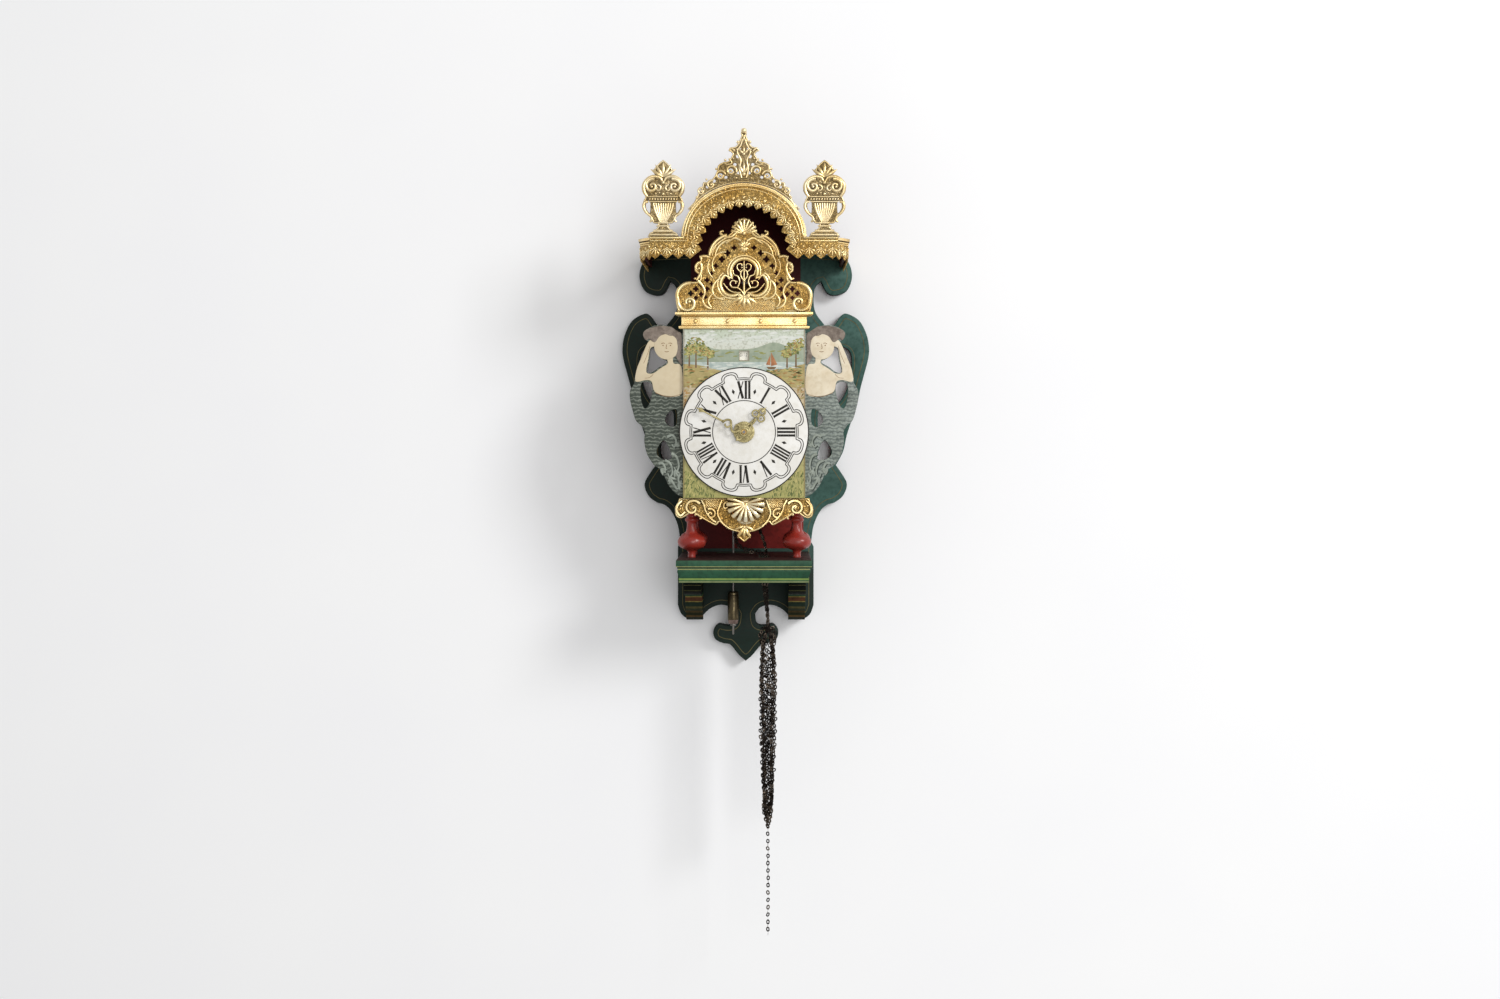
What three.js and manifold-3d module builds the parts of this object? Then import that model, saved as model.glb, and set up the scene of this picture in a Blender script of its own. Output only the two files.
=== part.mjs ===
// Frisian stool clock held on a wall.
// X runs to the clock's right as the viewer sees it, Y into the wall, Z up.
// The origin lies on the backboard's back face, at the height of the hand arbor.
import * as THREE from 'three';
import { mergeVertices } from 'three/addons/utils/BufferGeometryUtils.js';
import Module from 'manifold-3d';

const wasm = await Module();
wasm.setup();

// Clearances
const gap = 0.3;
const runGap = 0.5;
const boreGap = 0.35;

// Backboard
const boardThick = 18;
const boardHalfWidth = 178;
const boardReach = 336;

// Movement case
const pendulumRoom = 44;
const caseDepth = 103.4;
const caseHalfWidth = 84;
const caseBoardThick = 15;
const caseFloorZ = -92;
const caseCeilingZ = 143;
const postRadius = 7;
const postInset = 14;
const postSetIn = 8;
const doorThick = 3.5;
const doorInset = 3;
const doorEdge = 0.6;
const knuckleRadius = 1.4;
const knuckleLength = 12;
const knuckleOut = 1.1;
const knuckleFromEnd = 30;
const panelFieldDepth = 0.8;
const panelFieldMargin = 12;
const footHeight = 63.9;
const footRadius = 19.5;
const footInsetX = 12;
const footInsetY = 21;

// Shelf
const shelfHalfWidth = 91;
const shelfThick = 9.5;
const shelfFrontRoom = 21;
const slotHalfWidth = 25;
const slotHalfDepth = 7;
const chainHoleRadius = 9;
const mouldHeight = 21;
const mouldHalfWidth = 87;
const mouldOut = 2.6;
const mouldWall = 15;
const bracketThick = 24;
const bracketCentreX = 73;
const bracketHeight = 66;
const bracketReach = 96;

// Dial
const sidePanelThick = 5;
const sidePanelWidth = 72;
const sidePanelHeight = 226;
const sidePanelFootZ = -88;
const sidePanelLap = 6;
const dialHalfWidth = 82.4;
const dialTopZ = 139;
const dialFootZ = -89;
const dialThick = 4;
const dialBore = 7.4;
const dateHalf = 6;
const dateZ = 103;
const dateDiscRadius = 22;
const dateDiscZ = 88;
const dateDiscThick = 1.2;
const chapterRadius = 87.6;
const chapterThick = 2.5;
const ledgeHeight = 22;
const ledgeDepth = 13;
const ledgeHalfWidth = 84.5;
const ledgeOut = 8.4;
const crestHalfWidth = 92.5;
const crestHeight = 127.5;
const castThick = 2.6;
const apronHalfWidth = 93.5;
const apronHeight = 60;
const apronTopZ = -89.3;

// Hood
const hoodFootZ = 231;
const hoodRailZ = 238;
const hoodTopZ = 261;
const hoodBoardThick = 4;
const hoodFrontHalf = 126;
const hoodSideInset = 35;
const hoodSideHalf = boardHalfWidth - hoodSideInset;
const hoodCantDepth = 22;
const hoodFrontRoom = 17;
const sideInset = 6;
const archHalfWidth = 84;
const archRise = 74;
const archThick = 6;
const archOpenHalf = 64;
const archOpenRise = 69;
const fretThick = 1.8;
const scallopDepth = 6.5;
const archScallopSteps = 32;
const fretOverhang = 4;
const crestFinialHalf = 77.5;
const crestFinialHeight = 146;
const urnHalfWidth = 28.5;
const urnHeight = 103;
const urnCentreX = 108;

// Upright bars
const motionRoom = 21;
const trainRoom = 34;
const barThick = 4;
const barHalfWidth = 7;
const barFoot = 9;

// Trains
const arborRadius = 2.2;
const pivotRadius = 1.3;
const studRadius = 2;
const trainModule = 2.1;
const greatTeeth = 36;
const pinionTeeth = 8;
const greatDrop = 34;
const wheelThick = 2.4;
const pinionWidth = 4.4;
const drumRadius = 11;
const flangeRadius = 17;
const flangeThick = 2;
const drumWidth = 9;
const sprocketOffset = 16;
const contrateTeeth = 24;
const contrateRadius = 22;
const contrateWall = 2;
const contrateHeight = 4;
const contrateSetBack = 8;
const crownTeeth = 15;
const crownRadius = 13;
const crownWall = 1.6;
const crownHeight = 9;
const crownToothHeight = 4;
const crownPinionTeeth = 6;
const crownPinionHeight = 9;
const crownArborLength = 42;
const potenceThick = 3;
const potenceHalfWidth = 5;
const vergeRadius = 1.6;
const vergeZ = 84;
const palletLength = 6.6;
const palletWidth = 2.6;
const palletThick = 1.2;
const driveTeeth = 18;
const stepTeeth = 18;
const hourTeeth = 24;
const stepPinionTeeth = 6;
const stepDistance = 22;
const minutePipeRadius = 3.4;
const hourPipeOuter = 6;
const hourPipeWall = 1.6;
const secondTeeth = 28;
const secondModule = 1.6;
const flyHalfWidth = 14;
const flyThick = 0.9;
const countTeeth = 32;
const pinCircle = 30;
const pinCount = 8;
const pinRadius = 1.2;
const pinLength = 3.2;

// Hands
const handThick = 1.6;
const alarmRadius = 14.5;
const knurlSteps = 48;
const alarmThick = 2.2;
const minuteLength = 75;
const hourLength = 42;
const handSpacing = 1.2;

// Bell and hammer
const bellRadius = 38;
const bellHeight = 34;
const bellWall = 1.8;
const bellMouthZ = 174;
const bellPostRadius = 3;
const hammerX = 49;
const hammerPivotZ = 27;
const hammerBarWidth = 5;
const hammerBarThick = 2.4;
const hammerHeadRadius = 6;
const hammerHeadHalf = 6.5;
const hammerHeadZ = 180;
const tailEndX = 31;
const tailEndZ = -6;
const hammerSlotEdge = 11;
const strapThick = 2;
const strapHalfHeight = 4;

// Pendulum
const pendulumX = -17.5;
const rodRadius = 1.5;
const eyeRadius = 4;
const eyeWidth = 4;
const hangPinRadius = 1.2;
const bobRadius = 8;
const bobHeight = 46;
const bobTopZ = -227;
const crutchDrop = 64;
const cockRise = 12;
const cockHalfWidth = 5;
const cockLugThick = 2;

// Chain
const chainDiameter = 5;
const hankPitch = 5.7;
const hankTopZ = -272;
const hankHeight = 270;
const hankHalfTop = 12.5;
const hankHalfFoot = 6.5;
const hankX = 32;
const tailLength = 148;
const hankLoops = 4;

// Places along Y, from the wall to the front
const boardFrontY = -boardThick;
const caseBackY = boardFrontY - pendulumRoom;
const caseFrontY = caseBackY - caseDepth;
const sidePanelBackY = caseFrontY - gap;
const dialBackY = sidePanelBackY - sidePanelThick - gap;
const dialFrontY = dialBackY - dialThick;
const chapterBackY = dialFrontY - gap;
const chapterFrontY = chapterBackY - chapterThick;
const hoodFrontY = dialFrontY - hoodFrontRoom;
const barY = [0, 1, 2].map((i) => dialBackY + motionRoom + i * (barThick + trainRoom));
const goingY = barY[0] + barThick;
const strikeY = barY[1] + barThick;
const pendulumY = (boardFrontY + caseBackY) / 2 - gap;

const group = new THREE.Group();
group.name = 'stool_clock';

// Shape helpers
const weldShare = 0.001;
function toSolid(geometry) {
  const g = geometry.clone();
  g.deleteAttribute('normal');
  g.deleteAttribute('uv');
  const m = mergeVertices(g, gap * weldShare);
  const mesh = new wasm.Mesh({
    numProp: 3,
    vertProperties: new Float32Array(m.attributes.position.array),
    triVerts: new Uint32Array(m.index.array),
  });
  mesh.merge();
  return new wasm.Manifold(mesh);
}

function fromSolid(solid) {
  const m = solid.getMesh();
  const g = new THREE.BufferGeometry();
  g.setAttribute('position', new THREE.BufferAttribute(new Float32Array(m.vertProperties), 3));
  g.setIndex(new THREE.BufferAttribute(new Uint32Array(m.triVerts), 1));
  g.computeVertexNormals();
  return g;
}

function fuse(...parts) {
  return fromSolid(parts.map(toSolid).reduce((a, b) => a.add(b)));
}

function cut(base, ...tools) {
  return fromSolid(tools.map(toSolid).reduce((a, b) => a.subtract(b), toSolid(base)));
}

function add(name, geometry, color, metalness, roughness) {
  const material = new THREE.MeshStandardMaterial({ color, metalness, roughness });
  material.name = name;
  const mesh = new THREE.Mesh(geometry, material);
  mesh.name = name;
  group.add(mesh);
  return mesh;
}

const woodDark = (name, geometry) => add(name, geometry, 0x33402f, 0, 0.5);
const woodRed = (name, geometry) => add(name, geometry, 0x5a2620, 0, 0.55);
const gilt = (name, geometry) => add(name, geometry, 0xb58a3c, 0.7, 0.4);
const brass = (name, geometry) => add(name, geometry, 0xc09a50, 0.9, 0.35);
const iron = (name, geometry) => add(name, geometry, 0x4a4744, 0.85, 0.5);

// A closed line, always laid the same way round
function loopOf(points) {
  const dots = points.map(([x, z]) => new THREE.Vector2(x, z));
  return new THREE.Shape(THREE.ShapeUtils.isClockWise(dots) ? dots.reverse() : dots);
}

function circle(radius, sides, x = 0, z = 0, turn = 0) {
  return Array.from({ length: sides }, (_, i) => {
    const a = turn + (i / sides) * Math.PI * 2;
    return [x + radius * Math.cos(a), z + radius * Math.sin(a)];
  });
}

// A flat piece in the plane of the dial: its back face lies at backY
function flat(points, holes, thick, backY) {
  const shape = loopOf(points);
  holes.forEach((h) => shape.holes.push(loopOf(h)));
  const g = new THREE.ExtrudeGeometry(shape, { depth: thick, bevelEnabled: false });
  g.rotateX(Math.PI / 2);
  g.translate(0, backY, 0);
  return g;
}

// A level piece: its under face lies at footZ
function level(points, holes, thick, footZ) {
  const shape = loopOf(points);
  holes.forEach((h) => shape.holes.push(loopOf(h)));
  const g = new THREE.ExtrudeGeometry(shape, { depth: thick, bevelEnabled: false });
  g.translate(0, 0, footZ);
  return g;
}

function box(x0, x1, y0, y1, z0, z1) {
  const g = new THREE.BoxGeometry(x1 - x0, y1 - y0, z1 - z0);
  g.translate((x0 + x1) / 2, (y0 + y1) / 2, (z0 + z1) / 2);
  return g;
}

// A round bar along Y between y0 and y1
function rodY(radius, y0, y1, x, z, sides = 8) {
  const g = new THREE.CylinderGeometry(radius, radius, Math.abs(y1 - y0), sides);
  g.translate(x, (y0 + y1) / 2, z);
  return g;
}

function rodZ(radius, z0, z1, x, y, sides = 8) {
  const g = new THREE.CylinderGeometry(radius, radius, Math.abs(z1 - z0), sides);
  g.rotateX(Math.PI / 2);
  g.translate(x, y, (z0 + z1) / 2);
  return g;
}

// A turned piece about Z: rows of radius and height
function turned(rows, sides, x, y, z) {
  const g = new THREE.LatheGeometry(rows.map(([r, h]) => new THREE.Vector2(r, h)), sides);
  g.rotateX(Math.PI / 2);
  g.translate(x, y, z);
  return g;
}

// Places shares of an outline; a third value of 1 marks a sharp corner
function place(shares, width, height, x0 = 0, z0 = 0) {
  return shares.map(([x, z, corner]) => [x0 + x * width, z0 + z * height, corner || 0]);
}

// Rounds the runs between sharp corners of an open line
function softLine(points, steps = 1) {
  const line = [];
  let run = [];
  const flush = () => {
    const curve = new THREE.SplineCurve(run.map(([x, z]) => new THREE.Vector2(x, z)));
    const dots = run.length > 2
      ? curve.getPoints((run.length - 1) * steps)
      : run.map(([x, z]) => new THREE.Vector2(x, z));
    dots.slice(0, -1).forEach((p) => line.push([p.x, p.y]));
  };
  points.forEach((p, i) => {
    run.push(p);
    if (i > 0 && (p[2] === 1 || i === points.length - 1)) {
      flush();
      run = [p];
    }
  });
  const end = points[points.length - 1];
  line.push([end[0], end[1]]);
  return line;
}

// A closed outline from its right half, which runs from the top centre to the foot centre
function mirrored(half) {
  const right = half.slice();
  const left = half.slice(1, -1).map(([x, z]) => [-x, z]).reverse();
  const ends = [half[0], half[half.length - 1]];
  const top = ends[0][0] === 0 ? [] : [[-ends[0][0], ends[0][1]]];
  const foot = ends[1][0] === 0 ? [] : [[-ends[1][0], ends[1][1]]];
  return [...right, ...foot, ...left, ...top];
}

function closedSoft(points, steps = 1) {
  const curve = new THREE.CatmullRomCurve3(
    points.map(([x, z]) => new THREE.Vector3(x, z, 0)), true, 'centripetal');
  return curve.getPoints(points.length * steps).slice(0, -1).map((p) => [p.x, p.y]);
}

const flip = (points) => points.map(([x, z]) => [-x, z]);

// Backboard
const boardShares = [
  [0, 0.982], [0.174, 0.966], [0.322, 0.92], [0.42, 0.852], [0.455, 0.769, 1], [0.8, 0.76, 1],
  [0.85, 0.71], [0.86, 0.66],
  [0.82, 0.61], [0.73, 0.59], [0.66, 0.6], [0.61, 0.65, 1], [0.56, 0.62], [0.55, 0.56], [0.57, 0.51],
  [0.64, 0.46], [0.67, 0.43, 1], [0.73, 0.47], [0.77, 0.5], [0.82, 0.51], [0.92, 0.48], [0.98, 0.42],
  [1, 0.36], [0.99, 0.31], [0.96, 0.25], [0.93, 0.19], [0.91, 0.14], [0.87, 0.07], [0.82, -0.01],
  [0.79, -0.08], [0.73, -0.14, 1], [0.77, -0.17], [0.82, -0.22], [0.79, -0.27], [0.72, -0.3],
  [0.66, -0.31], [0.6, -0.34], [0.55, -0.4], [0.53, -0.47, 1], [0.55, -0.49, 1], [0.55, -0.74, 1],
  [0.52, -0.78], [0.46, -0.8], [0.37, -0.8, 1], [0.3, -0.76], [0.21, -0.74], [0.12, -0.75],
  [0.075, -0.78, 1], [0.09, -0.82], [0.15, -0.828], [0.22, -0.822], [0.262, -0.85], [0.25, -0.885],
  [0.19, -0.903], [0.13, -0.908, 1], [0.1, -0.925], [0.055, -0.955], [0, -0.98],
];
const boardHoleShares = [
  [[0.61, 0.34], [0.7, 0.37], [0.82, 0.36], [0.86, 0.31], [0.83, 0.2], [0.76, 0.13], [0.69, 0.12],
    [0.64, 0.2]],
  [[0.59, 0.09], [0.65, 0.08], [0.67, 0.04], [0.64, 0], [0.59, 0.01]],
  [[0.62, -0.04], [0.68, -0.04], [0.69, -0.09], [0.65, -0.13], [0.58, -0.11]],
];
const boardHalf = softLine(place(boardShares, boardHalfWidth, boardReach));
const boardHolesRight = boardHoleShares.map((h) => closedSoft(place(h, boardHalfWidth, boardReach)));
const boardHoles = [...boardHolesRight, ...boardHolesRight.map(flip)];
woodDark('backboard', flat(mirrored(boardHalf), boardHoles, boardThick, 0));

// Case boards, posts, feet and doors
const floorFootZ = caseFloorZ - caseBoardThick;
const goingChainY = goingY + sprocketOffset;
const strikeChainY = strikeY + trainRoom - sprocketOffset - drumWidth / 2;
const chainRadiusOnDrum = drumRadius + chainDiameter / 2 + 3 * gap;
const plan = (half, y0, y1) => [[-half, y0], [half, y0], [half, y1], [-half, y1]];
const floorHoles = [goingChainY, strikeChainY].flatMap((y) => [-1, 1].map(
  (s) => circle(chainDiameter, 10, s * chainRadiusOnDrum, y)));
woodRed('case_floor', level(plan(caseHalfWidth, caseFrontY, caseBackY), floorHoles,
  caseBoardThick, floorFootZ));

const hammerY = strikeY + trainRoom - pinLength - gap;
const hammerSlot = [
  [hammerX - hammerBarWidth, hammerY - 2 * hammerBarThick],
  [caseHalfWidth - hammerSlotEdge, hammerY - 2 * hammerBarThick],
  [caseHalfWidth - hammerSlotEdge, hammerY + hammerBarThick],
  [hammerX - hammerBarWidth, hammerY + hammerBarThick],
];
woodRed('case_top', level(plan(caseHalfWidth, caseFrontY, caseBackY), [hammerSlot],
  caseBoardThick, caseCeilingZ));

const postHeight = caseCeilingZ - caseFloorZ - 2 * gap;
const postShares = [
  [0, 0], [1, 0], [1, 0.1], [0.6, 0.12], [0.6, 0.46], [0.85, 0.5], [0.6, 0.54], [0.6, 0.88], [1, 0.9],
  [1, 1], [0, 1],
];
const footShares = [
  [0, 0], [0.28, 0], [0.26, 0.1], [0.34, 0.16], [0.82, 0.22], [1, 0.32], [0.86, 0.44], [0.46, 0.52],
  [0.36, 0.62], [0.34, 0.73], [0.48, 0.8], [0.36, 0.88], [0.48, 0.94], [0.48, 1], [0, 1],
];
const postX = caseHalfWidth - postInset;
const postY = [caseFrontY + postSetIn, caseBackY - postSetIn];
[['left', -1], ['right', 1]].forEach(([side, s]) => {
  [['front', 0], ['back', 1]].forEach(([end, i]) => {
    iron(`post_${end}_${side}`, turned(
      postShares.map(([r, h]) => [r * postRadius, h * postHeight]),
      8, s * postX, postY[i], caseFloorZ + gap));
    const footY = i === 0 ? caseFrontY + footInsetY : caseBackY - footInsetY;
    woodRed(`foot_${end}_${side}`, turned(
      footShares.map(([r, h]) => [r * footRadius, h * footHeight]),
      10, s * (caseHalfWidth - footInsetX), footY, floorFootZ - gap - footHeight));
  });
});

// The doors close the sides between the case boards and turn on knuckles at their back edge
const doorOuterX = caseHalfWidth - doorInset;
const doorFrontY = caseFrontY + doorEdge;
const doorBackY = caseBackY - knuckleLength / 3;
const doorHingeX = doorOuterX + knuckleOut;
const doorHingeY = doorBackY + knuckleRadius;
[['left', -1], ['right', 1]].forEach(([side, s]) => {
  const x = [s * (doorOuterX - doorThick), s * doorOuterX].sort((a, b) => a - b);
  const leaf = box(x[0], x[1], doorFrontY, doorBackY, caseFloorZ + runGap, caseCeilingZ - runGap);
  const field = box(
    s > 0 ? x[1] - panelFieldDepth : x[0] - panelFieldDepth,
    s > 0 ? x[1] + panelFieldDepth : x[0] + panelFieldDepth,
    doorFrontY + panelFieldMargin, doorBackY - panelFieldMargin,
    caseFloorZ + panelFieldMargin, caseCeilingZ - panelFieldMargin);
  const knuckles = [caseFloorZ + knuckleFromEnd, caseCeilingZ - knuckleFromEnd - knuckleLength].map(
    (z) => rodZ(knuckleRadius * 2, z, z + knuckleLength, s * doorHingeX, doorHingeY, 10));
  woodRed(`side_door_${side}`, fuse(cut(leaf, field), ...knuckles));
});

// Shelf, its moulding frame and the two brackets
const shelfTopZ = floorFootZ - gap - footHeight - gap;
const shelfFootZ = shelfTopZ - shelfThick;
const shelfFrontY = dialFrontY - shelfFrontRoom;
const pendulumSlot = [
  [pendulumX - slotHalfWidth, pendulumY - slotHalfDepth],
  [pendulumX + slotHalfWidth, pendulumY - slotHalfDepth],
  [pendulumX + slotHalfWidth, pendulumY + slotHalfDepth],
  [pendulumX - slotHalfWidth, pendulumY + slotHalfDepth],
];
woodDark('stool_shelf', level(
  plan(shelfHalfWidth, shelfFrontY, boardFrontY - gap),
  [pendulumSlot, circle(chainHoleRadius, 12, hankX - chainDiameter, goingChainY),
    circle(chainHoleRadius, 12, hankX - chainDiameter, strikeChainY)],
  shelfThick, shelfFootZ));

// Rows of the moulding: how far each stands out, and its height
const mouldShares = [[1, 1], [1, 0.86], [0.5, 0.84], [0.5, 0.72], [0.85, 0.7], [0.4, 0.5], [0.05, 0.34],
  [-0.2, 0.24], [0.1, 0.22], [0.1, 0.02], [0, 0]];
function mouldedBlock(rows, half, frontY, backY) {
  const position = [];
  rows.forEach(([out, z]) => {
    position.push(-half - out, backY, z, half + out, backY, z);
    position.push(half + out, frontY - out, z, -half - out, frontY - out, z);
  });
  const index = [];
  rows.slice(1).forEach((_, i) => {
    const a = 4 * i;
    for (let k = 0; k < 4; k += 1) {
      const n = (k + 1) % 4;
      index.push(a + k, a + n, a + 4 + n, a + k, a + 4 + n, a + 4 + k);
    }
  });
  const last = 4 * (rows.length - 1);
  index.push(0, 2, 1, 0, 3, 2, last, last + 1, last + 2, last, last + 2, last + 3);
  const g = new THREE.BufferGeometry();
  g.setAttribute('position', new THREE.Float32BufferAttribute(position, 3));
  g.setAttribute('uv', new THREE.Float32BufferAttribute(new Array((position.length / 3) * 2).fill(0), 2));
  g.setIndex(index);
  g.computeVertexNormals();
  return g;
}
const mouldTopZ = shelfFootZ - gap;
const mouldFrontY = shelfFrontY + mouldOut * 2;
const mouldFrame = mouldedBlock(
  mouldShares.map(([out, h]) => [out * mouldOut, mouldTopZ - mouldHeight * (1 - h)]),
  mouldHalfWidth, mouldFrontY, boardFrontY - gap);
woodDark('shelf_moulding', cut(mouldFrame, box(
  -mouldHalfWidth + mouldWall, mouldHalfWidth - mouldWall,
  mouldFrontY + mouldWall, boardFrontY + mouldWall,
  mouldTopZ - 2 * mouldHeight, mouldTopZ + mouldHeight)));

// Side view of a bracket: reach from the board, height from its foot
const bracketShares = [
  [0, 1, 1], [1, 1, 1], [1, 0.86, 1], [0.9, 0.84, 1], [0.84, 0.68], [0.66, 0.6], [0.5, 0.62, 1],
  [0.44, 0.42], [0.34, 0.26], [0.22, 0.2, 1], [0.2, 0.08], [0.1, 0], [0, 0, 1],
];
const bracketTopZ = mouldTopZ - mouldHeight - gap;
[['left', -1], ['right', 1]].forEach(([side, s]) => {
  const line = softLine(place(bracketShares, bracketReach, bracketHeight));
  const g = level(line, [], bracketThick, 0);
  g.rotateX(Math.PI / 2);
  g.rotateZ(-Math.PI / 2);
  g.translate(s * bracketCentreX + bracketThick / 2, boardFrontY - gap, bracketTopZ - bracketHeight);
  woodDark(`bracket_${side}`, g);
});

// Dial plate with the date window, the chapter ring and the ledge above
const frontPlate = (half, z0, z1) => [[-half, z0], [half, z0], [half, z1], [-half, z1]];
add('dial_plate', flat(
  frontPlate(dialHalfWidth, dialFootZ, dialTopZ),
  [circle(dialBore, 16), frontPlate(dateHalf, dateZ - dateHalf, dateZ + dateHalf)],
  dialThick, dialBackY), 0x6d6a45, 0, 0.6);
add('chapter_ring', flat(circle(chapterRadius, 44), [circle(dialBore, 16)],
  chapterThick, chapterBackY), 0xe9e4d4, 0, 0.45);

const ledgeShares = [[1, 1], [1, 0.8], [0, 0.74], [0, 0.2], [0.4, 0.16], [0.4, 0]];
const ledgeFootZ = dialTopZ + gap;
const ledgeTopZ = ledgeFootZ + ledgeHeight;
gilt('dial_ledge', mouldedBlock(
  ledgeShares.map(([out, h]) => [out * ledgeOut, ledgeFootZ + ledgeHeight * h]),
  ledgeHalfWidth, caseFrontY - gap - ledgeDepth + ledgeOut / 2, caseFrontY - gap));

// Gilt castings round the dial
const crestShares = [
  [0, 1], [0.08, 0.98], [0.15, 0.92], [0.14, 0.88, 1], [0.25, 0.81], [0.33, 0.83], [0.29, 0.79, 1],
  [0.37, 0.75], [0.46, 0.69], [0.51, 0.61, 1], [0.65, 0.6], [0.64, 0.55], [0.7, 0.5], [0.72, 0.44],
  [0.64, 0.39, 1], [0.67, 0.33], [0.85, 0.32], [0.93, 0.27], [0.99, 0.19], [0.99, 0.09], [0.96, 0, 1],
  [0, 0],
];
const crestHoleShares = [
  [[0.16, 0.66], [0.26, 0.72], [0.36, 0.66], [0.3, 0.56], [0.2, 0.58]],
  [[0.3, 0.46], [0.4, 0.52], [0.52, 0.44], [0.44, 0.36], [0.34, 0.38]],
  [[0.66, 0.2], [0.74, 0.26], [0.84, 0.2], [0.8, 0.1], [0.7, 0.1]],
  [[0.42, 0.24], [0.5, 0.28], [0.56, 0.2], [0.5, 0.12], [0.43, 0.14]],
];
const crestFootZ = ledgeTopZ + gap;
const crestHalf = softLine(place(crestShares, crestHalfWidth, crestHeight, 0, crestFootZ), 2);
const crestHolesRight = crestHoleShares.map(
  (h) => closedSoft(place(h, crestHalfWidth, crestHeight, 0, crestFootZ), 1));
gilt('crest_fret', flat(mirrored(crestHalf), [...crestHolesRight, ...crestHolesRight.map(flip)],
  castThick, dialFrontY));

const apronShares = [
  [0, 0, 1], [0.94, 0, 1], [0.97, -0.16], [1, -0.32], [0.97, -0.43], [0.89, -0.45], [0.76, -0.32, 1],
  [0.57, -0.5], [0.5, -0.56, 1], [0.41, -0.62], [0.36, -0.54, 1], [0.26, -0.67], [0.17, -0.74],
  [0.06, -0.78, 1], [0.1, -0.86], [0, -1],
];
const apronHalf = softLine(place(apronShares, apronHalfWidth, apronHeight, 0, apronTopZ));
gilt('apron_fret', flat(mirrored(apronHalf), [], castThick, sidePanelBackY));

// Mermaid panels beside the dial, their inner strip lapped behind the dial plate
const mermaidShares = [
  [0, 0.98, 1], [0.15, 0.985, 1], [0.19, 1.012], [0.3, 1.026], [0.45, 1.03], [0.6, 1.02],
  [0.71, 0.99], [0.74, 0.958], [0.66, 0.93, 1], [0.71, 0.88],
  [0.8, 0.82], [0.87, 0.76], [0.91, 0.71], [0.92, 0.68], [0.99, 0.64], [1, 0.59], [0.95, 0.52],
  [0.89, 0.46], [0.79, 0.43, 1], [0.72, 0.39], [0.73, 0.34], [0.7, 0.28], [0.65, 0.24], [0.54, 0.19],
  [0.45, 0.17], [0.36, 0.13], [0.27, 0.07], [0.13, 0.02], [0, 0, 1],
];
const mermaidHoleShares = [
  [[0.48, 0.89], [0.6, 0.89], [0.63, 0.83], [0.68, 0.75], [0.57, 0.75], [0.44, 0.78], [0.3, 0.81],
    [0.45, 0.84]],
  [[0.57, 0.66], [0.66, 0.69], [0.78, 0.68], [0.8, 0.62], [0.77, 0.56], [0.71, 0.53], [0.62, 0.57]],
  [[0.12, 0.52], [0.21, 0.52], [0.31, 0.49], [0.33, 0.45], [0.22, 0.42], [0.12, 0.44]],
  [[0.36, 0.34], [0.45, 0.31], [0.5, 0.27], [0.45, 0.24], [0.32, 0.22], [0.21, 0.24], [0.27, 0.3]],
];
const panelInnerX = dialHalfWidth + gap;
const panelPoints = softLine(
  place(mermaidShares, sidePanelWidth, sidePanelHeight, panelInnerX, sidePanelFootZ));
const panelOutline = [
  [panelInnerX - sidePanelLap, sidePanelFootZ + sidePanelHeight * 0.98], ...panelPoints,
  [panelInnerX - sidePanelLap, sidePanelFootZ]];
const panelHoles = mermaidHoleShares.map((h) => closedSoft(
  place(h, sidePanelWidth, sidePanelHeight, panelInnerX, sidePanelFootZ), 1));
[['left', -1], ['right', 1]].forEach(([side, s]) => {
  const turn = (points) => (s > 0 ? points : flip(points).reverse());
  add(`mermaid_${side}`, flat(turn(panelOutline), panelHoles.map(turn), sidePanelThick,
    sidePanelBackY), 0x9aa58a, 0, 0.55);
});

// Hood: arch, shoulders, front board, splayed sides
const archLine = (half, rise, share, steps) => Array.from({ length: steps + 1 }, (_, i) => {
  const a = Math.PI * (i / steps);
  return [half * Math.cos(a), share + rise * Math.sin(a)];
});
const roofBackY = boardFrontY - gap;
const roofFrontY = hoodFrontY + gap;
const archFootZ = hoodTopZ - hoodBoardThick / 2;
const outerArch = archLine(archHalfWidth, archRise, archFootZ, 16);
const innerArch = archLine(archHalfWidth - archThick, archRise - archThick, archFootZ, 16).reverse();
const shoulderInnerX = archHalfWidth - archThick;
const cornerY = roofFrontY + hoodCantDepth;
const cantAngle = Math.atan((hoodSideHalf - hoodFrontHalf) / hoodCantDepth);
// A line along the hood's side in plan, inset from its edge, from a front Y to a back Y
const sideLine = (inset, frontY, backY) => [
  [hoodFrontHalf - inset / Math.cos(cantAngle) + (frontY - roofFrontY) * Math.tan(cantAngle), frontY],
  [hoodSideHalf - inset, cornerY + inset * Math.tan(cantAngle / 2)], [hoodSideHalf - inset, backY]];
const hoodSides = [-1, 1].map((s) => {
  const points = [...sideLine(sideInset - hoodBoardThick / 2, roofFrontY, roofBackY),
    ...sideLine(sideInset + hoodBoardThick / 2, roofFrontY, roofBackY).reverse()];
  return level(s > 0 ? points : flip(points), [], hoodTopZ - hoodBoardThick / 2 - hoodFootZ, hoodFootZ);
});
const hoodShoulders = [-1, 1].map((s) => {
  const points = [[shoulderInnerX, roofFrontY], ...sideLine(0, roofFrontY, roofBackY),
    [shoulderInnerX, roofBackY]];
  return level(s > 0 ? points : flip(points), [], hoodBoardThick, hoodTopZ - hoodBoardThick);
});
woodRed('hood_roof', fuse(
  flat([...outerArch, ...innerArch], [], roofBackY - roofFrontY, roofBackY),
  ...hoodShoulders, ...hoodSides));

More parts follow.
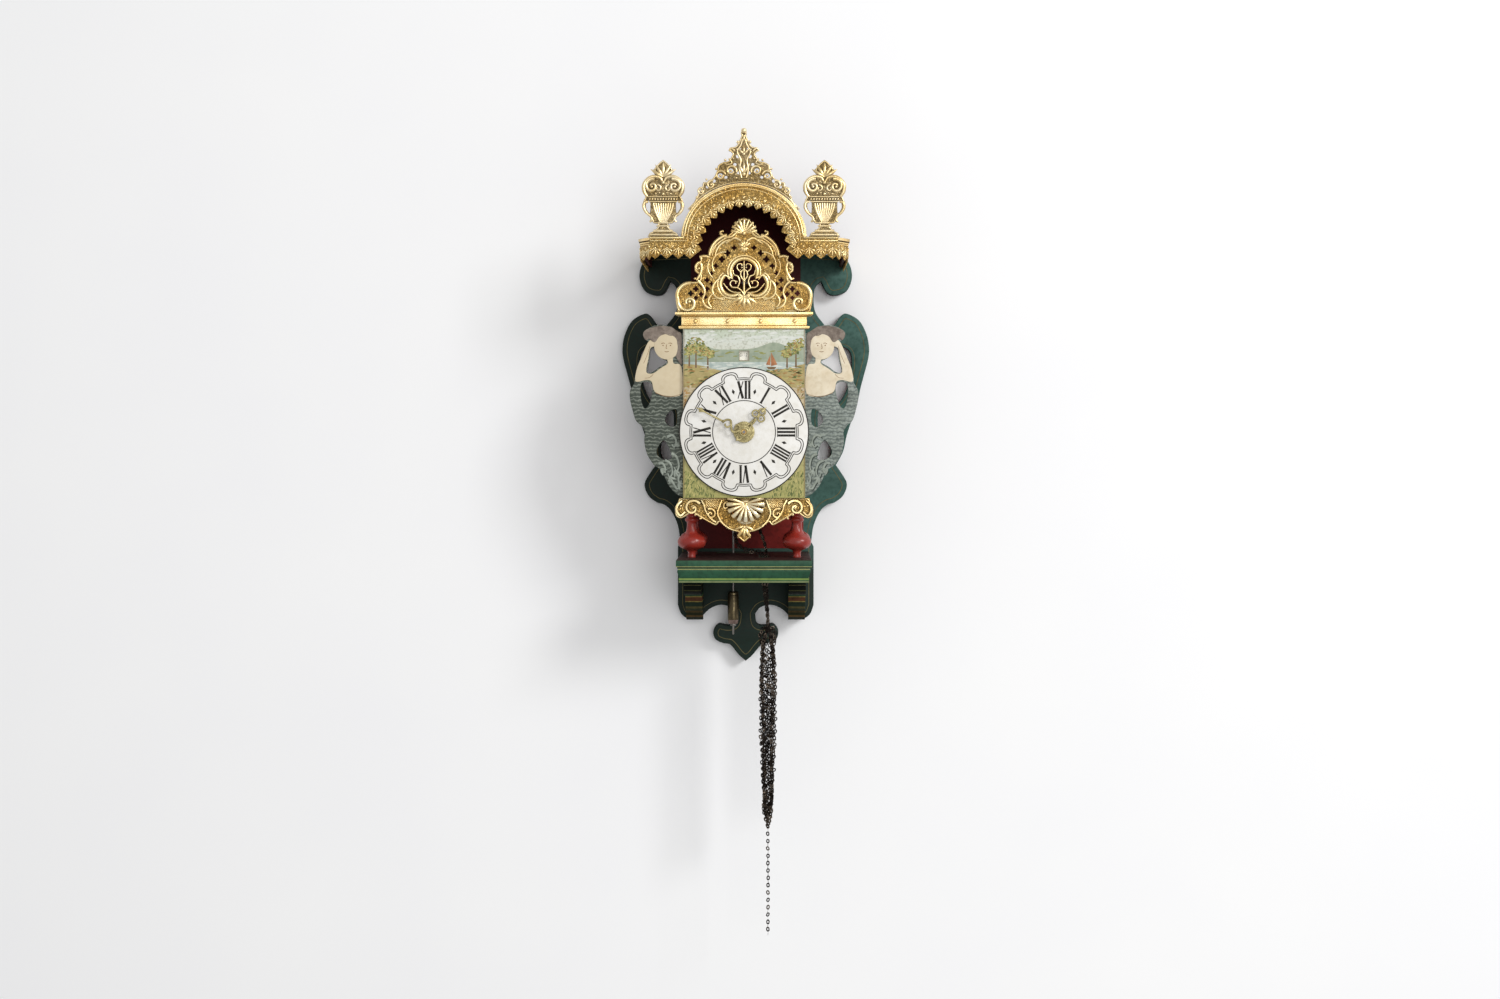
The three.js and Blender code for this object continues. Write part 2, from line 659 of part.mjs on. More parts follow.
const frontOuter = [
  [hoodFrontHalf, hoodRailZ], [hoodFrontHalf, hoodTopZ],
  ...archLine(archHalfWidth, archRise, archFootZ, 16),
  [-hoodFrontHalf, hoodTopZ], [-hoodFrontHalf, hoodRailZ],
  [-archOpenHalf, hoodRailZ],
  ...archLine(archOpenHalf, archOpenRise, hoodRailZ, 14).reverse().slice(1, -1),
  [archOpenHalf, hoodRailZ],
];
woodRed('hood_front', flat(frontOuter, [], hoodBoardThick, hoodFrontY));

// Scalloped frets round the hood
function scallops(x0, x1, topZ, count, depth) {
  const points = [];
  for (let i = 0; i < count; i += 1) {
    const a = x0 + ((x1 - x0) * i) / count;
    const w = (x1 - x0) / count;
    points.push([a, topZ], [a + w * 0.3, topZ - depth], [a + w * 0.7, topZ - depth]);
  }
  return points;
}
const fretTopZ = hoodTopZ;
const fretRootZ = hoodRailZ;
const fretHalf = hoodFrontHalf + gap;
const archScallops = Array.from({ length: archScallopSteps + 1 }, (_, i) => {
  const a = Math.PI * (i / archScallopSteps);
  const dip = i % 2 === 1 ? scallopDepth * 0.8 : 0;
  const half = archOpenHalf + gap - dip;
  return [half * Math.cos(a), fretRootZ + (archOpenRise - dip) * Math.sin(a)];
}).reverse();
const fretOutline = [
  [fretHalf, fretRootZ], [fretHalf, fretTopZ],
  ...archLine(archHalfWidth - fretOverhang, archRise - fretOverhang, fretTopZ, 16),
  [-fretHalf, fretTopZ], [-fretHalf, fretRootZ],
  ...scallops(-fretHalf, -archOpenHalf - gap, fretRootZ, 4, scallopDepth).slice(1),
  ...archScallops,
  ...scallops(archOpenHalf + gap, fretHalf, fretRootZ, 4, scallopDepth).slice(1),
];
gilt('canopy_fret', flat(fretOutline, [], fretThick, hoodFrontY - hoodBoardThick - gap));
// A strip round each side: a short canted run and a long straight one, joined at the corner
const cantScallopCount = 2;
const sideScallopCount = 10;
[['left', -1], ['right', 1]].forEach(([side, s]) => {
  const inset = sideInset - hoodBoardThick / 2 - gap - fretThick / 2;
  const line = sideLine(inset, roofFrontY + fretThick / 2, roofBackY - gap);
  const runs = [[line[0], line[1], cantScallopCount, cantAngle], [line[1], line[2], sideScallopCount, 0]];
  const parts = runs.map(([a, b, count, angle]) => {
    const half = Math.hypot(b[0] - a[0], b[1] - a[1]) / 2;
    const edge = [[half, fretTopZ - hoodBoardThick], [-half, fretTopZ - hoodBoardThick],
      ...scallops(-half, half, fretRootZ, count, scallopDepth), [half, fretRootZ]];
    const g = flat(edge, [], fretThick, fretThick / 2);
    g.rotateZ(s * (Math.PI / 2 - angle));
    g.translate((s * (a[0] + b[0])) / 2, (a[1] + b[1]) / 2, -gap);
    return g;
  });
  gilt(`canopy_return_${side}`, fuse(...parts));
});

// Castings that stand on the hood
const crestTopShares = [
  [0, 1, 1], [0.05, 0.96], [0.04, 0.93, 1], [0.1, 0.86], [0.14, 0.83, 1], [0.25, 0.81], [0.19, 0.76, 1],
  [0.26, 0.7], [0.34, 0.69, 1], [0.44, 0.66], [0.47, 0.6], [0.53, 0.54], [0.62, 0.5, 1], [0.7, 0.5],
  [0.73, 0.44], [0.79, 0.4, 1], [0.87, 0.31], [0.96, 0.25, 1],
];
const finialFootZ = hoodTopZ;
const archClear = (x) => archFootZ + gap
  + (archRise + gap) * Math.sqrt(Math.max(0, 1 - (x / (archHalfWidth + gap)) ** 2));
const finialHalf = softLine(place(crestTopShares, crestFinialHalf, crestFinialHeight, 0, finialFootZ));
const finialFootShares = [0.92, 0.805, 0.69, 0.575, 0.46, 0.345, 0.23, 0.115, 0];
const finialFoot = finialFootShares.map(
  (share) => [crestFinialHalf * share, archClear(crestFinialHalf * share)]);
const finialHoleShares = [[[0.17, 0.64], [0.27, 0.63], [0.3, 0.575], [0.2, 0.565]],
  [[0.38, 0.6], [0.44, 0.585], [0.46, 0.535], [0.37, 0.525]],
  [[0.05, 0.78], [0.11, 0.77], [0.12, 0.715], [0.05, 0.71]]];
const finialHoles = finialHoleShares.map(
  (h) => place(h, crestFinialHalf, crestFinialHeight, 0, finialFootZ));
gilt('crest_finial', flat(mirrored([...finialHalf, ...finialFoot]),
  [...finialHoles, ...finialHoles.map(flip)], castThick, hoodFrontY - castThick / 4));

const urnShares = [
  [0, 1, 1], [0.22, 0.95], [0.46, 0.87, 1], [0.18, 0.77, 1], [0.64, 0.77], [1, 0.62], [0.83, 0.52, 1],
  [0.96, 0.43], [0.87, 0.32], [0.55, 0.24, 1], [0.46, 0.18], [0.24, 0.17, 1], [0.24, 0.13, 1],
  [0.42, 0.08], [0.64, 0.05, 1], [0.73, 0, 1], [0, 0, 1],
];
const urnHoleShares = [[0.6, 0.46], [0.8, 0.45], [0.82, 0.36], [0.6, 0.3]];
[['left', -1], ['right', 1]].forEach(([side, s]) => {
  const footZ = hoodTopZ + gap;
  const half = softLine(place(urnShares, urnHalfWidth, urnHeight, 0, footZ));
  const hole = place(urnHoleShares, urnHalfWidth, urnHeight, 0, footZ);
  const g = flat(mirrored(half), [hole, flip(hole)], castThick, hoodFrontY - castThick / 4);
  g.translate(s * urnCentreX, 0, 0);
  gilt(`urn_${side}`, g);
});

// Gear outlines: narrow teeth that never touch at the named centre distances
const tipShare = 0.22;
const rootShare = 0.3;
function gear(teeth, radius, phase, x, z) {
  const pitch = (2 * Math.PI) / teeth;
  const tip = radius * (1 + tipShare * pitch);
  const root = radius * (1 - rootShare * pitch);
  const points = [];
  for (let i = 0; i < teeth; i += 1) {
    const a = phase + i * pitch;
    [[tip, 0], [root, 0.5]].forEach(([r, t]) => {
      points.push([x + r * Math.cos(a + t * pitch), z + r * Math.sin(a + t * pitch)]);
    });
  }
  return points;
}

// Phase of a wheel that meshes with one whose phase is known, along a line of centres
function meshPhase(phaseA, teethA, teethB, line) {
  return line + Math.PI - ((phaseA - line) * teethA) / teethB + Math.PI / teethB;
}

function spokeHoles(radius, hub, x, z, count) {
  return Array.from({ length: count }, (_, k) => {
    const mid = ((k + 0.5) / count) * Math.PI * 2;
    const open = (Math.PI / count) * 0.78;
    const arc = [-1, -0.4, 0.4, 1].map((t) => [
      x + radius * Math.cos(mid + t * open), z + radius * Math.sin(mid + t * open)]);
    const inner = [0.5, -0.5].map((t) => [
      x + hub * Math.cos(mid + t * open), z + hub * Math.sin(mid + t * open)]);
    return [...arc, ...inner];
  });
}

const up = Math.PI / 2;
const greatRadius = (trainModule * greatTeeth) / 2;
const pinionRadius = (trainModule * pinionTeeth) / 2;
const greatZ = -greatDrop;
const contrateZ = greatZ + greatRadius + pinionRadius;
const spokedHub = 3 * arborRadius;
const pivotIn = barThick / 2;

// Going train: great wheel with its sprocket, and the wheel that drives the hands
const goingWheelY = goingY + trainRoom - sprocketOffset / 3;
const driveRadius = greatDrop / 2;
const driveY = barY[0] - runGap;
const goingFlanges = [goingChainY - drumWidth / 2 - flangeThick / 2,
  goingChainY + drumWidth / 2 + flangeThick / 2];
iron('going_great_wheel', fuse(
  flat(gear(greatTeeth, greatRadius, up, 0, greatZ),
    spokeHoles(greatRadius * 0.82, spokedHub * 2.2, 0, greatZ, 4), wheelThick, goingWheelY),
  rodY(arborRadius, barY[0] + barThick + runGap, barY[1] - runGap, 0, greatZ),
  rodY(pivotRadius, barY[0] - runGap - 2 * wheelThick, barY[1] + pivotIn, 0, greatZ, 10),
  rodY(drumRadius, goingFlanges[0], goingFlanges[1], 0, greatZ, 14),
  ...goingFlanges.map((y) => rodY(flangeRadius, y - flangeThick / 2, y + flangeThick / 2, 0, greatZ, 14)),
  flat(gear(driveTeeth, driveRadius, up, 0, greatZ), [], wheelThick, driveY - wheelThick / 2),
));

// Contrate wheel, its teeth pointing to the back
const contrateY = goingY + contrateSetBack;
const contratePhase = up + Math.PI / contrateTeeth;
const teethRing = Array.from({ length: contrateTeeth }, (_, i) => {
  const a = contratePhase + (i / contrateTeeth) * Math.PI * 2;
  const tooth = new THREE.CylinderGeometry(contrateWall * 0.2, contrateWall * 0.42,
    contrateHeight * 0.5, 3);
  tooth.translate(0, contrateHeight * 1.1, 0);
  const r = contrateRadius;
  tooth.translate(r * Math.cos(a), contrateY, contrateZ + r * Math.sin(a));
  return tooth;
});
const cupRows = [[0, 0], [contrateRadius + contrateWall / 2, 0],
  [contrateRadius + contrateWall / 2, contrateHeight], [contrateRadius - contrateWall / 2, contrateHeight],
  [contrateRadius - contrateWall / 2, contrateWall], [0, contrateWall]];
const cup = new THREE.LatheGeometry(cupRows.map(([r, h]) => new THREE.Vector2(r, h)), 20);
cup.translate(0, contrateY, contrateZ);
const goingPinionY = goingWheelY + (pinionWidth - wheelThick) / 2;
iron('contrate_wheel', fuse(
  cup, ...teethRing,
  rodY(arborRadius, goingY + runGap, barY[1] - runGap, 0, contrateZ),
  rodY(pivotRadius, barY[0] + pivotIn, barY[1] + pivotIn, 0, contrateZ, 10),
  flat(gear(pinionTeeth, pinionRadius, meshPhase(up, greatTeeth, pinionTeeth, up), 0, contrateZ), [],
    pinionWidth, goingPinionY),
));

// Crown wheel on an upright arbor
const crownPinionRadius = (contrateRadius * crownPinionTeeth) / contrateTeeth;
const crownPinionTip = crownPinionRadius * (1 + (tipShare * 2 * Math.PI) / crownPinionTeeth);
const crownY = contrateY + contrateHeight + gap + crownPinionTip;
const rimZ = contrateZ + contrateRadius;
const crownFootZ = rimZ - crownPinionHeight / 2;
const crownDiscZ = crownFootZ + crownArborLength - crownHeight;
const crownPinion = level(gear(crownPinionTeeth, crownPinionRadius, -up, 0, 0), [],
  crownPinionHeight, crownFootZ);
crownPinion.translate(0, crownY, 0);
const crownCupRows = [[0, 0], [crownRadius, 0], [crownRadius, crownHeight],
  [crownRadius - crownWall, crownHeight], [crownRadius - crownWall, crownWall], [0, crownWall]];
const crownTips = Array.from({ length: crownTeeth }, (_, i) => {
  const a = (i / crownTeeth) * Math.PI * 2;
  const tooth = new THREE.CylinderGeometry(crownWall * 0.1, crownWall * 0.48, crownToothHeight, 3);
  tooth.rotateX(Math.PI / 2);
  tooth.translate(
    (crownRadius - crownWall / 2) * Math.cos(a),
    crownY + (crownRadius - crownWall / 2) * Math.sin(a),
    crownDiscZ + crownHeight + crownToothHeight * 0.4);
  return tooth;
});
iron('crown_wheel', fuse(
  turned(crownCupRows, 18, 0, crownY, crownDiscZ), ...crownTips, crownPinion,
  rodZ(arborRadius * 0.8, crownFootZ - gap, crownDiscZ + crownWall, 0, crownY, 10),
  rodZ(pivotRadius, crownFootZ - 2 * potenceThick, crownFootZ, 0, crownY, 10),
));

// Verge with two pallets and the crutch that reaches back to the pendulum
const crownReach = crownRadius - crownWall / 2;
const pallets = [[-1, 1], [1, -1]].map(([end, lean]) => {
  const g = new THREE.BoxGeometry(palletThick, palletWidth, palletLength);
  g.translate(0, 0, -palletLength / 2);
  g.rotateY(lean * 0.7);
  g.translate(0, crownY + end * crownReach, vergeZ);
  return g;
});
const crutchFrontY = caseBackY + runGap * 6;
const crutchBackY = crutchFrontY + 2 * vergeRadius;
const crutchLength = Math.hypot(pendulumX, crutchDrop);
const crutchArm = new THREE.BoxGeometry(2 * vergeRadius, crutchBackY - crutchFrontY, crutchLength);
crutchArm.translate(0, 0, -crutchLength / 2);
crutchArm.rotateY(Math.atan(-pendulumX / crutchDrop));
crutchArm.translate(0, (crutchFrontY + crutchBackY) / 2, vergeZ);
const forkZ = vergeZ - crutchDrop;
const forkHalf = rodRadius + runGap + vergeRadius / 2;
const fork = fuse(
  box(pendulumX - forkHalf - vergeRadius / 2, pendulumX + forkHalf + vergeRadius / 2,
    crutchFrontY, crutchBackY, forkZ - vergeRadius, forkZ + vergeRadius),
  ...[-1, 1].map((s) => box(pendulumX + s * forkHalf - vergeRadius / 2,
    pendulumX + s * forkHalf + vergeRadius / 2,
    crutchFrontY, pendulumY + 2 * rodRadius, forkZ - vergeRadius, forkZ + vergeRadius)));
iron('verge', fuse(
  rodY(vergeRadius, barY[0] + pivotIn, crutchBackY, 0, vergeZ, 10),
  ...pallets, crutchArm, fork));

// Striking train
const strikeWheelY = strikeY + trainRoom - 2 * pinLength;
const countPinionY = barY[2] + barThick + runGap + pinionWidth;
const strikeFlanges = [strikeChainY - drumWidth / 2 - flangeThick / 2,
  strikeChainY + drumWidth / 2 + flangeThick / 2];
const pins = Array.from({ length: pinCount }, (_, i) => {
  const a = ((i + 0.5) / pinCount) * Math.PI * 2;
  return rodY(pinRadius, strikeWheelY - wheelThick / 2, strikeWheelY + pinLength - gap,
    pinCircle * Math.cos(a), greatZ + pinCircle * Math.sin(a), 6);
});
iron('strike_great_wheel', fuse(
  flat(gear(greatTeeth, greatRadius, up, 0, greatZ),
    spokeHoles(greatRadius * 0.68, spokedHub * 2, 0, greatZ, 4), wheelThick, strikeWheelY),
  ...pins,
  rodY(arborRadius, strikeY + runGap, barY[2] - runGap, 0, greatZ),
  rodY(pivotRadius, barY[1] + barThick - pivotIn, countPinionY, 0, greatZ, 10),
  rodY(drumRadius, strikeFlanges[0], strikeFlanges[1], 0, greatZ, 14),
  ...strikeFlanges.map((y) => rodY(flangeRadius, y - flangeThick / 2, y + flangeThick / 2, 0, greatZ, 14)),
  flat(gear(pinionTeeth, pinionRadius, up, 0, greatZ), [], pinionWidth, countPinionY),
));

const secondRadius = (secondModule * secondTeeth) / 2;
const secondPinion = (secondModule * pinionTeeth) / 2;
const secondZ = contrateZ;
const secondY = strikeWheelY - sprocketOffset * 0.6;
const strikePinionY = strikeWheelY + (pinionWidth - wheelThick) / 2;
const strikePivots = (z) => rodY(pivotRadius, barY[1] + barThick - pivotIn, barY[2] + pivotIn, 0, z, 10);
const strikeArbor = (z) => rodY(arborRadius * 0.8, strikeY + runGap, barY[2] - runGap, 0, z, 10);
iron('strike_second_wheel', fuse(
  flat(gear(secondTeeth, secondRadius, up, 0, secondZ),
    spokeHoles(secondRadius * 0.8, spokedHub * 1.4, 0, secondZ, 4), wheelThick, secondY),
  flat(gear(pinionTeeth, pinionRadius, meshPhase(up, greatTeeth, pinionTeeth, up), 0, secondZ), [],
    pinionWidth, strikePinionY),
  strikePivots(secondZ), strikeArbor(secondZ)));

const flyZ = secondZ + secondRadius + secondPinion;
const flyFrontY = strikeY + strapThick + 2 * runGap;
const flyBackY = secondY - wheelThick - 2 * runGap;
brass('fly', fuse(
  box(-flyHalfWidth, flyHalfWidth, flyFrontY, flyBackY, flyZ - flyThick, flyZ + flyThick),
  flat(gear(pinionTeeth, secondPinion, meshPhase(up, secondTeeth, pinionTeeth, up), 0, flyZ), [],
    pinionWidth, secondY + (pinionWidth - wheelThick) / 2),
  strikePivots(flyZ), strikeArbor(flyZ)));

// Count wheel on a stud behind the back bar
const countRadius = (trainModule * countTeeth) / 2;
const countZ = greatZ + countRadius + pinionRadius;
const countBackY = countPinionY - runGap;
const notchTurns = [0, 2, 5, 9, 14, 20, 27, 35, 44, 54, 65, 77];
const notchSumCount = 78;
const countRim = notchTurns.flatMap((start, i) => {
  const next = i === notchTurns.length - 1 ? notchSumCount : notchTurns[i + 1];
  const a0 = (start / notchSumCount) * Math.PI * 2;
  const a1 = ((next - 0.9) / notchSumCount) * Math.PI * 2;
  const mid = (a0 + a1) / 2;
  const r = countRadius * 0.82;
  const low = countRadius * 0.72;
  return [[low, a0], [r, a0], [r, mid], [r, a1], [low, a1]].map(
    ([q, a]) => [q * Math.cos(a), countZ + q * Math.sin(a)]);
});
const countBore = circle(studRadius + boreGap, 12, 0, countZ);
brass('count_wheel', fuse(
  flat(gear(countTeeth, countRadius, meshPhase(up, pinionTeeth, countTeeth, up), 0, countZ),
    [countBore], wheelThick, countBackY - wheelThick / 2),
  flat(countRim, [countBore], wheelThick, countBackY + wheelThick / 4)));
const studOf = (z, faceY, endY, s) => [
  rodY(studRadius, faceY - s * pivotIn, endY, 0, z, 10),
  rodY(studRadius * 2, faceY - s * pivotIn, faceY + s * runGap, 0, z, 8)];
const countStud = studOf(countZ, barY[2] + barThick, countBackY + 2 * wheelThick, 1);

// Motion work between the front bar and the dial
const handStudEndY = chapterFrontY - alarmThick - 4 * handThick - 4 * handSpacing;
const handStud = studOf(0, barY[0], handStudEndY, -1);
const stepPinion = (stepDistance * stepPinionTeeth) / (stepTeeth + stepPinionTeeth);
const stepRadius = stepDistance - stepPinion;
const hourPinion = (stepDistance * stepPinionTeeth) / (hourTeeth + stepPinionTeeth);
const hourRadius = stepDistance - hourPinion;
const minuteWheelY = driveY - wheelThick / 2;
const stepWheelY = minuteWheelY - wheelThick - runGap;
const hourWheelY = stepWheelY - wheelThick - runGap;
const minutePhase = meshPhase(up, driveTeeth, driveTeeth, up);
const stepWheelPhase = meshPhase(up, stepPinionTeeth, stepTeeth, up);
const stepPinionPhase = up;
const hourPhase = meshPhase(-up, stepPinionTeeth, hourTeeth, -up);
const stepStud = studOf(stepDistance, barY[0], hourWheelY - wheelThick - runGap, -1);
const alarmBackY = chapterFrontY - handSpacing;
const hourHandBackY = alarmBackY - alarmThick - handSpacing;
const minuteHandBackY = hourHandBackY - handThick - handSpacing;
const minutePipe = (y0, y1) => flat(circle(minutePipeRadius, 14), [circle(studRadius + boreGap, 12)],
  y0 - y1, y0);
brass('minute_wheel', fuse(
  flat(gear(driveTeeth, driveRadius, minutePhase, 0, 0), [circle(studRadius + boreGap, 12)],
    wheelThick, minuteWheelY),
  flat(gear(stepPinionTeeth, stepPinion, up, 0, 0), [circle(studRadius + boreGap, 12)],
    wheelThick * 1.2, minuteWheelY - wheelThick * 0.9),
  minutePipe(minuteWheelY, minuteHandBackY - handThick)));
brass('step_wheel', fuse(
  flat(gear(stepTeeth, stepRadius, stepWheelPhase, 0, stepDistance),
    [circle(studRadius + boreGap, 12, 0, stepDistance)], wheelThick, stepWheelY),
  flat(gear(stepPinionTeeth, hourPinion, -stepPinionPhase, 0, stepDistance),
    [circle(studRadius + boreGap, 12, 0, stepDistance)], wheelThick * 2, stepWheelY - wheelThick / 2)));
const hourBore = hourPipeOuter - hourPipeWall;
brass('hour_wheel', fuse(
  flat(gear(hourTeeth, hourRadius, hourPhase, 0, 0), [circle(hourBore, 14)], wheelThick, hourWheelY),
  flat(circle(hourPipeOuter, 16), [circle(hourBore, 14)],
    hourWheelY - hourHandBackY + handThick, hourWheelY)));

// Bars with a hole for every pivot; each has a foot and a head against the case boards
const barHeight = caseCeilingZ - caseFloorZ;
function bar(index, holes) {
  const foot = caseFloorZ + gap;
  const head = foot + barHeight - 2 * gap;
  const points = [
    [-barHalfWidth - barFoot, foot], [barHalfWidth + barFoot, foot],
    [barHalfWidth + barFoot, foot + barThick], [barHalfWidth, foot + 2 * barThick],
    [barHalfWidth, head - 2 * barThick], [barHalfWidth + barFoot, head - barThick],
    [barHalfWidth + barFoot, head], [-barHalfWidth - barFoot, head],
    [-barHalfWidth - barFoot, head - barThick], [-barHalfWidth, head - 2 * barThick],
    [-barHalfWidth, foot + 2 * barThick], [-barHalfWidth - barFoot, foot + barThick],
  ];
  return flat(points, holes.map(([z, r]) => circle(r + boreGap, 8, 0, z)), barThick,
    barY[index] + barThick);
}

// Bracket on the middle bar that holds the crown wheel's arbor
const potenceFootZ = crownFootZ - gap - runGap - potenceThick;
const potenceTopZ = crownDiscZ - runGap;
const potenceBackY = barY[1] + pivotIn / 2;
const potenceArmY = crownY - 2 * pivotRadius;
const potenceBody = fuse(
  box(-potenceHalfWidth, potenceHalfWidth, barY[1] - potenceThick, potenceBackY,
    potenceFootZ, potenceTopZ),
  box(-potenceHalfWidth, potenceHalfWidth, potenceArmY, potenceBackY,
    potenceFootZ, potenceFootZ + potenceThick),
  box(-potenceHalfWidth, potenceHalfWidth, potenceArmY, potenceBackY,
    potenceTopZ - potenceThick, potenceTopZ),
);
const potence = cut(potenceBody,
  rodZ(arborRadius * 0.8 + boreGap, potenceFootZ + 2 * potenceThick, potenceTopZ + potenceThick,
    0, crownY, 10),
  rodZ(pivotRadius + boreGap, potenceFootZ - potenceThick, potenceFootZ + 2 * potenceThick,
    0, crownY, 10));

// Straps on the middle and back bars that carry the hammer arbor
const strapPoints = [
  [-barHalfWidth, hammerPivotZ - strapHalfHeight], [hammerX, hammerPivotZ - strapHalfHeight],
  [hammerX + strapHalfHeight, hammerPivotZ], [hammerX, hammerPivotZ + strapHalfHeight],
  [-barHalfWidth, hammerPivotZ + strapHalfHeight]];
const strapHole = [circle(pivotRadius + boreGap, 8, hammerX, hammerPivotZ)];
const strapY = [strikeY + strapThick, barY[2] - strapThick];
const strapFront = flat(strapPoints, strapHole, strapThick + pivotIn, strapY[0]);
const strapBack = flat(strapPoints, strapHole, strapThick + pivotIn, barY[2] + pivotIn);
const dateStud = studOf(dateDiscZ, barY[0], dialBackY + gap, -1);
iron('front_bar', fuse(
  bar(0, [[greatZ, pivotRadius], [contrateZ, pivotRadius], [vergeZ, vergeRadius]]),
  ...handStud, ...stepStud, ...dateStud));
iron('middle_bar', fuse(
  bar(1, [greatZ, contrateZ, flyZ].map((z) => [z, pivotRadius]).concat([[vergeZ, vergeRadius]])),
  potence, strapFront));
iron('back_bar', fuse(
  bar(2, [greatZ, secondZ, flyZ].map((z) => [z, pivotRadius]).concat([[vergeZ, vergeRadius]])),
  strapBack, ...countStud));

// Hammer: arm up to the bell, tail down to the lifting pins
const hammerFrontY = strikeWheelY + gap;
const hammerBackY = hammerFrontY + hammerBarThick;
const armHalf = hammerBarWidth / 2;
const hammerPlate = flat([
  [hammerX - armHalf, hammerPivotZ], [tailEndX - armHalf, tailEndZ], [tailEndX + armHalf, tailEndZ],
  [hammerX + armHalf, hammerPivotZ - armHalf], [hammerX + armHalf, hammerHeadZ],
  [hammerX - armHalf, hammerHeadZ]], [], hammerBarThick, hammerBackY);
const hammerHead = new THREE.CylinderGeometry(hammerHeadRadius, hammerHeadRadius, 2 * hammerHeadHalf, 12);
hammerHead.rotateZ(Math.PI / 2);
hammerHead.translate(hammerX, (hammerFrontY + hammerBackY) / 2, hammerHeadZ);
iron('hammer', fuse(hammerPlate, hammerHead,
  rodY(pivotRadius, strapY[0] - strapThick / 2, strapY[1] + strapThick / 2, hammerX, hammerPivotZ, 8),
  rodY(arborRadius, strapY[0] + runGap, strapY[1] - runGap, hammerX, hammerPivotZ, 8)));

// Bell on its post
const bellY = (hammerFrontY + hammerBackY) / 2;
const caseTopZ = caseCeilingZ + caseBoardThick;
const bellShares = [[0, 1], [0.38, 0.96], [0.7, 0.78], [0.87, 0.42], [0.93, 0.14], [1, 0]];
const bellInner = bellShares.map(
  ([r, h]) => [Math.max(0, r * bellRadius - bellWall), h * (bellHeight - bellWall)]);
const bellOuter = bellShares.slice().reverse().map(([r, h]) => [r * bellRadius, h * bellHeight]);
const bellRows = [...bellInner, ...bellOuter];
const bellCapZ = bellMouthZ + bellHeight;
brass('bell', cut(
  turned(bellRows, 14, 0, bellY, bellMouthZ),
  rodZ(bellPostRadius * 0.6 + boreGap, bellMouthZ, bellCapZ + bellPostRadius, 0, bellY, 10)));
iron('bell_post', fuse(
  rodZ(bellPostRadius, caseTopZ + gap, bellCapZ - bellWall - gap, 0, bellY, 10),
  rodZ(bellPostRadius * 2.4, caseTopZ + gap, caseTopZ + gap + bellPostRadius, 0, bellY, 12),
  rodZ(bellPostRadius * 1.8, bellCapZ + gap, bellCapZ + gap + bellPostRadius, 0, bellY, 6),
  rodZ(bellPostRadius * 0.6, bellCapZ - 2 * bellPostRadius, bellCapZ + 2 * bellPostRadius, 0, bellY, 8)));

// Alarm disc and hands
const knurl = Array.from({ length: knurlSteps }, (_, i) => {
  const r = i % 2 === 0 ? alarmRadius : alarmRadius * 0.95;
  const a = (i / knurlSteps) * Math.PI * 2;
  return [r * Math.cos(a), r * Math.sin(a)];
});
brass('alarm_disc', flat(knurl, [circle(hourPipeOuter + boreGap, 16)], alarmThick, alarmBackY));

const turnBy = (points, angle) => points.map(([x, z]) => [
  x * Math.cos(angle) + z * Math.sin(angle), -x * Math.sin(angle) + z * Math.cos(angle)]);
const minuteShares = [
  [0.09, 0, 1], [0.06, 0.14], [0.1, 0.2], [0.06, 0.3], [0.03, 0.36, 1], [0.05, 0.4], [0.02, 0.46, 1],
  [0.015, 0.88, 1], [0.06, 0.92, 1], [0.015, 0.94, 1], [0, 1, 1],
];
const hourShares = [
  [0.17, 0, 1], [0.1, 0.3], [0.06, 0.42, 1], [0.14, 0.5], [0.28, 0.54], [0.26, 0.68, 1],
  [0.18, 0.76], [0.12, 0.86], [0, 1, 1],
];
function hand(name, shares, length, tailShare, angle, hubRadius, bore, backY) {
  const side = softLine(place(shares, length, length)).filter(([, z]) => z > hubRadius);
  const blade = [...flip(side.slice(0, -1)), ...side.slice().reverse()].reverse();
  const rim = circle(hubRadius, 20);
  const hub = flat(rim, [circle(bore, 14)], handThick, backY);
  const bladeFoot = [[-hubRadius * 0.6, hubRadius * 0.75], [hubRadius * 0.6, hubRadius * 0.75]];
  const bladeShape = turnBy([...bladeFoot, ...blade.filter(([, z]) => z > hubRadius)], angle);
  const tailShape = turnBy([[hubRadius * 0.5, -hubRadius * 0.8], [0, -length * tailShare],
    [-hubRadius * 0.5, -hubRadius * 0.8]], angle);
  brass(name, fuse(hub, flat(bladeShape, [], handThick, backY), flat(tailShape, [], handThick, backY)));
}
const minuteAngle = (297 / 360) * Math.PI * 2;
const hourAngle = (42 / 360) * Math.PI * 2;
hand('hour_hand', hourShares, hourLength, 0.36, hourAngle, hourPipeOuter + 2 * handThick,
  hourPipeOuter + boreGap, hourHandBackY);
hand('minute_hand', minuteShares, minuteLength, 0.12, minuteAngle, minutePipeRadius + 2 * handThick,
  minutePipeRadius + boreGap, minuteHandBackY);

// Date disc behind its window
const dateDiscBackY = dialBackY + gap + dateDiscThick;
add('date_disc', flat(circle(dateDiscRadius, 31, 0, dateDiscZ),
  [circle(studRadius + boreGap, 12, 0, dateDiscZ)], dateDiscThick, dateDiscBackY), 0xe9e4d4, 0, 0.5);

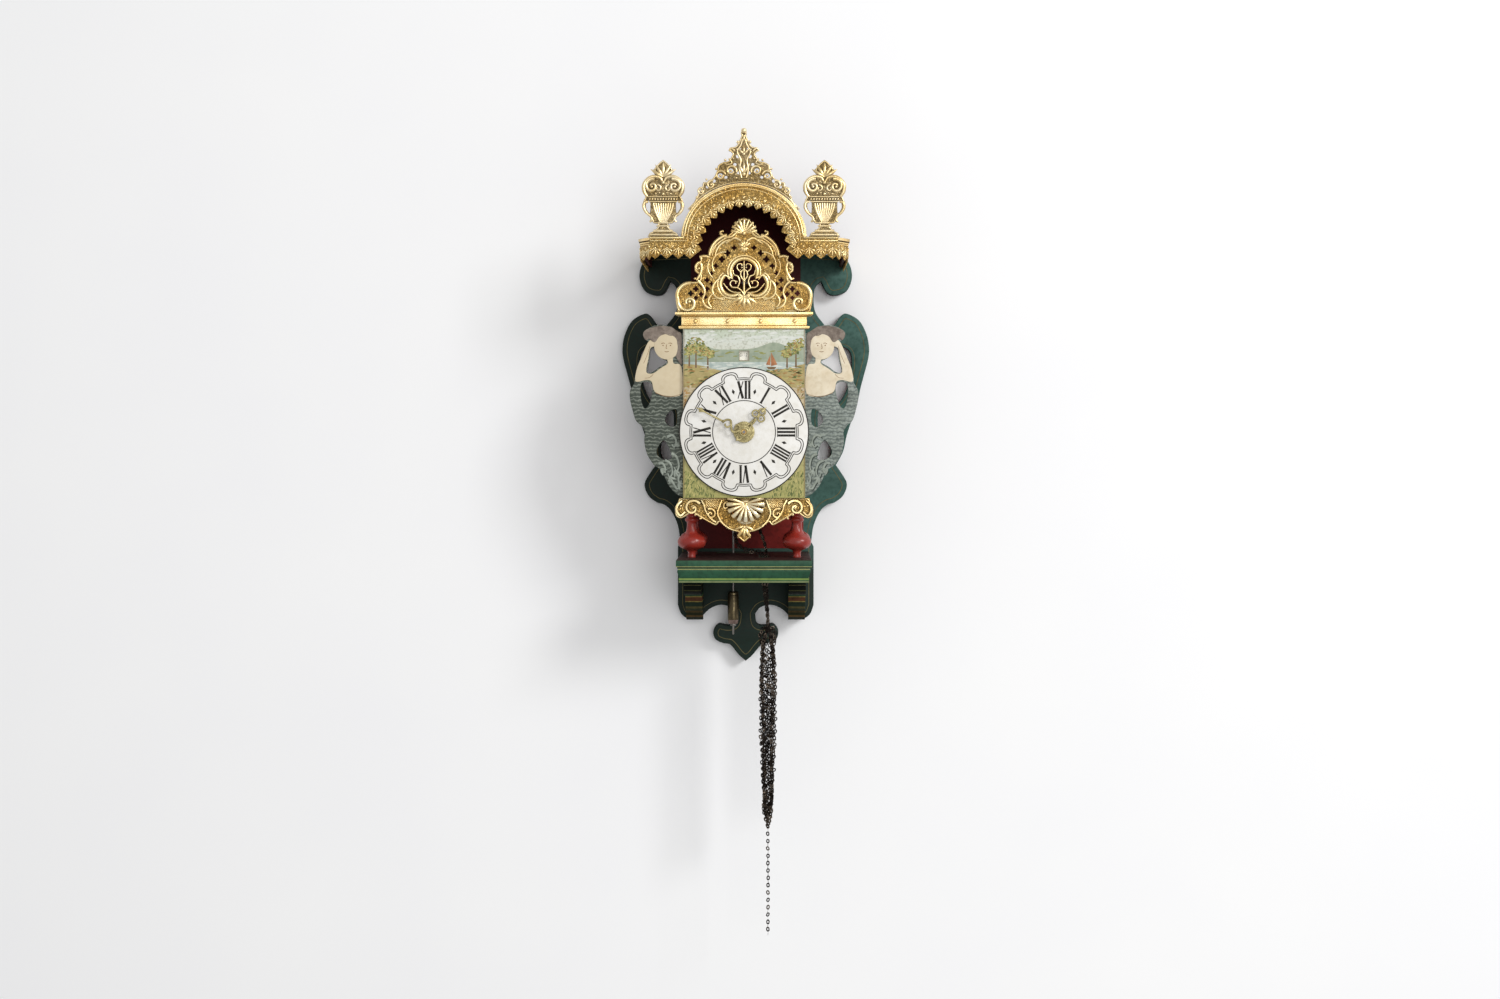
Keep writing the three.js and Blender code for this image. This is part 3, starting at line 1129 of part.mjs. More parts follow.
// Pendulum on its cock
const cockFootZ = vergeZ + cockRise - cockLugThick;
const lugY = [pendulumY - eyeWidth / 2 - runGap - cockLugThick, pendulumY + eyeWidth / 2 + runGap];
iron('pendulum_cock', fuse(
  box(pendulumX - cockHalfWidth, pendulumX + cockHalfWidth, lugY[0], boardFrontY - gap,
    cockFootZ, cockFootZ + 2 * cockLugThick),
  box(pendulumX - cockHalfWidth, pendulumX + cockHalfWidth, boardFrontY - gap - cockLugThick,
    boardFrontY - gap, cockFootZ - 2 * cockRise / 3, cockFootZ + 2 * cockRise),
  ...lugY.map((y) => box(pendulumX - cockHalfWidth / 2, pendulumX + cockHalfWidth / 2,
    y, y + cockLugThick, vergeZ - cockLugThick, cockFootZ + cockLugThick)),
  rodY(hangPinRadius, lugY[0] + cockLugThick / 2, lugY[1] + cockLugThick / 2, pendulumX, vergeZ, 8)));
iron('pendulum_rod', fuse(
  flat(circle(eyeRadius, 14, pendulumX, vergeZ), [circle(hangPinRadius + boreGap, 10, pendulumX, vergeZ)],
    eyeWidth, pendulumY + eyeWidth / 2),
  rodZ(rodRadius, bobTopZ - bobHeight - 2 * bobRadius, vergeZ - eyeRadius * 0.8,
    pendulumX, pendulumY, 8),
  rodZ(bobRadius * 0.55, bobTopZ - bobHeight - gap - bobRadius * 0.4, bobTopZ - bobHeight - gap,
    pendulumX, pendulumY, 10)));
const bobRows = [[rodRadius + gap, 0], [bobRadius * 0.8, 0], [bobRadius, 0.06], [bobRadius, 0.94],
  [bobRadius * 0.8, 1], [rodRadius + gap, 1]].map(([r, h]) => [r, h * bobHeight]);
brass('pendulum_bob', turned([...bobRows, bobRows[0]], 16, pendulumX, pendulumY, bobTopZ - bobHeight));

// Chain: strands over both sprockets, the bundled hank and its tail
function tube(points, steps, sides) {
  const path = new THREE.CatmullRomCurve3(points.map((p) => new THREE.Vector3(...p)), false, 'centripetal');
  const shape = loopOf(circle(chainDiameter / 2, sides));
  return new THREE.ExtrudeGeometry(shape, { steps, bevelEnabled: false, extrudePath: path });
}
const hankY = (goingChainY + strikeChainY) / 2;
const holeX = hankX - chainDiameter;
const shelfMidZ = shelfTopZ - shelfThick / 2;
const wrap = chainRadiusOnDrum;
const arc = [0, 0.25, 0.5, 0.75, 1];
const strandDrop = chainDiameter * 2;
function strand(y, side) {
  const topZ = hankTopZ + gap;
  const apart = chainDiameter * 0.6;
  const outerY = y + side * apart;
  const innerY = y - side * apart;
  const meet = [hankY + side * 2 * hankPitch, hankY + side * hankPitch];
  return [
    [hankX, meet[0], topZ], [hankX, meet[0], topZ + strandDrop],
    [holeX - apart, outerY, shelfFootZ - strandDrop], [holeX - apart, outerY, shelfMidZ],
    [holeX - apart, outerY, shelfTopZ + apart],
    [apart, y, shelfTopZ + chainDiameter * 1.6],
    [-chainDiameter * 2, y, floorFootZ - footHeight * 0.75], [-wrap, y, floorFootZ - strandDrop],
    [-wrap, y, caseFloorZ], ...arc.map((t) => [
      -wrap * Math.cos(t * Math.PI), y, greatZ + wrap * Math.sin(t * Math.PI)]),
    [wrap, y, caseFloorZ], [wrap, y, floorFootZ - strandDrop],
    [holeX, y, floorFootZ - footHeight * 0.7],
    [holeX + apart, innerY, shelfTopZ + chainDiameter],
    [holeX + apart, innerY, shelfMidZ], [holeX + apart, innerY, shelfFootZ - strandDrop],
    [hankX, meet[1], topZ + strandDrop], [hankX, meet[1], topZ],
  ];
}
iron('chain_going', tube(strand(goingChainY, -1), 50, 5));
iron('chain_strike', tube(strand(strikeChainY, 1), 50, 5));

// The hank is one tube laid in long loops side by side
const loopSteps = 24;
const hankSpreadShares = [1, 0.42, 0.82, 0.62];
const hankPoints = [];
for (let i = 0; i <= hankLoops * loopSteps; i += 1) {
  const turn = i / loopSteps;
  const loop = Math.min(hankLoops - 1, Math.floor(turn));
  const t = turn - loop;
  const a = t * Math.PI * 2;
  const low = (1 - Math.cos(a)) / 2;
  const ease = Math.sin(Math.PI * Math.min(1, Math.max(0, (low - 0.2) / 0.7)));
  const spread = 1 + (hankSpreadShares[loop] - 1) * ease;
  const half = (hankHalfTop + (hankHalfFoot - hankHalfTop) * low) * spread;
  const shift = Math.abs(t - 0.5) > 0.38 ? (Math.abs(t - 0.5) - 0.38) / 0.24 : 0;
  const y = (loop + 0.5 + Math.sign(t - 0.5) * shift - hankLoops / 2) * hankPitch;
  hankPoints.push(new THREE.Vector3(
    hankX + half * Math.sin(a), hankY + y,
    hankTopZ - chainDiameter / 2 - hankHeight * low));
}
function ringTube(path, radius, sides) {
  const position = [];
  const index = [];
  path.forEach((p, i) => {
    const a = path[Math.max(0, i - 1)];
    const b = path[Math.min(path.length - 1, i + 1)];
    const tangent = new THREE.Vector3().subVectors(b, a).normalize();
    const wide = new THREE.Vector3(0, 1, 0).addScaledVector(tangent, -tangent.y).normalize();
    const deep = new THREE.Vector3().crossVectors(tangent, wide);
    for (let k = 0; k < sides; k += 1) {
      const w = ((k + 0.5) / sides) * Math.PI * 2;
      const v = p.clone()
        .addScaledVector(wide, radius * Math.cos(w))
        .addScaledVector(deep, radius * Math.sin(w));
      position.push(v.x, v.y, v.z);
    }
  });
  path.slice(1).forEach((_, i) => {
    for (let k = 0; k < sides; k += 1) {
      const n = (k + 1) % sides;
      const a = i * sides;
      index.push(a + k, a + n, a + sides + n, a + k, a + sides + n, a + sides + k);
    }
  });
  const last = (path.length - 1) * sides;
  for (let k = 1; k < sides - 1; k += 1) {
    index.push(0, k + 1, k, last, last + k, last + k + 1);
  }
  const g = new THREE.BufferGeometry();
  g.setAttribute('position', new THREE.Float32BufferAttribute(position, 3));
  g.setIndex(index);
  g.computeVertexNormals();
  return g;
}
iron('chain_hank', ringTube(hankPoints, chainDiameter / 2, 6));

// Least room between turns of the hank, measured between its points
let least = Infinity;
hankPoints.forEach((p, i) => {
  for (let j = i + loopSteps / 3; j < hankPoints.length; j += 1) {
    least = Math.min(least, p.distanceTo(hankPoints[j]) - chainDiameter);
  }
});
console.log(`hank: least room between turns ${least.toFixed(2)} mm`);

const tailTopZ = hankTopZ - chainDiameter - hankHeight - gap;
const tailY = hankY + hankPitch / 2;
iron('chain_tail', tube([[hankX, tailY, tailTopZ], [hankX + gap, tailY, tailTopZ - tailLength / 2],
  [hankX, tailY, tailTopZ - tailLength]], 10, 6));

export default group;
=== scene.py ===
# A Frisian stool clock on a wall, in metres: X to the viewer's right, Y into the wall, Z up.
import math
import random

import bmesh
import bpy
from mathutils import Matrix, Vector


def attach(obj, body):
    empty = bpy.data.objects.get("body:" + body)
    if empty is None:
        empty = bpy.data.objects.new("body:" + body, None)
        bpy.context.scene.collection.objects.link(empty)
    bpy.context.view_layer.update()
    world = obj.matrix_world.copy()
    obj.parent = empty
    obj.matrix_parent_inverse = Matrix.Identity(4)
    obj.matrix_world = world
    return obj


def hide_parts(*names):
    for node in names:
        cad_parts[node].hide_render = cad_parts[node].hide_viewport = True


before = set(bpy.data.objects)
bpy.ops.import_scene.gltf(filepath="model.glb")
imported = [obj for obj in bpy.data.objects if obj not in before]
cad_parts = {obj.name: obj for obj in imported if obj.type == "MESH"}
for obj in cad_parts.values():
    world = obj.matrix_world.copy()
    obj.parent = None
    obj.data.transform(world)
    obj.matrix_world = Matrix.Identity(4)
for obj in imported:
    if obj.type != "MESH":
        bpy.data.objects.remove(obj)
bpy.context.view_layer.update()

MM = 0.001
draw = random.Random(11)

# Colours and materials


def lin(code):
    """sRGB hex to linear colour"""
    parts = [int(code[i:i + 2], 16) / 255 for i in (1, 3, 5)]
    return tuple(c / 12.92 if c <= 0.04045 else ((c + 0.055) / 1.055) ** 2.4 for c in parts) + (1.0,)


def put(tree, kind, sockets=None, **settings):
    """One node with its settings, its values and its links"""
    node = tree.nodes.new("ShaderNode" + kind)
    for key, value in settings.items():
        setattr(node, key, value)
    for key, value in (sockets or {}).items():
        if isinstance(value, bpy.types.NodeSocket):
            tree.links.new(value, node.inputs[key])
        else:
            node.inputs[key].default_value = value
    return node


def start(name, *patches):
    """A new material, and a cloudy value from 0 to 1 for each patch: size in mm, detail and stretch"""
    mat = bpy.data.materials.new(name)
    mat.use_nodes = True
    tree = mat.node_tree
    tree.nodes.clear()
    at = put(tree, "TexCoord").outputs["Object"]
    clouds = []
    for size, detail, *stretch in patches:
        drawn = put(tree, "Mapping", {"Vector": at, "Scale": stretch[0]}).outputs[0] if stretch else at
        clouds.append(put(tree, "TexNoise", {"Vector": drawn, "Scale": 1 / (size * MM), "Detail": detail,
                                             "Roughness": 0.55}).outputs["Fac"])
    return mat, tree, at, clouds


def tint(tree, base, code, value, low, high, most=1.0, least=0.0):
    """The colour laid over the base, from least to most as the value goes from low to high"""
    share = put(tree, "MapRange", {0: value, 1: low, 2: high, 3: least, 4: most}).outputs[0]
    return put(tree, "Mix", {0: share, 6: base, 7: lin(code)}, data_type="RGBA").outputs[2]


def by_height(tree, at, waver, waver_mm, rows, way="LINEAR"):
    """Rows of height in mm and colour, from the foot up, with wavering edges"""
    height = put(tree, "SeparateXYZ", {0: at}).outputs["Z"]
    shift = put(tree, "Math", {0: waver, 1: waver_mm * MM}, operation="MULTIPLY").outputs[0]
    moved = put(tree, "Math", {0: height, 1: shift}, operation="ADD").outputs[0]
    low, high = rows[0][0], rows[-1][0]
    ramp = put(tree, "ValToRGB", {0: put(tree, "MapRange", {0: moved, 1: low * MM, 2: high * MM}).outputs[0]})
    ramp.color_ramp.interpolation = way
    stops = ramp.color_ramp.elements
    while len(stops) < len(rows):
        stops.new(0.5)
    for stop, (z, code) in zip(stops, rows):
        stop.position = (z - low) / (high - low)
        stop.color = lin(code)
    return ramp.outputs[0]


def end(tree, colour, metal, wear, smooth, dull, height, bump, bump_mm, low=0.3, high=0.7, **sockets):
    """The shader: smooth to dull as the wear goes from low to high, with bumps that follow the height"""
    rough = put(tree, "MapRange", {0: wear, 1: low, 2: high, 3: smooth, 4: dull}).outputs[0]
    bumps = put(tree, "Bump", {"Height": height, "Strength": bump, "Distance": bump_mm * MM}).outputs[0]
    values = {"Base Color": colour, "Metallic": metal, "Roughness": rough, "Normal": bumps}
    values.update({key.replace("_", " "): value for key, value in sockets.items()})
    put(tree, "OutputMaterial", {"Surface": put(tree, "BsdfPrincipled", values).outputs[0]})


def gilt_cast(name, bright, middle, dark, worn, worn_from=0.6, rough=0.3, relief=0.0):
    """Leaf on cast lead in two tones, with pale specks that are partly worn leaf and partly painted glint,
    and painted shade in the hollows that also stands for the brown size left there
    """
    mat, tree, at, (broad, fine, height) = start(name, (26, 2), (2.2, 4), (0.8, 3))
    base = tint(tree, lin(middle), bright, broad, 0.35, 0.65)
    # Pale specks: partly worn leaf, partly painted glint
    base = tint(tree, base, worn, fine, worn_from, worn_from + 0.12)
    if relief:
        curls = put(tree, "TexNoise", {"Vector": at, "Scale": 1 / (5.2 * MM), "Detail": 1.5,
                                       "Distortion": 1.6}).outputs["Fac"]
        apart = put(tree, "Math", {0: curls, 1: 0.5}, operation="SUBTRACT").outputs[0]
        apart = put(tree, "Math", {0: apart}, operation="ABSOLUTE").outputs[0]
        ridge = put(tree, "MapRange", {0: apart, 1: 0.0, 2: 0.11, 3: 1.0, 4: 0.0}).outputs[0]
        # The ground's low parts between its bumped curls darken: painted shade
        base = tint(tree, base, dark, ridge, 0.7, 0.1, 0.66)
        grain = put(tree, "Math", {0: height, 1: 0.3}, operation="MULTIPLY").outputs[0]
        height = put(tree, "Math", {0: ridge, 1: grain}, operation="ADD").outputs[0]
    # Painted shade in the hollows, found by occlusion
    painted_hollow_shade = put(tree, "AmbientOcclusion", {"Distance": 5 * MM}, samples=6).outputs["AO"]
    base = tint(tree, base, dark, painted_hollow_shade, 0.86, 0.42)
    end(tree, base, 0.8, fine, rough - 0.06, rough + 0.16, height, 0.9 if relief else 0.4, relief or 0.14)
    return mat


def painted_shade_share(tree, at, rise):
    """How much painted shade lies on the paint: more to the left, and toward the second height of a rise in
    mm
    """
    where = put(tree, "SeparateXYZ", {0: at}).outputs
    share = put(tree, "MapRange", {0: where["X"], 1: 70 * MM, 2: -80 * MM, 3: 0, 4: 0.92}).outputs[0]
    if rise:
        up = put(tree, "MapRange", {0: where["Z"], 1: rise[0] * MM, 2: rise[1] * MM, 3: 0,
                                    4: 0.88}).outputs[0]
        share = put(tree, "Math", {0: share, 1: up}, operation="MAXIMUM").outputs[0]
    return share


def oil_paint(name, main, second, dark, patch=40, rough=0.42, streak=(1, 1, 1), chip="#5b4a36", chips=0.78,
              sheen=0.16, painted_shade_tone=None, rise=None):
    """Old oil paint on wood: two tones in soft patches, brush lines, small chips to the ground colour"""
    mat, tree, at, (broad, mottle, brush, flake) = start(name, (patch, 3), (6, 4), (1.6, 3, streak), (3.1, 5))
    base = tint(tree, lin(main), second, broad, 0.35, 0.68)
    # The darkening colour here is painted shade, laid on to the left and toward the end of the rise
    if painted_shade_tone:
        base = tint(tree, base, painted_shade_tone, painted_shade_share(tree, at, rise), 0, 1)
    base = tint(tree, base, dark, mottle, 0.45, 0.75, 0.55)
    base = tint(tree, base, chip, flake, chips, chips + 0.03)
    end(tree, base, 0.0, mottle, rough - 0.08, rough + 0.14, brush, 0.3, 0.12, Specular_IOR_Level=sheen)
    return mat


def metal_finish(name, bright, dull, dark, metal, rough, patch=12, stretch=(1, 1, 1)):
    """Worked metal: bright and dull patches, tool marks, dark spots where it has tarnished"""
    mat, tree, at, (broad, spots, marks) = start(name, (patch, 4), (2.0, 4), (0.6, 3, stretch))
    base = tint(tree, lin(bright), dull, broad, 0.35, 0.66)
    base = tint(tree, base, dark, spots, 0.56, 0.74, 0.7)
    end(tree, base, metal, broad, rough - 0.08, rough + 0.14, marks, 0.25, 0.08)
    return mat


# Gold leaf on cast lead: warm and bright on what stands out; the ground behind it takes a browner, curled
# copy, painted shade.
# The shell takes a paler, brighter copy all over, a painted highlight. The urns and the hood's crest are
# paler.
GILT = gilt_cast("gilded_cast_lead", "#ffe9b0", "#f2cd86", "#4c330e", "#fff2cc", 0.64, 0.22)
GILT_SHELL = gilt_cast("gilded_cast_lead_painted_highlight", "#fff4d2", "#fbe2ab", "#a87f3a", "#fff8e2", 0.7, 0.2)
GILT_GROUND = gilt_cast("gilded_cast_lead_ground_painted_shade", "#eac478", "#cb9f50", "#3a260a", "#f4dba0", 0.66, 0.3, 0.7)
GILT_PALE = gilt_cast("gilded_cast_lead_worn", "#fae6ba", "#e5c88c", "#4a3716", "#f5e9ca", 0.58, 0.28)
# The worn ground's darker copy is painted shade too
GILT_PALE_GROUND = gilt_cast("gilded_cast_lead_worn_ground_painted_shade", "#d2ba8a", "#ab915f", "#33260f", "#dccdaa",
                             0.58, 0.36, 0.7)

# The board: dull blue-green oil paint with painted shade to the left, beside the case, and at its foot under
# the shelf; dark cut edges, a thin line of dull gold paint round it, and a maroon field behind the works with
# painted shade to the left and up in the hood
BOARD_GREEN = oil_paint("oil_paint_green_board", "#33534a", "#45675e", "#1d332d", 60, 0.44, (1, 1, 0.15),
                        painted_shade_tone="#171c15", rise=(-150, -205))
BOARD_EDGE = oil_paint("oil_paint_board_edge", "#161c19", "#1e2521", "#0c100e", 30, 0.6, (1, 0.2, 1))
GOLD_LINE = oil_paint("gold_paint_line", "#635c3c", "#736a46", "#403b26", 14, 0.5)
# The maroon's darker tone is painted shade, to the left and up inside the hood
MAROON = oil_paint("oil_paint_maroon", "#7e2420", "#8c2d26", "#471513", 50, 0.5, (1, 1, 0.2),
                   painted_shade_tone="#2c1014", rise=(60, 250))

# Hood and case: deep red-brown oil paint, matt and darkened. The turned feet are a fresher red and shine more
HOOD_PAINT = oil_paint("oil_paint_hood", "#4a1c1c", "#5a2522", "#2b1211", 50, 0.5, (1, 0.2, 1))
CASE_PAINT = oil_paint("oil_paint_case_boards", "#5c2420", "#6d2c25", "#38130f", 40, 0.46, (1, 0.2, 1))
RED_TURNED = oil_paint("red_paint_turned_foot", "#8c2a22", "#a03427", "#5c1814", 22, 0.28, (1, 1, 4),
                       sheen=0.5)

# The shelf and its moulding: bottle green with a soft shine, a worn brown top and two tones of yellow line
SHELF_GREEN = oil_paint("oil_paint_green_shelf", "#1f4731", "#28543b", "#11271b", 34, 0.36, (0.15, 1, 1),
                        sheen=0.26)
SHELF_TOP = oil_paint("oil_paint_shelf_top", "#33211f", "#3d2a25", "#1d1312", 30, 0.5, (0.2, 1, 1))
PALE_LINE = oil_paint("pale_yellow_line", "#9a9b66", "#a8a974", "#65673f", 12, 0.5)
LIME_LINE = oil_paint("yellow_green_line", "#6c8442", "#7f944e", "#4a5b2c", 12, 0.5)

# The mermaids: chalky flat colours, cream skin with a little painted shade to the left, grey-brown hair, grey
# leaves with dark strokes under them, and thin brown lines for the faces
SKIN = oil_paint("oil_paint_skin", "#e6dbc3", "#dacbb0", "#c7b696", 18, 0.55, (1, 1, 1), "#b3a17f", 0.76,
                 painted_shade_tone="#cfc0a2")
HAIR = oil_paint("oil_paint_hair", "#8d8176", "#7c7066", "#574c44", 6, 0.55, (3, 1, 0.5))
LEAF_GREY = oil_paint("oil_paint_grey_leaves", "#8f968c", "#9fa69b", "#565d55", 10, 0.55)
TAIL_DARK = oil_paint("oil_paint_tail_shadow_line", "#3a403b", "#444a44", "#232725", 8, 0.55)
FEATURES = oil_paint("brown_paint_line", "#8a6a4c", "#957556", "#6b5038", 5, 0.5)

# The chapter ring's white and the date disc's whiter card, both with soft black paint lines
WHITE = oil_paint("white_oil_paint_dial", "#edebe6", "#e3e0d8", "#d8d3c7", 34, 0.36, (1, 1, 1), "#c4bca8",
                  0.8)
CARD = oil_paint("painted_date_disc", "#f6f3ea", "#efebdf", "#e2dccb", 14, 0.6)
PAINT_LINE = oil_paint("black_paint_line", "#2a2824", "#33302b", "#1d1b18", 10, 0.5)

# The dial's painted lake: thin, muted strokes in greys, ochres and olive greens
HILL = oil_paint("oil_paint_far_hills", "#a3ab96", "#94a08c", "#7c8a78", 14, 0.55)
WATER = oil_paint("oil_paint_water", "#bcc5bd", "#abb8b2", "#93a09b", 12, 0.5, (0.2, 1, 1), "#dcdfd4", 0.7)
BANK = oil_paint("oil_paint_bank", "#b3a272", "#a69765", "#857b4a", 8, 0.55, (0.3, 1, 1))
LEAF_TONES = (("mid", "#8d8f58", "#9c9a5e", "#666c3c"), ("light", "#b5ab6c", "#c2b87c", "#8a8650"),
              ("deep", "#5f6a40", "#6c7446", "#474f2e"), ("russet", "#b08a58", "#a27a4c", "#7a5a38"))
LEAVES = [oil_paint("oil_paint_foliage_" + tone, *colours, 4, 0.55) for tone, *colours in LEAF_TONES]
TRUNK = oil_paint("oil_paint_trunk", "#77624a", "#846d52", "#55442f", 5, 0.55)
SAIL = oil_paint("oil_paint_sail", "#b7805a", "#a8714e", "#80523a", 5, 0.5)
CLOUD = oil_paint("oil_paint_cloud", "#dedfd6", "#d3d6cd", "#c3c9c0", 9, 0.55)

# Brass: yellow and soft on wheels and bell, pale with dark edges on the cut hands, dark brown on the old bob
# as painted shade under the shelf, ringed by the lathe there, with a tinned end
BRASS = metal_finish("aged_brass", "#c6a566", "#a98748", "#6e5527", 0.9, 0.34, 8)
HAND_BRASS = metal_finish("gilded_brass_hands", "#b9ac7b", "#91855a", "#4c452b", 0.6, 0.36, 6)
HAND_EDGE = metal_finish("tarnished_hand_edges", "#5a5236", "#433c28", "#26221a", 0.5, 0.5, 6)
# The bob's dark brass is painted shade
BOB_BRASS = metal_finish("brass_bob_painted_shade", "#6b5f45", "#4f4635", "#251f16", 0.9, 0.3, 5, (6, 6, 0.2))
BOB_END = metal_finish("tinned_bob_end", "#8f7a72", "#74625a", "#3c312c", 0.8, 0.36, 6)

# Iron: grey and filed on bars and posts, black from the forge on wheels. The chain's drawn wire is rusted
# brown on most links;
# the pale grey of the rest is painted glint, laid on at random
STEEL = metal_finish("forged_steel", "#8d8984", "#6f6b66", "#3c3733", 0.9, 0.4, 12)
IRON = metal_finish("blackened_iron", "#4d4843", "#38332f", "#24201d", 0.8, 0.5, 10)
CHAIN = metal_finish("drawn_wire_chain", "#a09181", "#74675b", "#352e28", 0.85, 0.28, 5)
CHAIN_DARK = metal_finish("drawn_wire_chain_rusted", "#40362e", "#2f2722", "#17130f", 0.6, 0.5, 5)


def scaly_paint():
    """The tails: grey-green paint with rows of small scales drawn across them, with painted shade to the left
    """
    mat, tree, at, (broad,) = start("oil_paint_scaly_tail", (22, 3))
    bent = put(tree, "Mapping", {"Vector": at, "Scale": (1, 0, 1)}).outputs[0]
    rows = put(tree, "TexWave", {"Vector": bent, "Scale": 62.0, "Distortion": 6.5, "Detail": 2.0,
                                 "Detail Scale": 2.2}, wave_type="BANDS", bands_direction="Z").outputs["Fac"]
    scales = put(tree, "TexVoronoi", {"Vector": bent, "Scale": 300.0}).outputs["Distance"]
    across = put(tree, "SeparateXYZ", {0: at}).outputs["X"]
    base = tint(tree, lin("#8c948e"), "#747c76", broad, 0.35, 0.65)
    # Painted shade: darker to the left
    base = tint(tree, base, "#3a3e32", across, 60 * MM, -60 * MM, 0.8)
    base = tint(tree, base, "#a2a99c", rows, 0.66, 0.94, 0.45)
    base = tint(tree, base, "#3e4640", rows, 0.3, 0.06, 0.5)
    base = tint(tree, base, "#39413c", scales, 0.45, 0.75, 0.35)
    end(tree, base, 0.0, scales, 0.4, 0.58, rows, 0.3, 0.2, 0.2, 0.8, Specular_IOR_Level=0.2)
    return mat


def banded_paint():
    """The brackets: matt bands of ochre and green with black between them, their edges drawn by hand; near
    black at the top as painted shade
    """
    mat, tree, at, (waver, mottle) = start("oil_paint_bracket_bands", (9, 2), (5, 4))
    # The top rows, near black, are dark paint deepened into painted shade under the shelf
    bands = [
        (-269, "#20261c"), (-264, "#5a4527"), (-261, "#2b2d1a"), (-257, "#54452a"), (-254, "#2f341e"),
        (-250, "#57502c"), (-247, "#1f2f23"), (-240, "#8c7a42"), (-238.6, "#5e3a26"), (-233, "#8a7a44"),
        (-231.5, "#2a4a30"), (-227, "#090c07"), (-221, "#4d4c2a"), (-219.6, "#090c07"), (-213, "#565230"),
        (-211.4, "#090c07"), (-202, "#090c07")]
    paint = by_height(tree, at, waver, 0.9, bands, "CONSTANT")
    base = tint(tree, paint, "#10130f", mottle, 0.35, 0.7, 0.6, 0.25)
    end(tree, base, 0.0, mottle, 0.56, 0.74, mottle, 0.25, 0.15, Specular_IOR_Level=0.06)
    return mat


def dial_ground():
    """Dial ground: pale grey-green sky running down to ochre and an olive foot, softly dabbed"""
    mat, tree, at, (dabs, fleck, warm) = start("oil_paint_dial_ground", (9, 4), (3.2, 5), (5.5, 4))
    paint = by_height(tree, at, dabs, 30, [
        (-75, "#a9a564"), (-29, "#aaa46c"), (21.6, "#b6a97f"), (67.6, "#c4b394"), (95.2, "#c8bb9f"),
        (113.6, "#c9c9b6"), (136.6, "#d2d5ca"), (155, "#c0c9b4")])
    base = tint(tree, paint, "#6d6a3f", fleck, 0.5, 0.72, 0.55)
    base = tint(tree, base, "#cdbf98", warm, 0.6, 0.76, 0.4)
    end(tree, base, 0.0, dabs, 0.4, 0.56, fleck, 0.2, 0.1, Specular_IOR_Level=0.3)
    return mat


TAIL = scaly_paint()
DIAL_GROUND = dial_ground()
BRACKET_PAINT = banded_paint()

# Shapes, drawn in mm

FACE = Matrix(((1, 0, 0, 0), (0, 0, -1, 0), (0, 1, 0, 0), (0, 0, 0, 1)))


def catmull(points, steps, closed=False):
    """A smooth line through the points, of any number of values each"""
    count = len(points)
    out = []
    for i in range(count if closed else count - 1):
        if closed:
            p = [points[(i + k - 1) % count] for k in range(4)]
        else:
            p = [points[min(max(i + k - 1, 0), count - 1)] for k in range(4)]
        for s in range(steps):
            t = s / steps
            out.append(tuple(
                0.5 * (2 * b + (c - a) * t + (2 * a - 5 * b + 4 * c - d) * t * t
                       + (3 * b - a - 3 * c + d) * t ** 3)
                for a, b, c, d in zip(*p)))
    if not closed:
        out.append(tuple(points[-1]))
    return out


def soft(points, steps=5):
    """Rounds the runs between sharp corners, which have a third value of 1"""
    line, run = [], []
    for i, p in enumerate(points):
        run.append(p[:2])
        if i and ((len(p) > 2 and p[2]) or i == len(points) - 1):
            line += catmull(run, steps if len(run) > 2 else 1)[:-1]
            run = [p[:2]]
    return line + [points[-1][:2]]


def place(shares, wide, high, x0=0.0, z0=0.0):
    """Shares of a width and a height as points in mm"""
    return [(x0 + p[0] * wide, z0 + p[1] * high) + tuple(p[2:]) for p in shares]


def flip(points):
    """The mirror image of points"""
    return [(-p[0],) + tuple(p[1:]) for p in points]


def mirrored(half):
    """A closed outline from its right half, top centre to foot centre"""
    left = [(-x, z) for x, z in reversed(half)]
    return half + [p for p in left if abs(p[0]) > 1e-6 or p not in half]


def round_loop(x, z, radius, count=32):
    """A circle as a closed loop"""
    return [(x + radius * math.cos(2 * math.pi * i / count), z + radius * math.sin(2 * math.pi * i / count))
            for i in range(count)]


def arc(x, z, radius, a0, a1, width, count=14, high=None):
    """Part of a ring, as a line of x, z and half width; angles in degrees"""
    high = radius if high is None else high
    return [(x + radius * math.cos(math.radians(a0 + (a1 - a0) * i / count)),
             z + high * math.sin(math.radians(a0 + (a1 - a0) * i / count)), width)
            for i in range(count + 1)]


def scroll(x, z, r0, r1, a0, turns, w0, w1):
    """A spiral from radius r0 at angle a0 inward to r1; the sign of turns gives its way round"""
    count = max(10, int(abs(turns) * 18))
    out = []
    for i in range(count + 1):
        t = i / count
        r = r0 + (r1 - r0) * t ** 0.8
        a = math.radians(a0) + turns * 2 * math.pi * t
        out.append((x + r * math.cos(a), z + r * math.sin(a), w0 + (w1 - w0) * t))
    return out


def to_mesh(data):
    """The mesh of a curve, welded"""
    holder = bpy.data.objects.new("holder", data)
    bpy.context.collection.objects.link(holder)
    bpy.context.view_layer.update()
    mesh = bpy.data.meshes.new_from_object(holder.evaluated_get(bpy.context.evaluated_depsgraph_get()))
    bpy.data.objects.remove(holder)
    bpy.data.curves.remove(data)
    return mesh


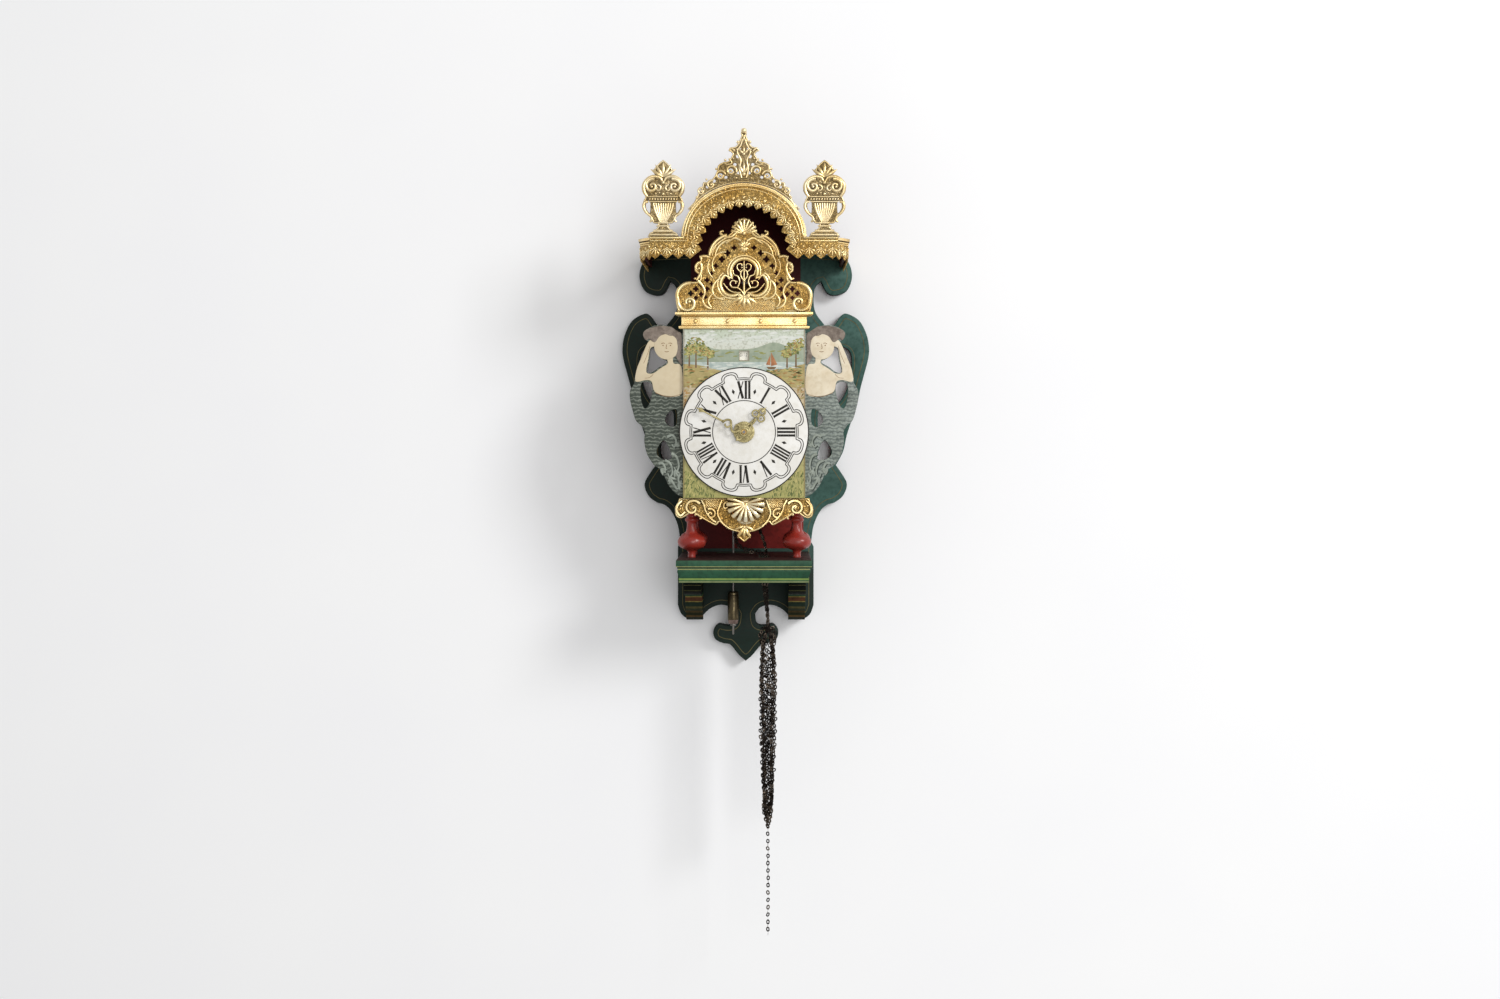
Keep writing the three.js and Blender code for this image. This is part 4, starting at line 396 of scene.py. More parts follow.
def plate(loops, thick, back, edge=0.3, rounds=2):
    """A flat piece in the plane of the dial, from closed loops in mm; inner loops are its holes"""
    data = bpy.data.curves.new("loops", "CURVE")
    data.dimensions = "2D"
    data.fill_mode = "BOTH"
    data.extrude = (thick / 2 - edge) * MM
    data.bevel_depth = edge * MM
    data.bevel_resolution = rounds
    data.offset = -edge * MM
    for loop in loops:
        spline = data.splines.new("POLY")
        spline.points.add(len(loop) - 1)
        for dot, p in zip(spline.points, loop):
            dot.co = (p[0] * MM, p[1] * MM, 0, 1)
        spline.use_cyclic_u = True
    mesh = to_mesh(data)
    mesh.transform(Matrix.Translation((0, (back - thick / 2) * MM, 0)) @ FACE)
    return mesh


def strands(lines, front, squash=0.6, closed=False, steps=0):
    """Raised rounded bands along lines of x, z and half width in mm, their middles on Y = front"""
    data = bpy.data.curves.new("strands", "CURVE")
    data.dimensions = "3D"
    data.bevel_depth = MM
    data.bevel_resolution = 1
    data.use_fill_caps = True
    for line in lines:
        dots = catmull(line, steps, closed) if steps else line
        spline = data.splines.new("POLY")
        spline.points.add(len(dots) - 1)
        for dot, p in zip(spline.points, dots):
            dot.co = (p[0] * MM, p[1] * MM, 0, 1)
            dot.radius = max(0.05, p[2])
        spline.use_cyclic_u = closed
    mesh = to_mesh(data)
    mesh.transform(Matrix.Translation((0, front * MM, 0)) @ FACE @ Matrix.Diagonal((1, 1, squash, 1)))
    return mesh


def bosses(dots, front, squash=0.6, across=10):
    """Low domes at x, z, radius in mm"""
    bm = bmesh.new()
    for x, z, r in dots:
        at = Matrix.Translation((x * MM, front * MM, z * MM)) @ FACE @ Matrix.Diagonal((1, 1, squash, 1))
        bmesh.ops.create_uvsphere(bm, u_segments=across, v_segments=max(4, across // 2), radius=r * MM,
                                  matrix=at)
    return done(bm)


def done(bm):
    """A mesh from the bmesh, which it frees"""
    mesh = bpy.data.meshes.new("part")
    bm.to_mesh(mesh)
    bm.free()
    return mesh


def spin(rows, x, y, z, steps=40, turn=None):
    """A turned piece about Z, or about another line after turn; rows of radius and height in mm"""
    bm = bmesh.new()
    last = None
    for r, h in rows:
        v = bm.verts.new((r * MM, 0, h * MM))
        if last:
            bm.edges.new((last, v))
        last = v
    bmesh.ops.spin(bm, geom=bm.verts[:] + bm.edges[:], cent=(0, 0, 0), axis=(0, 0, 1),
                   angle=2 * math.pi, steps=steps, use_merge=True, use_duplicate=False)
    bmesh.ops.remove_doubles(bm, verts=bm.verts[:], dist=1e-6)
    bmesh.ops.recalc_face_normals(bm, faces=bm.faces[:])
    move = Matrix.Translation((x * MM, y * MM, z * MM))
    bm.transform(move @ turn if turn else move)
    return done(bm)


def loft(rings):
    """Closed rings of x, y, z in mm, each drawn out from the one before"""
    bm = bmesh.new()
    made = bmesh.ops.create_circle(bm, segments=len(rings[0]), radius=1)["verts"]
    for v, p in zip(made, rings[0]):
        v.co = Vector(p) * MM
    edges = bm.edges[:]
    bm.faces.new(made)
    for ring in rings[1:]:
        grown = bmesh.ops.extrude_edge_only(bm, edges=edges)["geom"]
        new = [g for g in grown if isinstance(g, bmesh.types.BMVert)]
        edges = [g for g in grown if isinstance(g, bmesh.types.BMEdge) and all(v in new for v in g.verts)]
        for v, p in zip(new, ring):
            v.co = Vector(p) * MM
        made = new
    bm.faces.new(made)
    bmesh.ops.recalc_face_normals(bm, faces=bm.faces[:])
    return done(bm)


class Make:
    """Gathers parts into one piece with a material for each"""

    def __init__(self):
        self.bm = bmesh.new()

    def take(self, mesh, slot=0, at=None):
        """Adds a mesh in one of the materials, moved by at"""
        part = bmesh.new()
        part.from_mesh(mesh)
        bmesh.ops.remove_doubles(part, verts=part.verts[:], dist=2e-6)
        bmesh.ops.recalc_face_normals(part, faces=part.faces[:])
        if at is not None:
            part.transform(at)
        part.to_mesh(mesh)
        part.free()
        first = len(self.bm.faces)
        self.bm.from_mesh(mesh)
        self.bm.faces.ensure_lookup_table()
        for face in self.bm.faces[first:]:
            face.material_index = slot
            face.smooth = True
        bpy.data.meshes.remove(mesh)
        return self

    def piece(self, name, materials, body, nodes=(), slot=None, angle=40):
        """The finished piece, on its body and in the place of its nodes"""
        mesh = bpy.data.meshes.new(name)
        self.bm.to_mesh(mesh)
        self.bm.free()
        mesh.set_sharp_from_angle(angle=math.radians(angle))
        obj = bpy.data.objects.new(name, mesh)
        bpy.context.collection.objects.link(obj)
        for mat in materials:
            mesh.materials.append(mat)
        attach(obj, body)
        if nodes:
            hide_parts(*nodes)
        return obj


def both(lines):
    """Lines and their mirror images"""
    return lines + [flip(line) for line in lines]


def keep(node, mat, bevel):
    """A CAD node that stays, with a finer finish and softened edges"""
    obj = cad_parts[node]
    obj.data.materials.clear()
    obj.data.materials.append(mat)
    soften = obj.modifiers.new("soften", "BEVEL")
    soften.width = bevel * MM
    soften.segments = 2
    soften.limit_method = "ANGLE"
    soften.angle_limit = math.radians(40)
    soften.harden_normals = False


# Planes across the clock in mm in front of the wall: the backs of what lies on them
BOARD_FACE = -18.3
PANEL_BACK = -165.7
DIAL_BACK = -171.0
DIAL_Y = -175.0
RING_BACK = -175.3
HOOD_FRONT = -191.7
FRONT_BOARD_BACK = -192.0
CREST_BACK = -192.6
URN_BACK = -192.8
FRET_BACK = -196.3

# Camera: level and square on, with the photograph's axis at one of its pixels
FRAME_WIDE, FRAME_HIGH = 1500, 999
AXIS_ACROSS, AXIS_DOWN = 770, 440
PIXEL_MM = 1.35
AWAY = 2300
camera_data = bpy.data.cameras.new("camera")
camera = bpy.data.objects.new("camera", camera_data)
bpy.context.collection.objects.link(camera)
camera.location = (35 * MM, (DIAL_Y - AWAY) * MM, -10.8 * MM)
camera.rotation_euler = (math.pi / 2, 0, 0)
camera_data.sensor_width = 36
camera_data.lens = camera_data.sensor_width * AWAY / (FRAME_WIDE * PIXEL_MM)
camera_data.shift_x = (FRAME_WIDE / 2 - AXIS_ACROSS) / FRAME_WIDE
camera_data.shift_y = (AXIS_DOWN - FRAME_HIGH / 2) / FRAME_WIDE
camera_data.clip_start = 0.05
bpy.context.scene.camera = camera

# Chains: where the strands hang, the holes they pass, and the hank's middle and top
GOING_Y, STRIKE_Y = -130.0, -94.5
HANK_X, HOLE_X, HANK_Y = 32.0, 27.0, -112.25
HANK_TOP, SHELF_TOP_Z, SHELF_FOOT = -272.0, -171.5, -181.0
CHAIN_WIDE = 5.0
PITCH = 5.7
LINK_LONG, WIRE = 6.8, 0.8


def chain_strand(y, side):
    """The strand's route in mm: up from the hank, over the sprocket and down again"""
    low, drop, apart, wrap = HANK_TOP + 0.3, 10.0, 3.0, 14.4
    sprocket, bend = -34, -107
    outer, inner = y + side * apart, y - side * apart
    meet = (HANK_Y + side * 2 * PITCH, HANK_Y + side * PITCH)
    eighths = [math.pi * k / 4 for k in range(5)]
    over = [(-wrap * math.cos(a), y, sprocket + wrap * math.sin(a)) for a in eighths]
    return [
        (HANK_X, meet[0], low), (HANK_X, meet[0], low + drop),
        (HOLE_X - apart, outer, SHELF_FOOT - drop), (HOLE_X - apart, outer, SHELF_FOOT + 4.75),
        (HOLE_X - apart, outer, SHELF_TOP_Z + apart), (apart, y, SHELF_TOP_Z + 8),
        (-10, y, bend - 47.93), (-wrap, y, bend - drop), (-wrap, y, bend + 15), *over, (wrap, y, bend + 15),
        (wrap, y, bend - drop), (HOLE_X, y, bend - 44.73), (HOLE_X + apart, inner, SHELF_TOP_Z + 5),
        (HOLE_X + apart, inner, SHELF_FOOT + 4.75), (HOLE_X + apart, inner, SHELF_FOOT - drop),
        (HANK_X, meet[1], low + drop), (HANK_X, meet[1], low)]


def centripetal(points, steps):
    """The same line that the solid follows"""
    pts = [Vector(p) for p in points]
    first = pts[0] + (pts[0] - pts[1])
    last = pts[-1] + (pts[-1] - pts[-2])
    pts = [first] + pts + [last]
    out = []
    for i in range(1, len(pts) - 2):
        p0, p1, p2, p3 = pts[i - 1:i + 3]
        d0, d1, d2 = (max((b - a).length ** 0.5, 1e-4) for a, b in ((p0, p1), (p1, p2), (p2, p3)))
        m1 = ((p1 - p0) / d0 - (p2 - p0) / (d0 + d1) + (p2 - p1) / d1) * d1
        m2 = ((p2 - p1) / d1 - (p3 - p1) / (d1 + d2) + (p3 - p2) / d2) * d1
        for s in range(steps):
            t = s / steps
            out.append(p1 * (2 * t ** 3 - 3 * t * t + 1) + m1 * (t ** 3 - 2 * t * t + t)
                       + p2 * (3 * t * t - 2 * t ** 3) + m2 * (t ** 3 - t * t))
    return out + [pts[-2]]


def four_loops(steps, out_from_middle, top, fall):
    """Four long loops of the hank side by side; functions say how far out and down each one goes"""
    route = []
    for i in range(4 * steps + 1):
        turn = i / steps
        loop = min(3, int(turn))
        t = turn - loop
        a = t * 2 * math.pi
        low = (1 - math.cos(a)) / 2
        over = (abs(t - 0.5) - 0.38) / 0.24 if abs(t - 0.5) > 0.38 else 0
        y = (loop + 0.5 + math.copysign(1, t - 0.5) * over - 2) * PITCH
        route.append(Vector((HANK_X + out_from_middle(loop, a, low), HANK_Y + y,
                             HANK_TOP + top - fall(loop) * low)))
    return route


def outer_width(loop, a, low):
    """The outer loops: narrow at both ends and spread by their own share between"""
    ease = math.sin(math.pi * min(1, max(0, (low - 0.2) / 0.7)))
    half = (12.5 + (6.5 - 12.5) * low) * (1 + ((1, 0.42, 0.82, 0.62)[loop] - 1) * ease)
    return half * math.sin(a)


def inner_width(loop, a, low):
    """The inner loops: they bulge at their tops, where the bundle is as wide as it gets"""
    top, foot = ((11.0, 6.9), (3.2, 0.9), (7.2, 4.9), (12.0, 2.5))[loop]
    ease = min(1, low / 0.2)
    ease = ease * ease * (3 - 2 * ease)
    half = (top + (foot - top) * ease) * (1 - 0.2 * low)
    return math.copysign(min(1, abs(math.sin(a)) * 3.2) ** 0.8, math.sin(a)) * half


def along(route, step):
    """Even points of a route, with the direction at each"""
    out, left = [], 0.0
    for a, b in zip(route, route[1:]):
        run = (b - a).length
        while left <= run and run > 0:
            out.append((a.lerp(b, left / run), (b - a).normalized()))
            left += step
        left -= run
    return out


def link_mesh(long, wide, wire):
    """One oval link lying in XZ, its length along Z"""
    bm = bmesh.new()
    middle = ((wide / 2 - wire) * MM, 0, 0)
    ring = bmesh.ops.create_circle(bm, segments=4, radius=wire * MM,
                                   matrix=Matrix.Translation(middle))["verts"]
    bmesh.ops.rotate(bm, verts=ring, cent=middle, matrix=Matrix.Rotation(math.pi / 2, 3, "X"))
    bmesh.ops.spin(bm, geom=bm.verts[:] + bm.edges[:], cent=(0, 0, 0), axis=(0, 1, 0),
                   angle=2 * math.pi, steps=10, use_merge=True, use_duplicate=False)
    bmesh.ops.remove_doubles(bm, verts=bm.verts[:], dist=1e-7)
    bmesh.ops.recalc_face_normals(bm, faces=bm.faces[:])
    for v in bm.verts:
        away = 1 if v.co.z > 0 else -1
        v.co.z += away * (long - wide) / 2 * MM * min(1.0, abs(v.co.z) / (0.25 * wide * MM))
    return done(bm)


LINK = link_mesh(LINK_LONG, CHAIN_WIDE, WIRE)
LINK_FACES = len(LINK.polygons)


def chain(name, route, node, step=4.6, jitter=0.3, tilt=0.12):
    """Oval links threaded along a route, every second one turned a quarter"""
    bm = bmesh.new()
    side = Vector((1, 0, 0))
    for i, (at, way) in enumerate(along(route, step)):
        side = side - way * side.dot(way)
        side = side.normalized() if side.length > 1e-3 else way.orthogonal().normalized()
        right = Matrix.Rotation((i % 2) * math.pi / 2 + draw.uniform(-0.25, 0.25), 3, way) @ side
        basis = Matrix((right, way.cross(right), way)).transposed().to_4x4()
        for axis in "XY":
            basis = basis @ Matrix.Rotation(draw.uniform(-tilt, tilt), 4, axis)
        wob = Vector((draw.uniform(-jitter, jitter), draw.uniform(-jitter, jitter), 0))
        # Seven links in ten take the dark rusted tone; the rest take the pale one, a painted glint
        first, tone = len(bm.verts), int(draw.random() < 0.7)
        bm.from_mesh(LINK)
        bm.verts.ensure_lookup_table()
        move = Matrix.Translation((at + wob) * MM) @ basis
        for v in bm.verts[first:]:
            v.co = move @ v.co
        bm.faces.ensure_lookup_table()
        for face in bm.faces[-LINK_FACES:]:
            face.smooth = True
            face.material_index = tone
    mesh = bpy.data.meshes.new(name)
    bm.to_mesh(mesh)
    bm.free()
    obj = bpy.data.objects.new(name, mesh)
    bpy.context.collection.objects.link(obj)
    mesh.materials.append(CHAIN)
    mesh.materials.append(CHAIN_DARK)
    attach(obj, "clock_body")
    if node:
        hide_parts(node)


for label, y, side in (("going", GOING_Y, -1), ("strike", STRIKE_Y, 1)):
    chain(f"{label}_chain_links", centripetal(chain_strand(y, side), 6), f"chain_{label}")
HANK_LINE = four_loops(24, outer_width, -2.5, lambda loop: 270)
chain("hank_chain_links", HANK_LINE, "chain_hank", 4.4, 1.2, 0.5)
INNER_LINE = four_loops(32, inner_width, 2, lambda loop: 264 - 5 * (loop % 3))
chain("hank_inner_links", INNER_LINE, None, 4.8, 1.1, 0.5)
TAIL_Y = HANK_Y + PITCH / 2
TAIL_TOP = HANK_TOP - 5 - 270 - 0.3
TAIL_LINE = centripetal([(HANK_X, TAIL_Y, TAIL_TOP), (HANK_X + 0.3, TAIL_Y, TAIL_TOP - 74),
                         (HANK_X, TAIL_Y, TAIL_TOP - 148)], 10)
chain("tail_chain_links", TAIL_LINE, "chain_tail", 5.1, 0.3, 0.3)

# Backboard, brackets and shelf; outlines are shares of the half width and of the height from the hands' arbor
BOARD_SHARES = [
    (0, 0.982), (0.174, 0.966), (0.322, 0.92), (0.42, 0.852), (0.455, 0.769, 1), (0.8, 0.76, 1), (0.85, 0.71),
    (0.86, 0.66), (0.82, 0.61), (0.73, 0.59), (0.66, 0.6), (0.61, 0.65, 1), (0.56, 0.62), (0.55, 0.56),
    (0.57, 0.51), (0.64, 0.46), (0.67, 0.43, 1), (0.73, 0.47), (0.77, 0.5), (0.82, 0.51), (0.92, 0.48),
    (0.98, 0.42), (1, 0.36), (0.99, 0.31), (0.96, 0.25), (0.93, 0.19), (0.91, 0.14), (0.87, 0.07),
    (0.82, -0.01), (0.79, -0.08), (0.73, -0.14, 1), (0.77, -0.17), (0.82, -0.22), (0.79, -0.27),
    (0.72, -0.3), (0.66, -0.31), (0.6, -0.34), (0.55, -0.4), (0.53, -0.47, 1), (0.55, -0.49, 1),
    (0.55, -0.74, 1), (0.52, -0.78), (0.46, -0.8), (0.37, -0.8, 1), (0.3, -0.76), (0.21, -0.74),
    (0.12, -0.75), (0.075, -0.78, 1), (0.09, -0.82), (0.15, -0.828), (0.22, -0.822), (0.262, -0.85),
    (0.25, -0.885), (0.19, -0.903), (0.13, -0.908, 1), (0.1, -0.925), (0.055, -0.955), (0, -0.98)]
BOARD_HOLE_SHARES = [
    [(0.61, 0.34), (0.7, 0.37), (0.82, 0.36), (0.86, 0.31), (0.83, 0.2), (0.76, 0.13), (0.69, 0.12),
     (0.64, 0.2)],
    [(0.59, 0.09), (0.65, 0.08), (0.67, 0.04), (0.64, 0), (0.59, 0.01)],
    [(0.62, -0.04), (0.68, -0.04), (0.69, -0.09), (0.65, -0.13), (0.58, -0.11)]]
BOARD_HALF, BOARD_REACH = 178.0, 336.0


def inset(loop, by):
    """A loop moved inward by a distance in mm; points that would cross are dropped"""
    area = sum(a[0] * b[1] - b[0] * a[1] for a, b in zip(loop, loop[1:] + loop[:1]))
    sign = 1 if area > 0 else -1
    count, out = len(loop), []
    for i in range(count):
        a, p, b = loop[i - 1], loop[i], loop[(i + 1) % count]
        way = Vector((b[0] - a[0], b[1] - a[1]))
        if way.length < 1e-6:
            continue
        way.normalize()
        q = (p[0] - way.y * by * sign, p[1] + way.x * by * sign)
        near = min(math.hypot(q[0] - c[0], q[1] - c[1]) for c in loop)
        if near > abs(by) * 0.93:
            out.append(q)
    return out


def dense(loop, step=3.0):
    """A closed loop with a point at least every few mm"""
    out = []
    for a, b in zip(loop, loop[1:] + loop[:1]):
        n = max(1, int(math.hypot(b[0] - a[0], b[1] - a[1]) / step))
        out += [(a[0] + (b[0] - a[0]) * k / n, a[1] + (b[1] - a[1]) * k / n) for k in range(n)]
    return out


board_half = soft(place(BOARD_SHARES, BOARD_HALF, BOARD_REACH))
board_loop = mirrored(board_half)
board_holes = [catmull(place(h, BOARD_HALF, BOARD_REACH), 5, True) for h in BOARD_HOLE_SHARES]
board_holes += [flip(h) for h in board_holes]
maker = Make()
maker.take(plate([board_loop] + board_holes, 18, 0, 1.0), 0)
for face in maker.bm.faces:
    if face.normal.y > -0.6:
        face.material_index = 1
gold_lines = [[(x, z, 0.5) for x, z in inset(dense(board_loop), 7.0)]]
gold_lines += [[(x, z, 0.42) for x, z in inset(dense(h), -4.0)] for h in board_holes]
maker.take(strands(gold_lines, -18, 0.35, closed=True), 2)
field_arch = [(78.5 * math.cos(math.pi * k / 40), 258 + 68.5 * math.sin(math.pi * k / 40)) for k in range(41)]
field = [(-83, -167), (83, -167), (83, 150), (79, 205), (79, 256)] + field_arch
maker.take(plate([field + [(-79, 256), (-79, 205), (-83, 150)]], 0.5, -17.9, 0.15, 1), 3)
maker.piece("backboard_painted", [BOARD_GREEN, BOARD_EDGE, GOLD_LINE, MAROON], "clock_body", ["backboard"],
            "painted_board")

BRACKET_SHARES = [(0, 1, 1), (1, 1, 1), (1, 0.86, 1), (0.9, 0.84, 1), (0.84, 0.68), (0.66, 0.6),
                  (0.5, 0.62, 1), (0.44, 0.42), (0.34, 0.26), (0.22, 0.2, 1), (0.2, 0.08), (0.1, 0),
                  (0, 0, 1)]
BRACKET_THICK, BRACKET_X, BRACKET_FOOT = 24, 73, -268.6
bracket_line = soft(place(BRACKET_SHARES, 96, 66))[:-1]
for side, s in (("left", -1), ("right", 1)):
    turn = Matrix(((0, 0, 1, 0), (-1, 0, 0, 0), (0, 1, 0, 0), (0, 0, 0, 1)))
    foot = Matrix.Translation((s * BRACKET_X * MM, BOARD_FACE * MM, BRACKET_FOOT * MM))
    lay = foot @ turn @ FACE.inverted() @ Matrix.Translation((0, BRACKET_THICK / 2 * MM, 0))
    Make().take(plate([bracket_line], BRACKET_THICK, 0, 0.6), 0, lay).piece(
        f"bracket_{side}_painted", [BRACKET_PAINT], "clock_body", [f"bracket_{side}"], "painted_board")


def level_plate(loops, thick, foot, edge=0.5):
    """A level slab from loops of x and y in mm"""
    mesh = plate(loops, thick, 0, edge)
    mesh.transform(Matrix.Translation((0, 0, (foot + thick / 2) * MM)) @ FACE.inverted()
                   @ Matrix.Translation((0, thick / 2 * MM, 0)))
    return mesh


maker = Make()
slab = [(-91, -196), (91, -196), (91, BOARD_FACE), (-91, BOARD_FACE)]
pendulum_slot = [(-42.5, -47.3), (7.5, -47.3), (7.5, -33.3), (-42.5, -33.3)]
chain_holes = [round_loop(HOLE_X, y, 9, 24) for y in (GOING_Y, STRIKE_Y)]
maker.take(level_plate([slab, pendulum_slot, *chain_holes], SHELF_TOP_Z - SHELF_FOOT, SHELF_FOOT, 1.2))
for face in maker.bm.faces:
    if abs(face.normal.z) > 0.7:
        face.material_index = 1
rail = bpy.data.curves.new("rail", "CURVE")
rail.dimensions = "3D"
rail.bevel_depth = 0.45 * MM
rail.bevel_resolution = 1
rail.use_fill_caps = True
spline = rail.splines.new("POLY")
spline.points.add(3)
RAIL_HALF, RAIL_FRONT, RAIL_BACK, RAIL_Z = 91.01, -195.9, -18.58, -180.4
corners = [(-RAIL_HALF, RAIL_BACK), (-RAIL_HALF, RAIL_FRONT), (RAIL_HALF, RAIL_FRONT), (RAIL_HALF, RAIL_BACK)]
for dot, (x, y) in zip(spline.points, corners):
    dot.co = (x * MM, y * MM, RAIL_Z * MM, 1)
maker.take(to_mesh(rail), 2)
maker.piece("shelf_painted", [SHELF_GREEN, SHELF_TOP, PALE_LINE], "clock_body", ["stool_shelf"],
            "painted_board")

# Rows of the moulding: how far out and height above its foot
MOULD_ROWS = [(2.6, 20.7), (2.6, 19.5), (1.7, 19.1), (1.5, 18.8), (1.5, 17.5), (2.2, 17.1), (2.4, 16),
              (2.2, 14.6), (1.8, 13), (1.2, 11), (0.6, 9), (0.0, 7.4), (-0.4, 6.4), (0.1, 6.1), (0.4, 5.7),
              (0.4, 3.5), (0.1, 3.2), (0.1, 1.9), (0.3, 1.7), (0.3, 0.9), (0.1, 0.7), (0.0, 0.0)]


def u_frame(rows, half, front, back, wall, foot, top):
    """A moulding that runs round three sides, open at the back, mitred at the front corners"""
    profile = [(out, foot + high) for out, high in rows] + [(-wall, foot), (-wall, top)]
    stations = []
    for sx, deep in ((-1, 0), (-1, 1), (1, 1), (1, 0)):
        stations.append([(sx * (half + out), (front - out) if deep else back, z) for out, z in profile])
    return loft(stations)


maker = Make()
MOULD_HALF, MOULD_FRONT, MOULD_WALL, MOULD_FOOT = 87, -190.8, 15, -202.3
maker.take(u_frame(MOULD_ROWS, MOULD_HALF, MOULD_FRONT, BOARD_FACE, MOULD_WALL, MOULD_FOOT, SHELF_FOOT - 0.6))
for face in maker.bm.faces:
    mid = face.calc_center_median()
    high = mid.z / MM - MOULD_FOOT
    outside = abs(mid.x) > 80 * MM or mid.y < -180 * MM
    if outside and 3.4 < high < 6.0:
        face.material_index = 2
    elif outside and (17.4 < high < 18.9 or 0.8 < high < 1.75):
        face.material_index = 1
maker.piece("shelf_moulding_painted", [SHELF_GREEN, PALE_LINE, LIME_LINE], "clock_body", ["shelf_moulding"],
            "painted_board", 30)

# Case, feet and posts; rows are a radius and a height above the foot of the turned piece
FOOT_ROWS = [(0, 0), (5.4, 0), (5.5, 0.5), (5.1, 2.5), (5.1, 6.4), (5.8, 8.6), (7.0, 10.0), (11.4, 11.6),
             (15.6, 13.6), (18.4, 16.6), (19.5, 20.6), (19.1, 24), (17.2, 27.6), (13.6, 30.4), (9.8, 32.6),
             (9.0, 33.6), (7.6, 36.6), (6.8, 40.4), (6.6, 45.2), (7.0, 48.4), (8.8, 49.6), (9.4, 51),
             (9.2, 52.6), (7.4, 54.4), (6.8, 56), (7.6, 57.6), (9.2, 58.8), (9.4, 60.4), (9.0, 61.4),
             (9.3, 63.9), (0, 63.9)]
POST_ROWS = [(0, 0), (7, 0), (7, 23), (6.2, 24.5), (4.4, 26), (4.2, 28), (4.2, 105), (5.2, 110), (6, 117),
             (5.2, 124), (4.2, 129), (4.2, 206), (4.4, 208), (6.2, 209.8), (7, 211.4), (7, 234.4), (0, 234.4)]
FEET_AT, POSTS_AT = -171.2, -91.7
for side, s in (("left", -1), ("right", 1)):
    for end_name, foot_y, post_y in (("front", -144.4, -157.4), ("back", -83, -70)):
        Make().take(spin(FOOT_ROWS, s * 72, foot_y, FEET_AT, 40)).piece(
            f"turned_foot_{end_name}_{side}", [RED_TURNED], "clock_body", [f"foot_{end_name}_{side}"],
            "red_paint", 50)
        Make().take(spin(POST_ROWS, s * 70, post_y, POSTS_AT, 24)).piece(
            f"turned_post_{end_name}_{side}", [STEEL], "clock_body", [f"post_{end_name}_{side}"], "iron", 35)

# The case boards and the works keep the nodes' own forms: each finish, its softened edge in mm, what has it
for finish, soften_mm, names in (
        (CASE_PAINT, 0.8, "case_floor case_top"),
        (CASE_PAINT, 0.5, "side_door_left side_door_right"),
        (STEEL, 0.3, "front_bar middle_bar back_bar hammer pendulum_cock verge bell_post"),
        (IRON, 0.2, "going_great_wheel contrate_wheel crown_wheel strike_great_wheel strike_second_wheel"),
        (BRASS, 0.2, "fly minute_wheel step_wheel hour_wheel count_wheel")):
    for node in names.split():
        keep(node, finish, soften_mm)

BELL_OUT = [(38, 0), (36.6, 1.6), (35.6, 5), (34.2, 10), (32.6, 15.5), (30, 21), (26, 26.4), (20, 30.4),
            (14, 32.6), (8, 33.5), (2.2, 33.8)]
BELL_IN = [(2.2, 32), (8, 31.7), (13.6, 30.8), (19, 28.8), (24.6, 25), (28.4, 20), (30.8, 15), (32.4, 10),
           (33.8, 5), (34.8, 1.6), (36.2, 0)]
Make().take(spin(BELL_OUT + BELL_IN + [BELL_OUT[0]], 0, -78.9, 174, 48)).piece(
    "bell_turned", [BRASS], "clock_body", ["bell"], "brass", 50)

BOB_X, BOB_Y = -17.5, -40.3
rod_rows = [(0, 0), (1.0, 0.4), (1.5, 1.6), (1.5, 12.4), (4.2, 13), (4.4, 13.6), (4.4, 15), (4.2, 15.6),
            (1.5, 15.9), (1.5, 373.6), (0, 373.6)]
eye = plate([round_loop(BOB_X, 84, 4, 24), round_loop(BOB_X, 84, 1.55, 16)], 4, BOB_Y + 2, 0.4)
Make().take(spin(rod_rows, BOB_X, BOB_Y, -289, 12)).take(eye).piece(
    "pendulum_rod_drawn", [STEEL], "pendulum", ["pendulum_rod"], "iron", 40)
bob_rows = [(1.8, 0), (6.4, 0), (7.0, 0.5), (7.4, 1.4), (7.4, 4), (7.9, 4.6), (8, 5.6), (8, 40.4),
            (7.7, 41.2), (7.4, 42), (7.6, 43), (7.2, 44.8), (6.4, 46), (1.8, 46), (1.8, 0)]
maker = Make()
maker.take(spin(bob_rows, BOB_X, BOB_Y, -273, 32))
for face in maker.bm.faces:
    if face.calc_center_median().z < -264.5 * MM:
        face.material_index = 1
maker.piece("pendulum_bob_turned", [BOB_BRASS, BOB_END], "pendulum", ["pendulum_bob"], "brass", 40)

# Hood


def half_ring(half, rise, foot, steps=48):
    """The upper half of an oval, from right to left"""
    return [(half * math.cos(math.pi * i / steps), foot + rise * math.sin(math.pi * i / steps))
            for i in range(steps + 1)]


ARCH_HALF, ARCH_RISE, ARCH_FOOT, ARCH_THICK = 84, 74, 259, 6
outer_arch = half_ring(ARCH_HALF, ARCH_RISE, ARCH_FOOT)
inner_arch = half_ring(ARCH_HALF - ARCH_THICK, ARCH_RISE - ARCH_THICK, ARCH_FOOT)
maker = Make()
maker.take(plate([outer_arch + inner_arch[::-1]], BOARD_FACE - HOOD_FRONT, BOARD_FACE, 0.5))
HALF_FRONT, HALF_BACK = 126, 143
CORNER_Y = HOOD_FRONT + 22
CANT = math.atan((HALF_BACK - HALF_FRONT) / (CORNER_Y - HOOD_FRONT))


def side_line(inset_by, front, back):
    """The hood's side in plan, inset from its edge: a short canted run, then straight back"""
    return [(HALF_FRONT - inset_by / math.cos(CANT) + (front - HOOD_FRONT) * math.tan(CANT), front),
            (HALF_BACK - inset_by, CORNER_Y + inset_by * math.tan(CANT / 2)), (HALF_BACK - inset_by, back)]


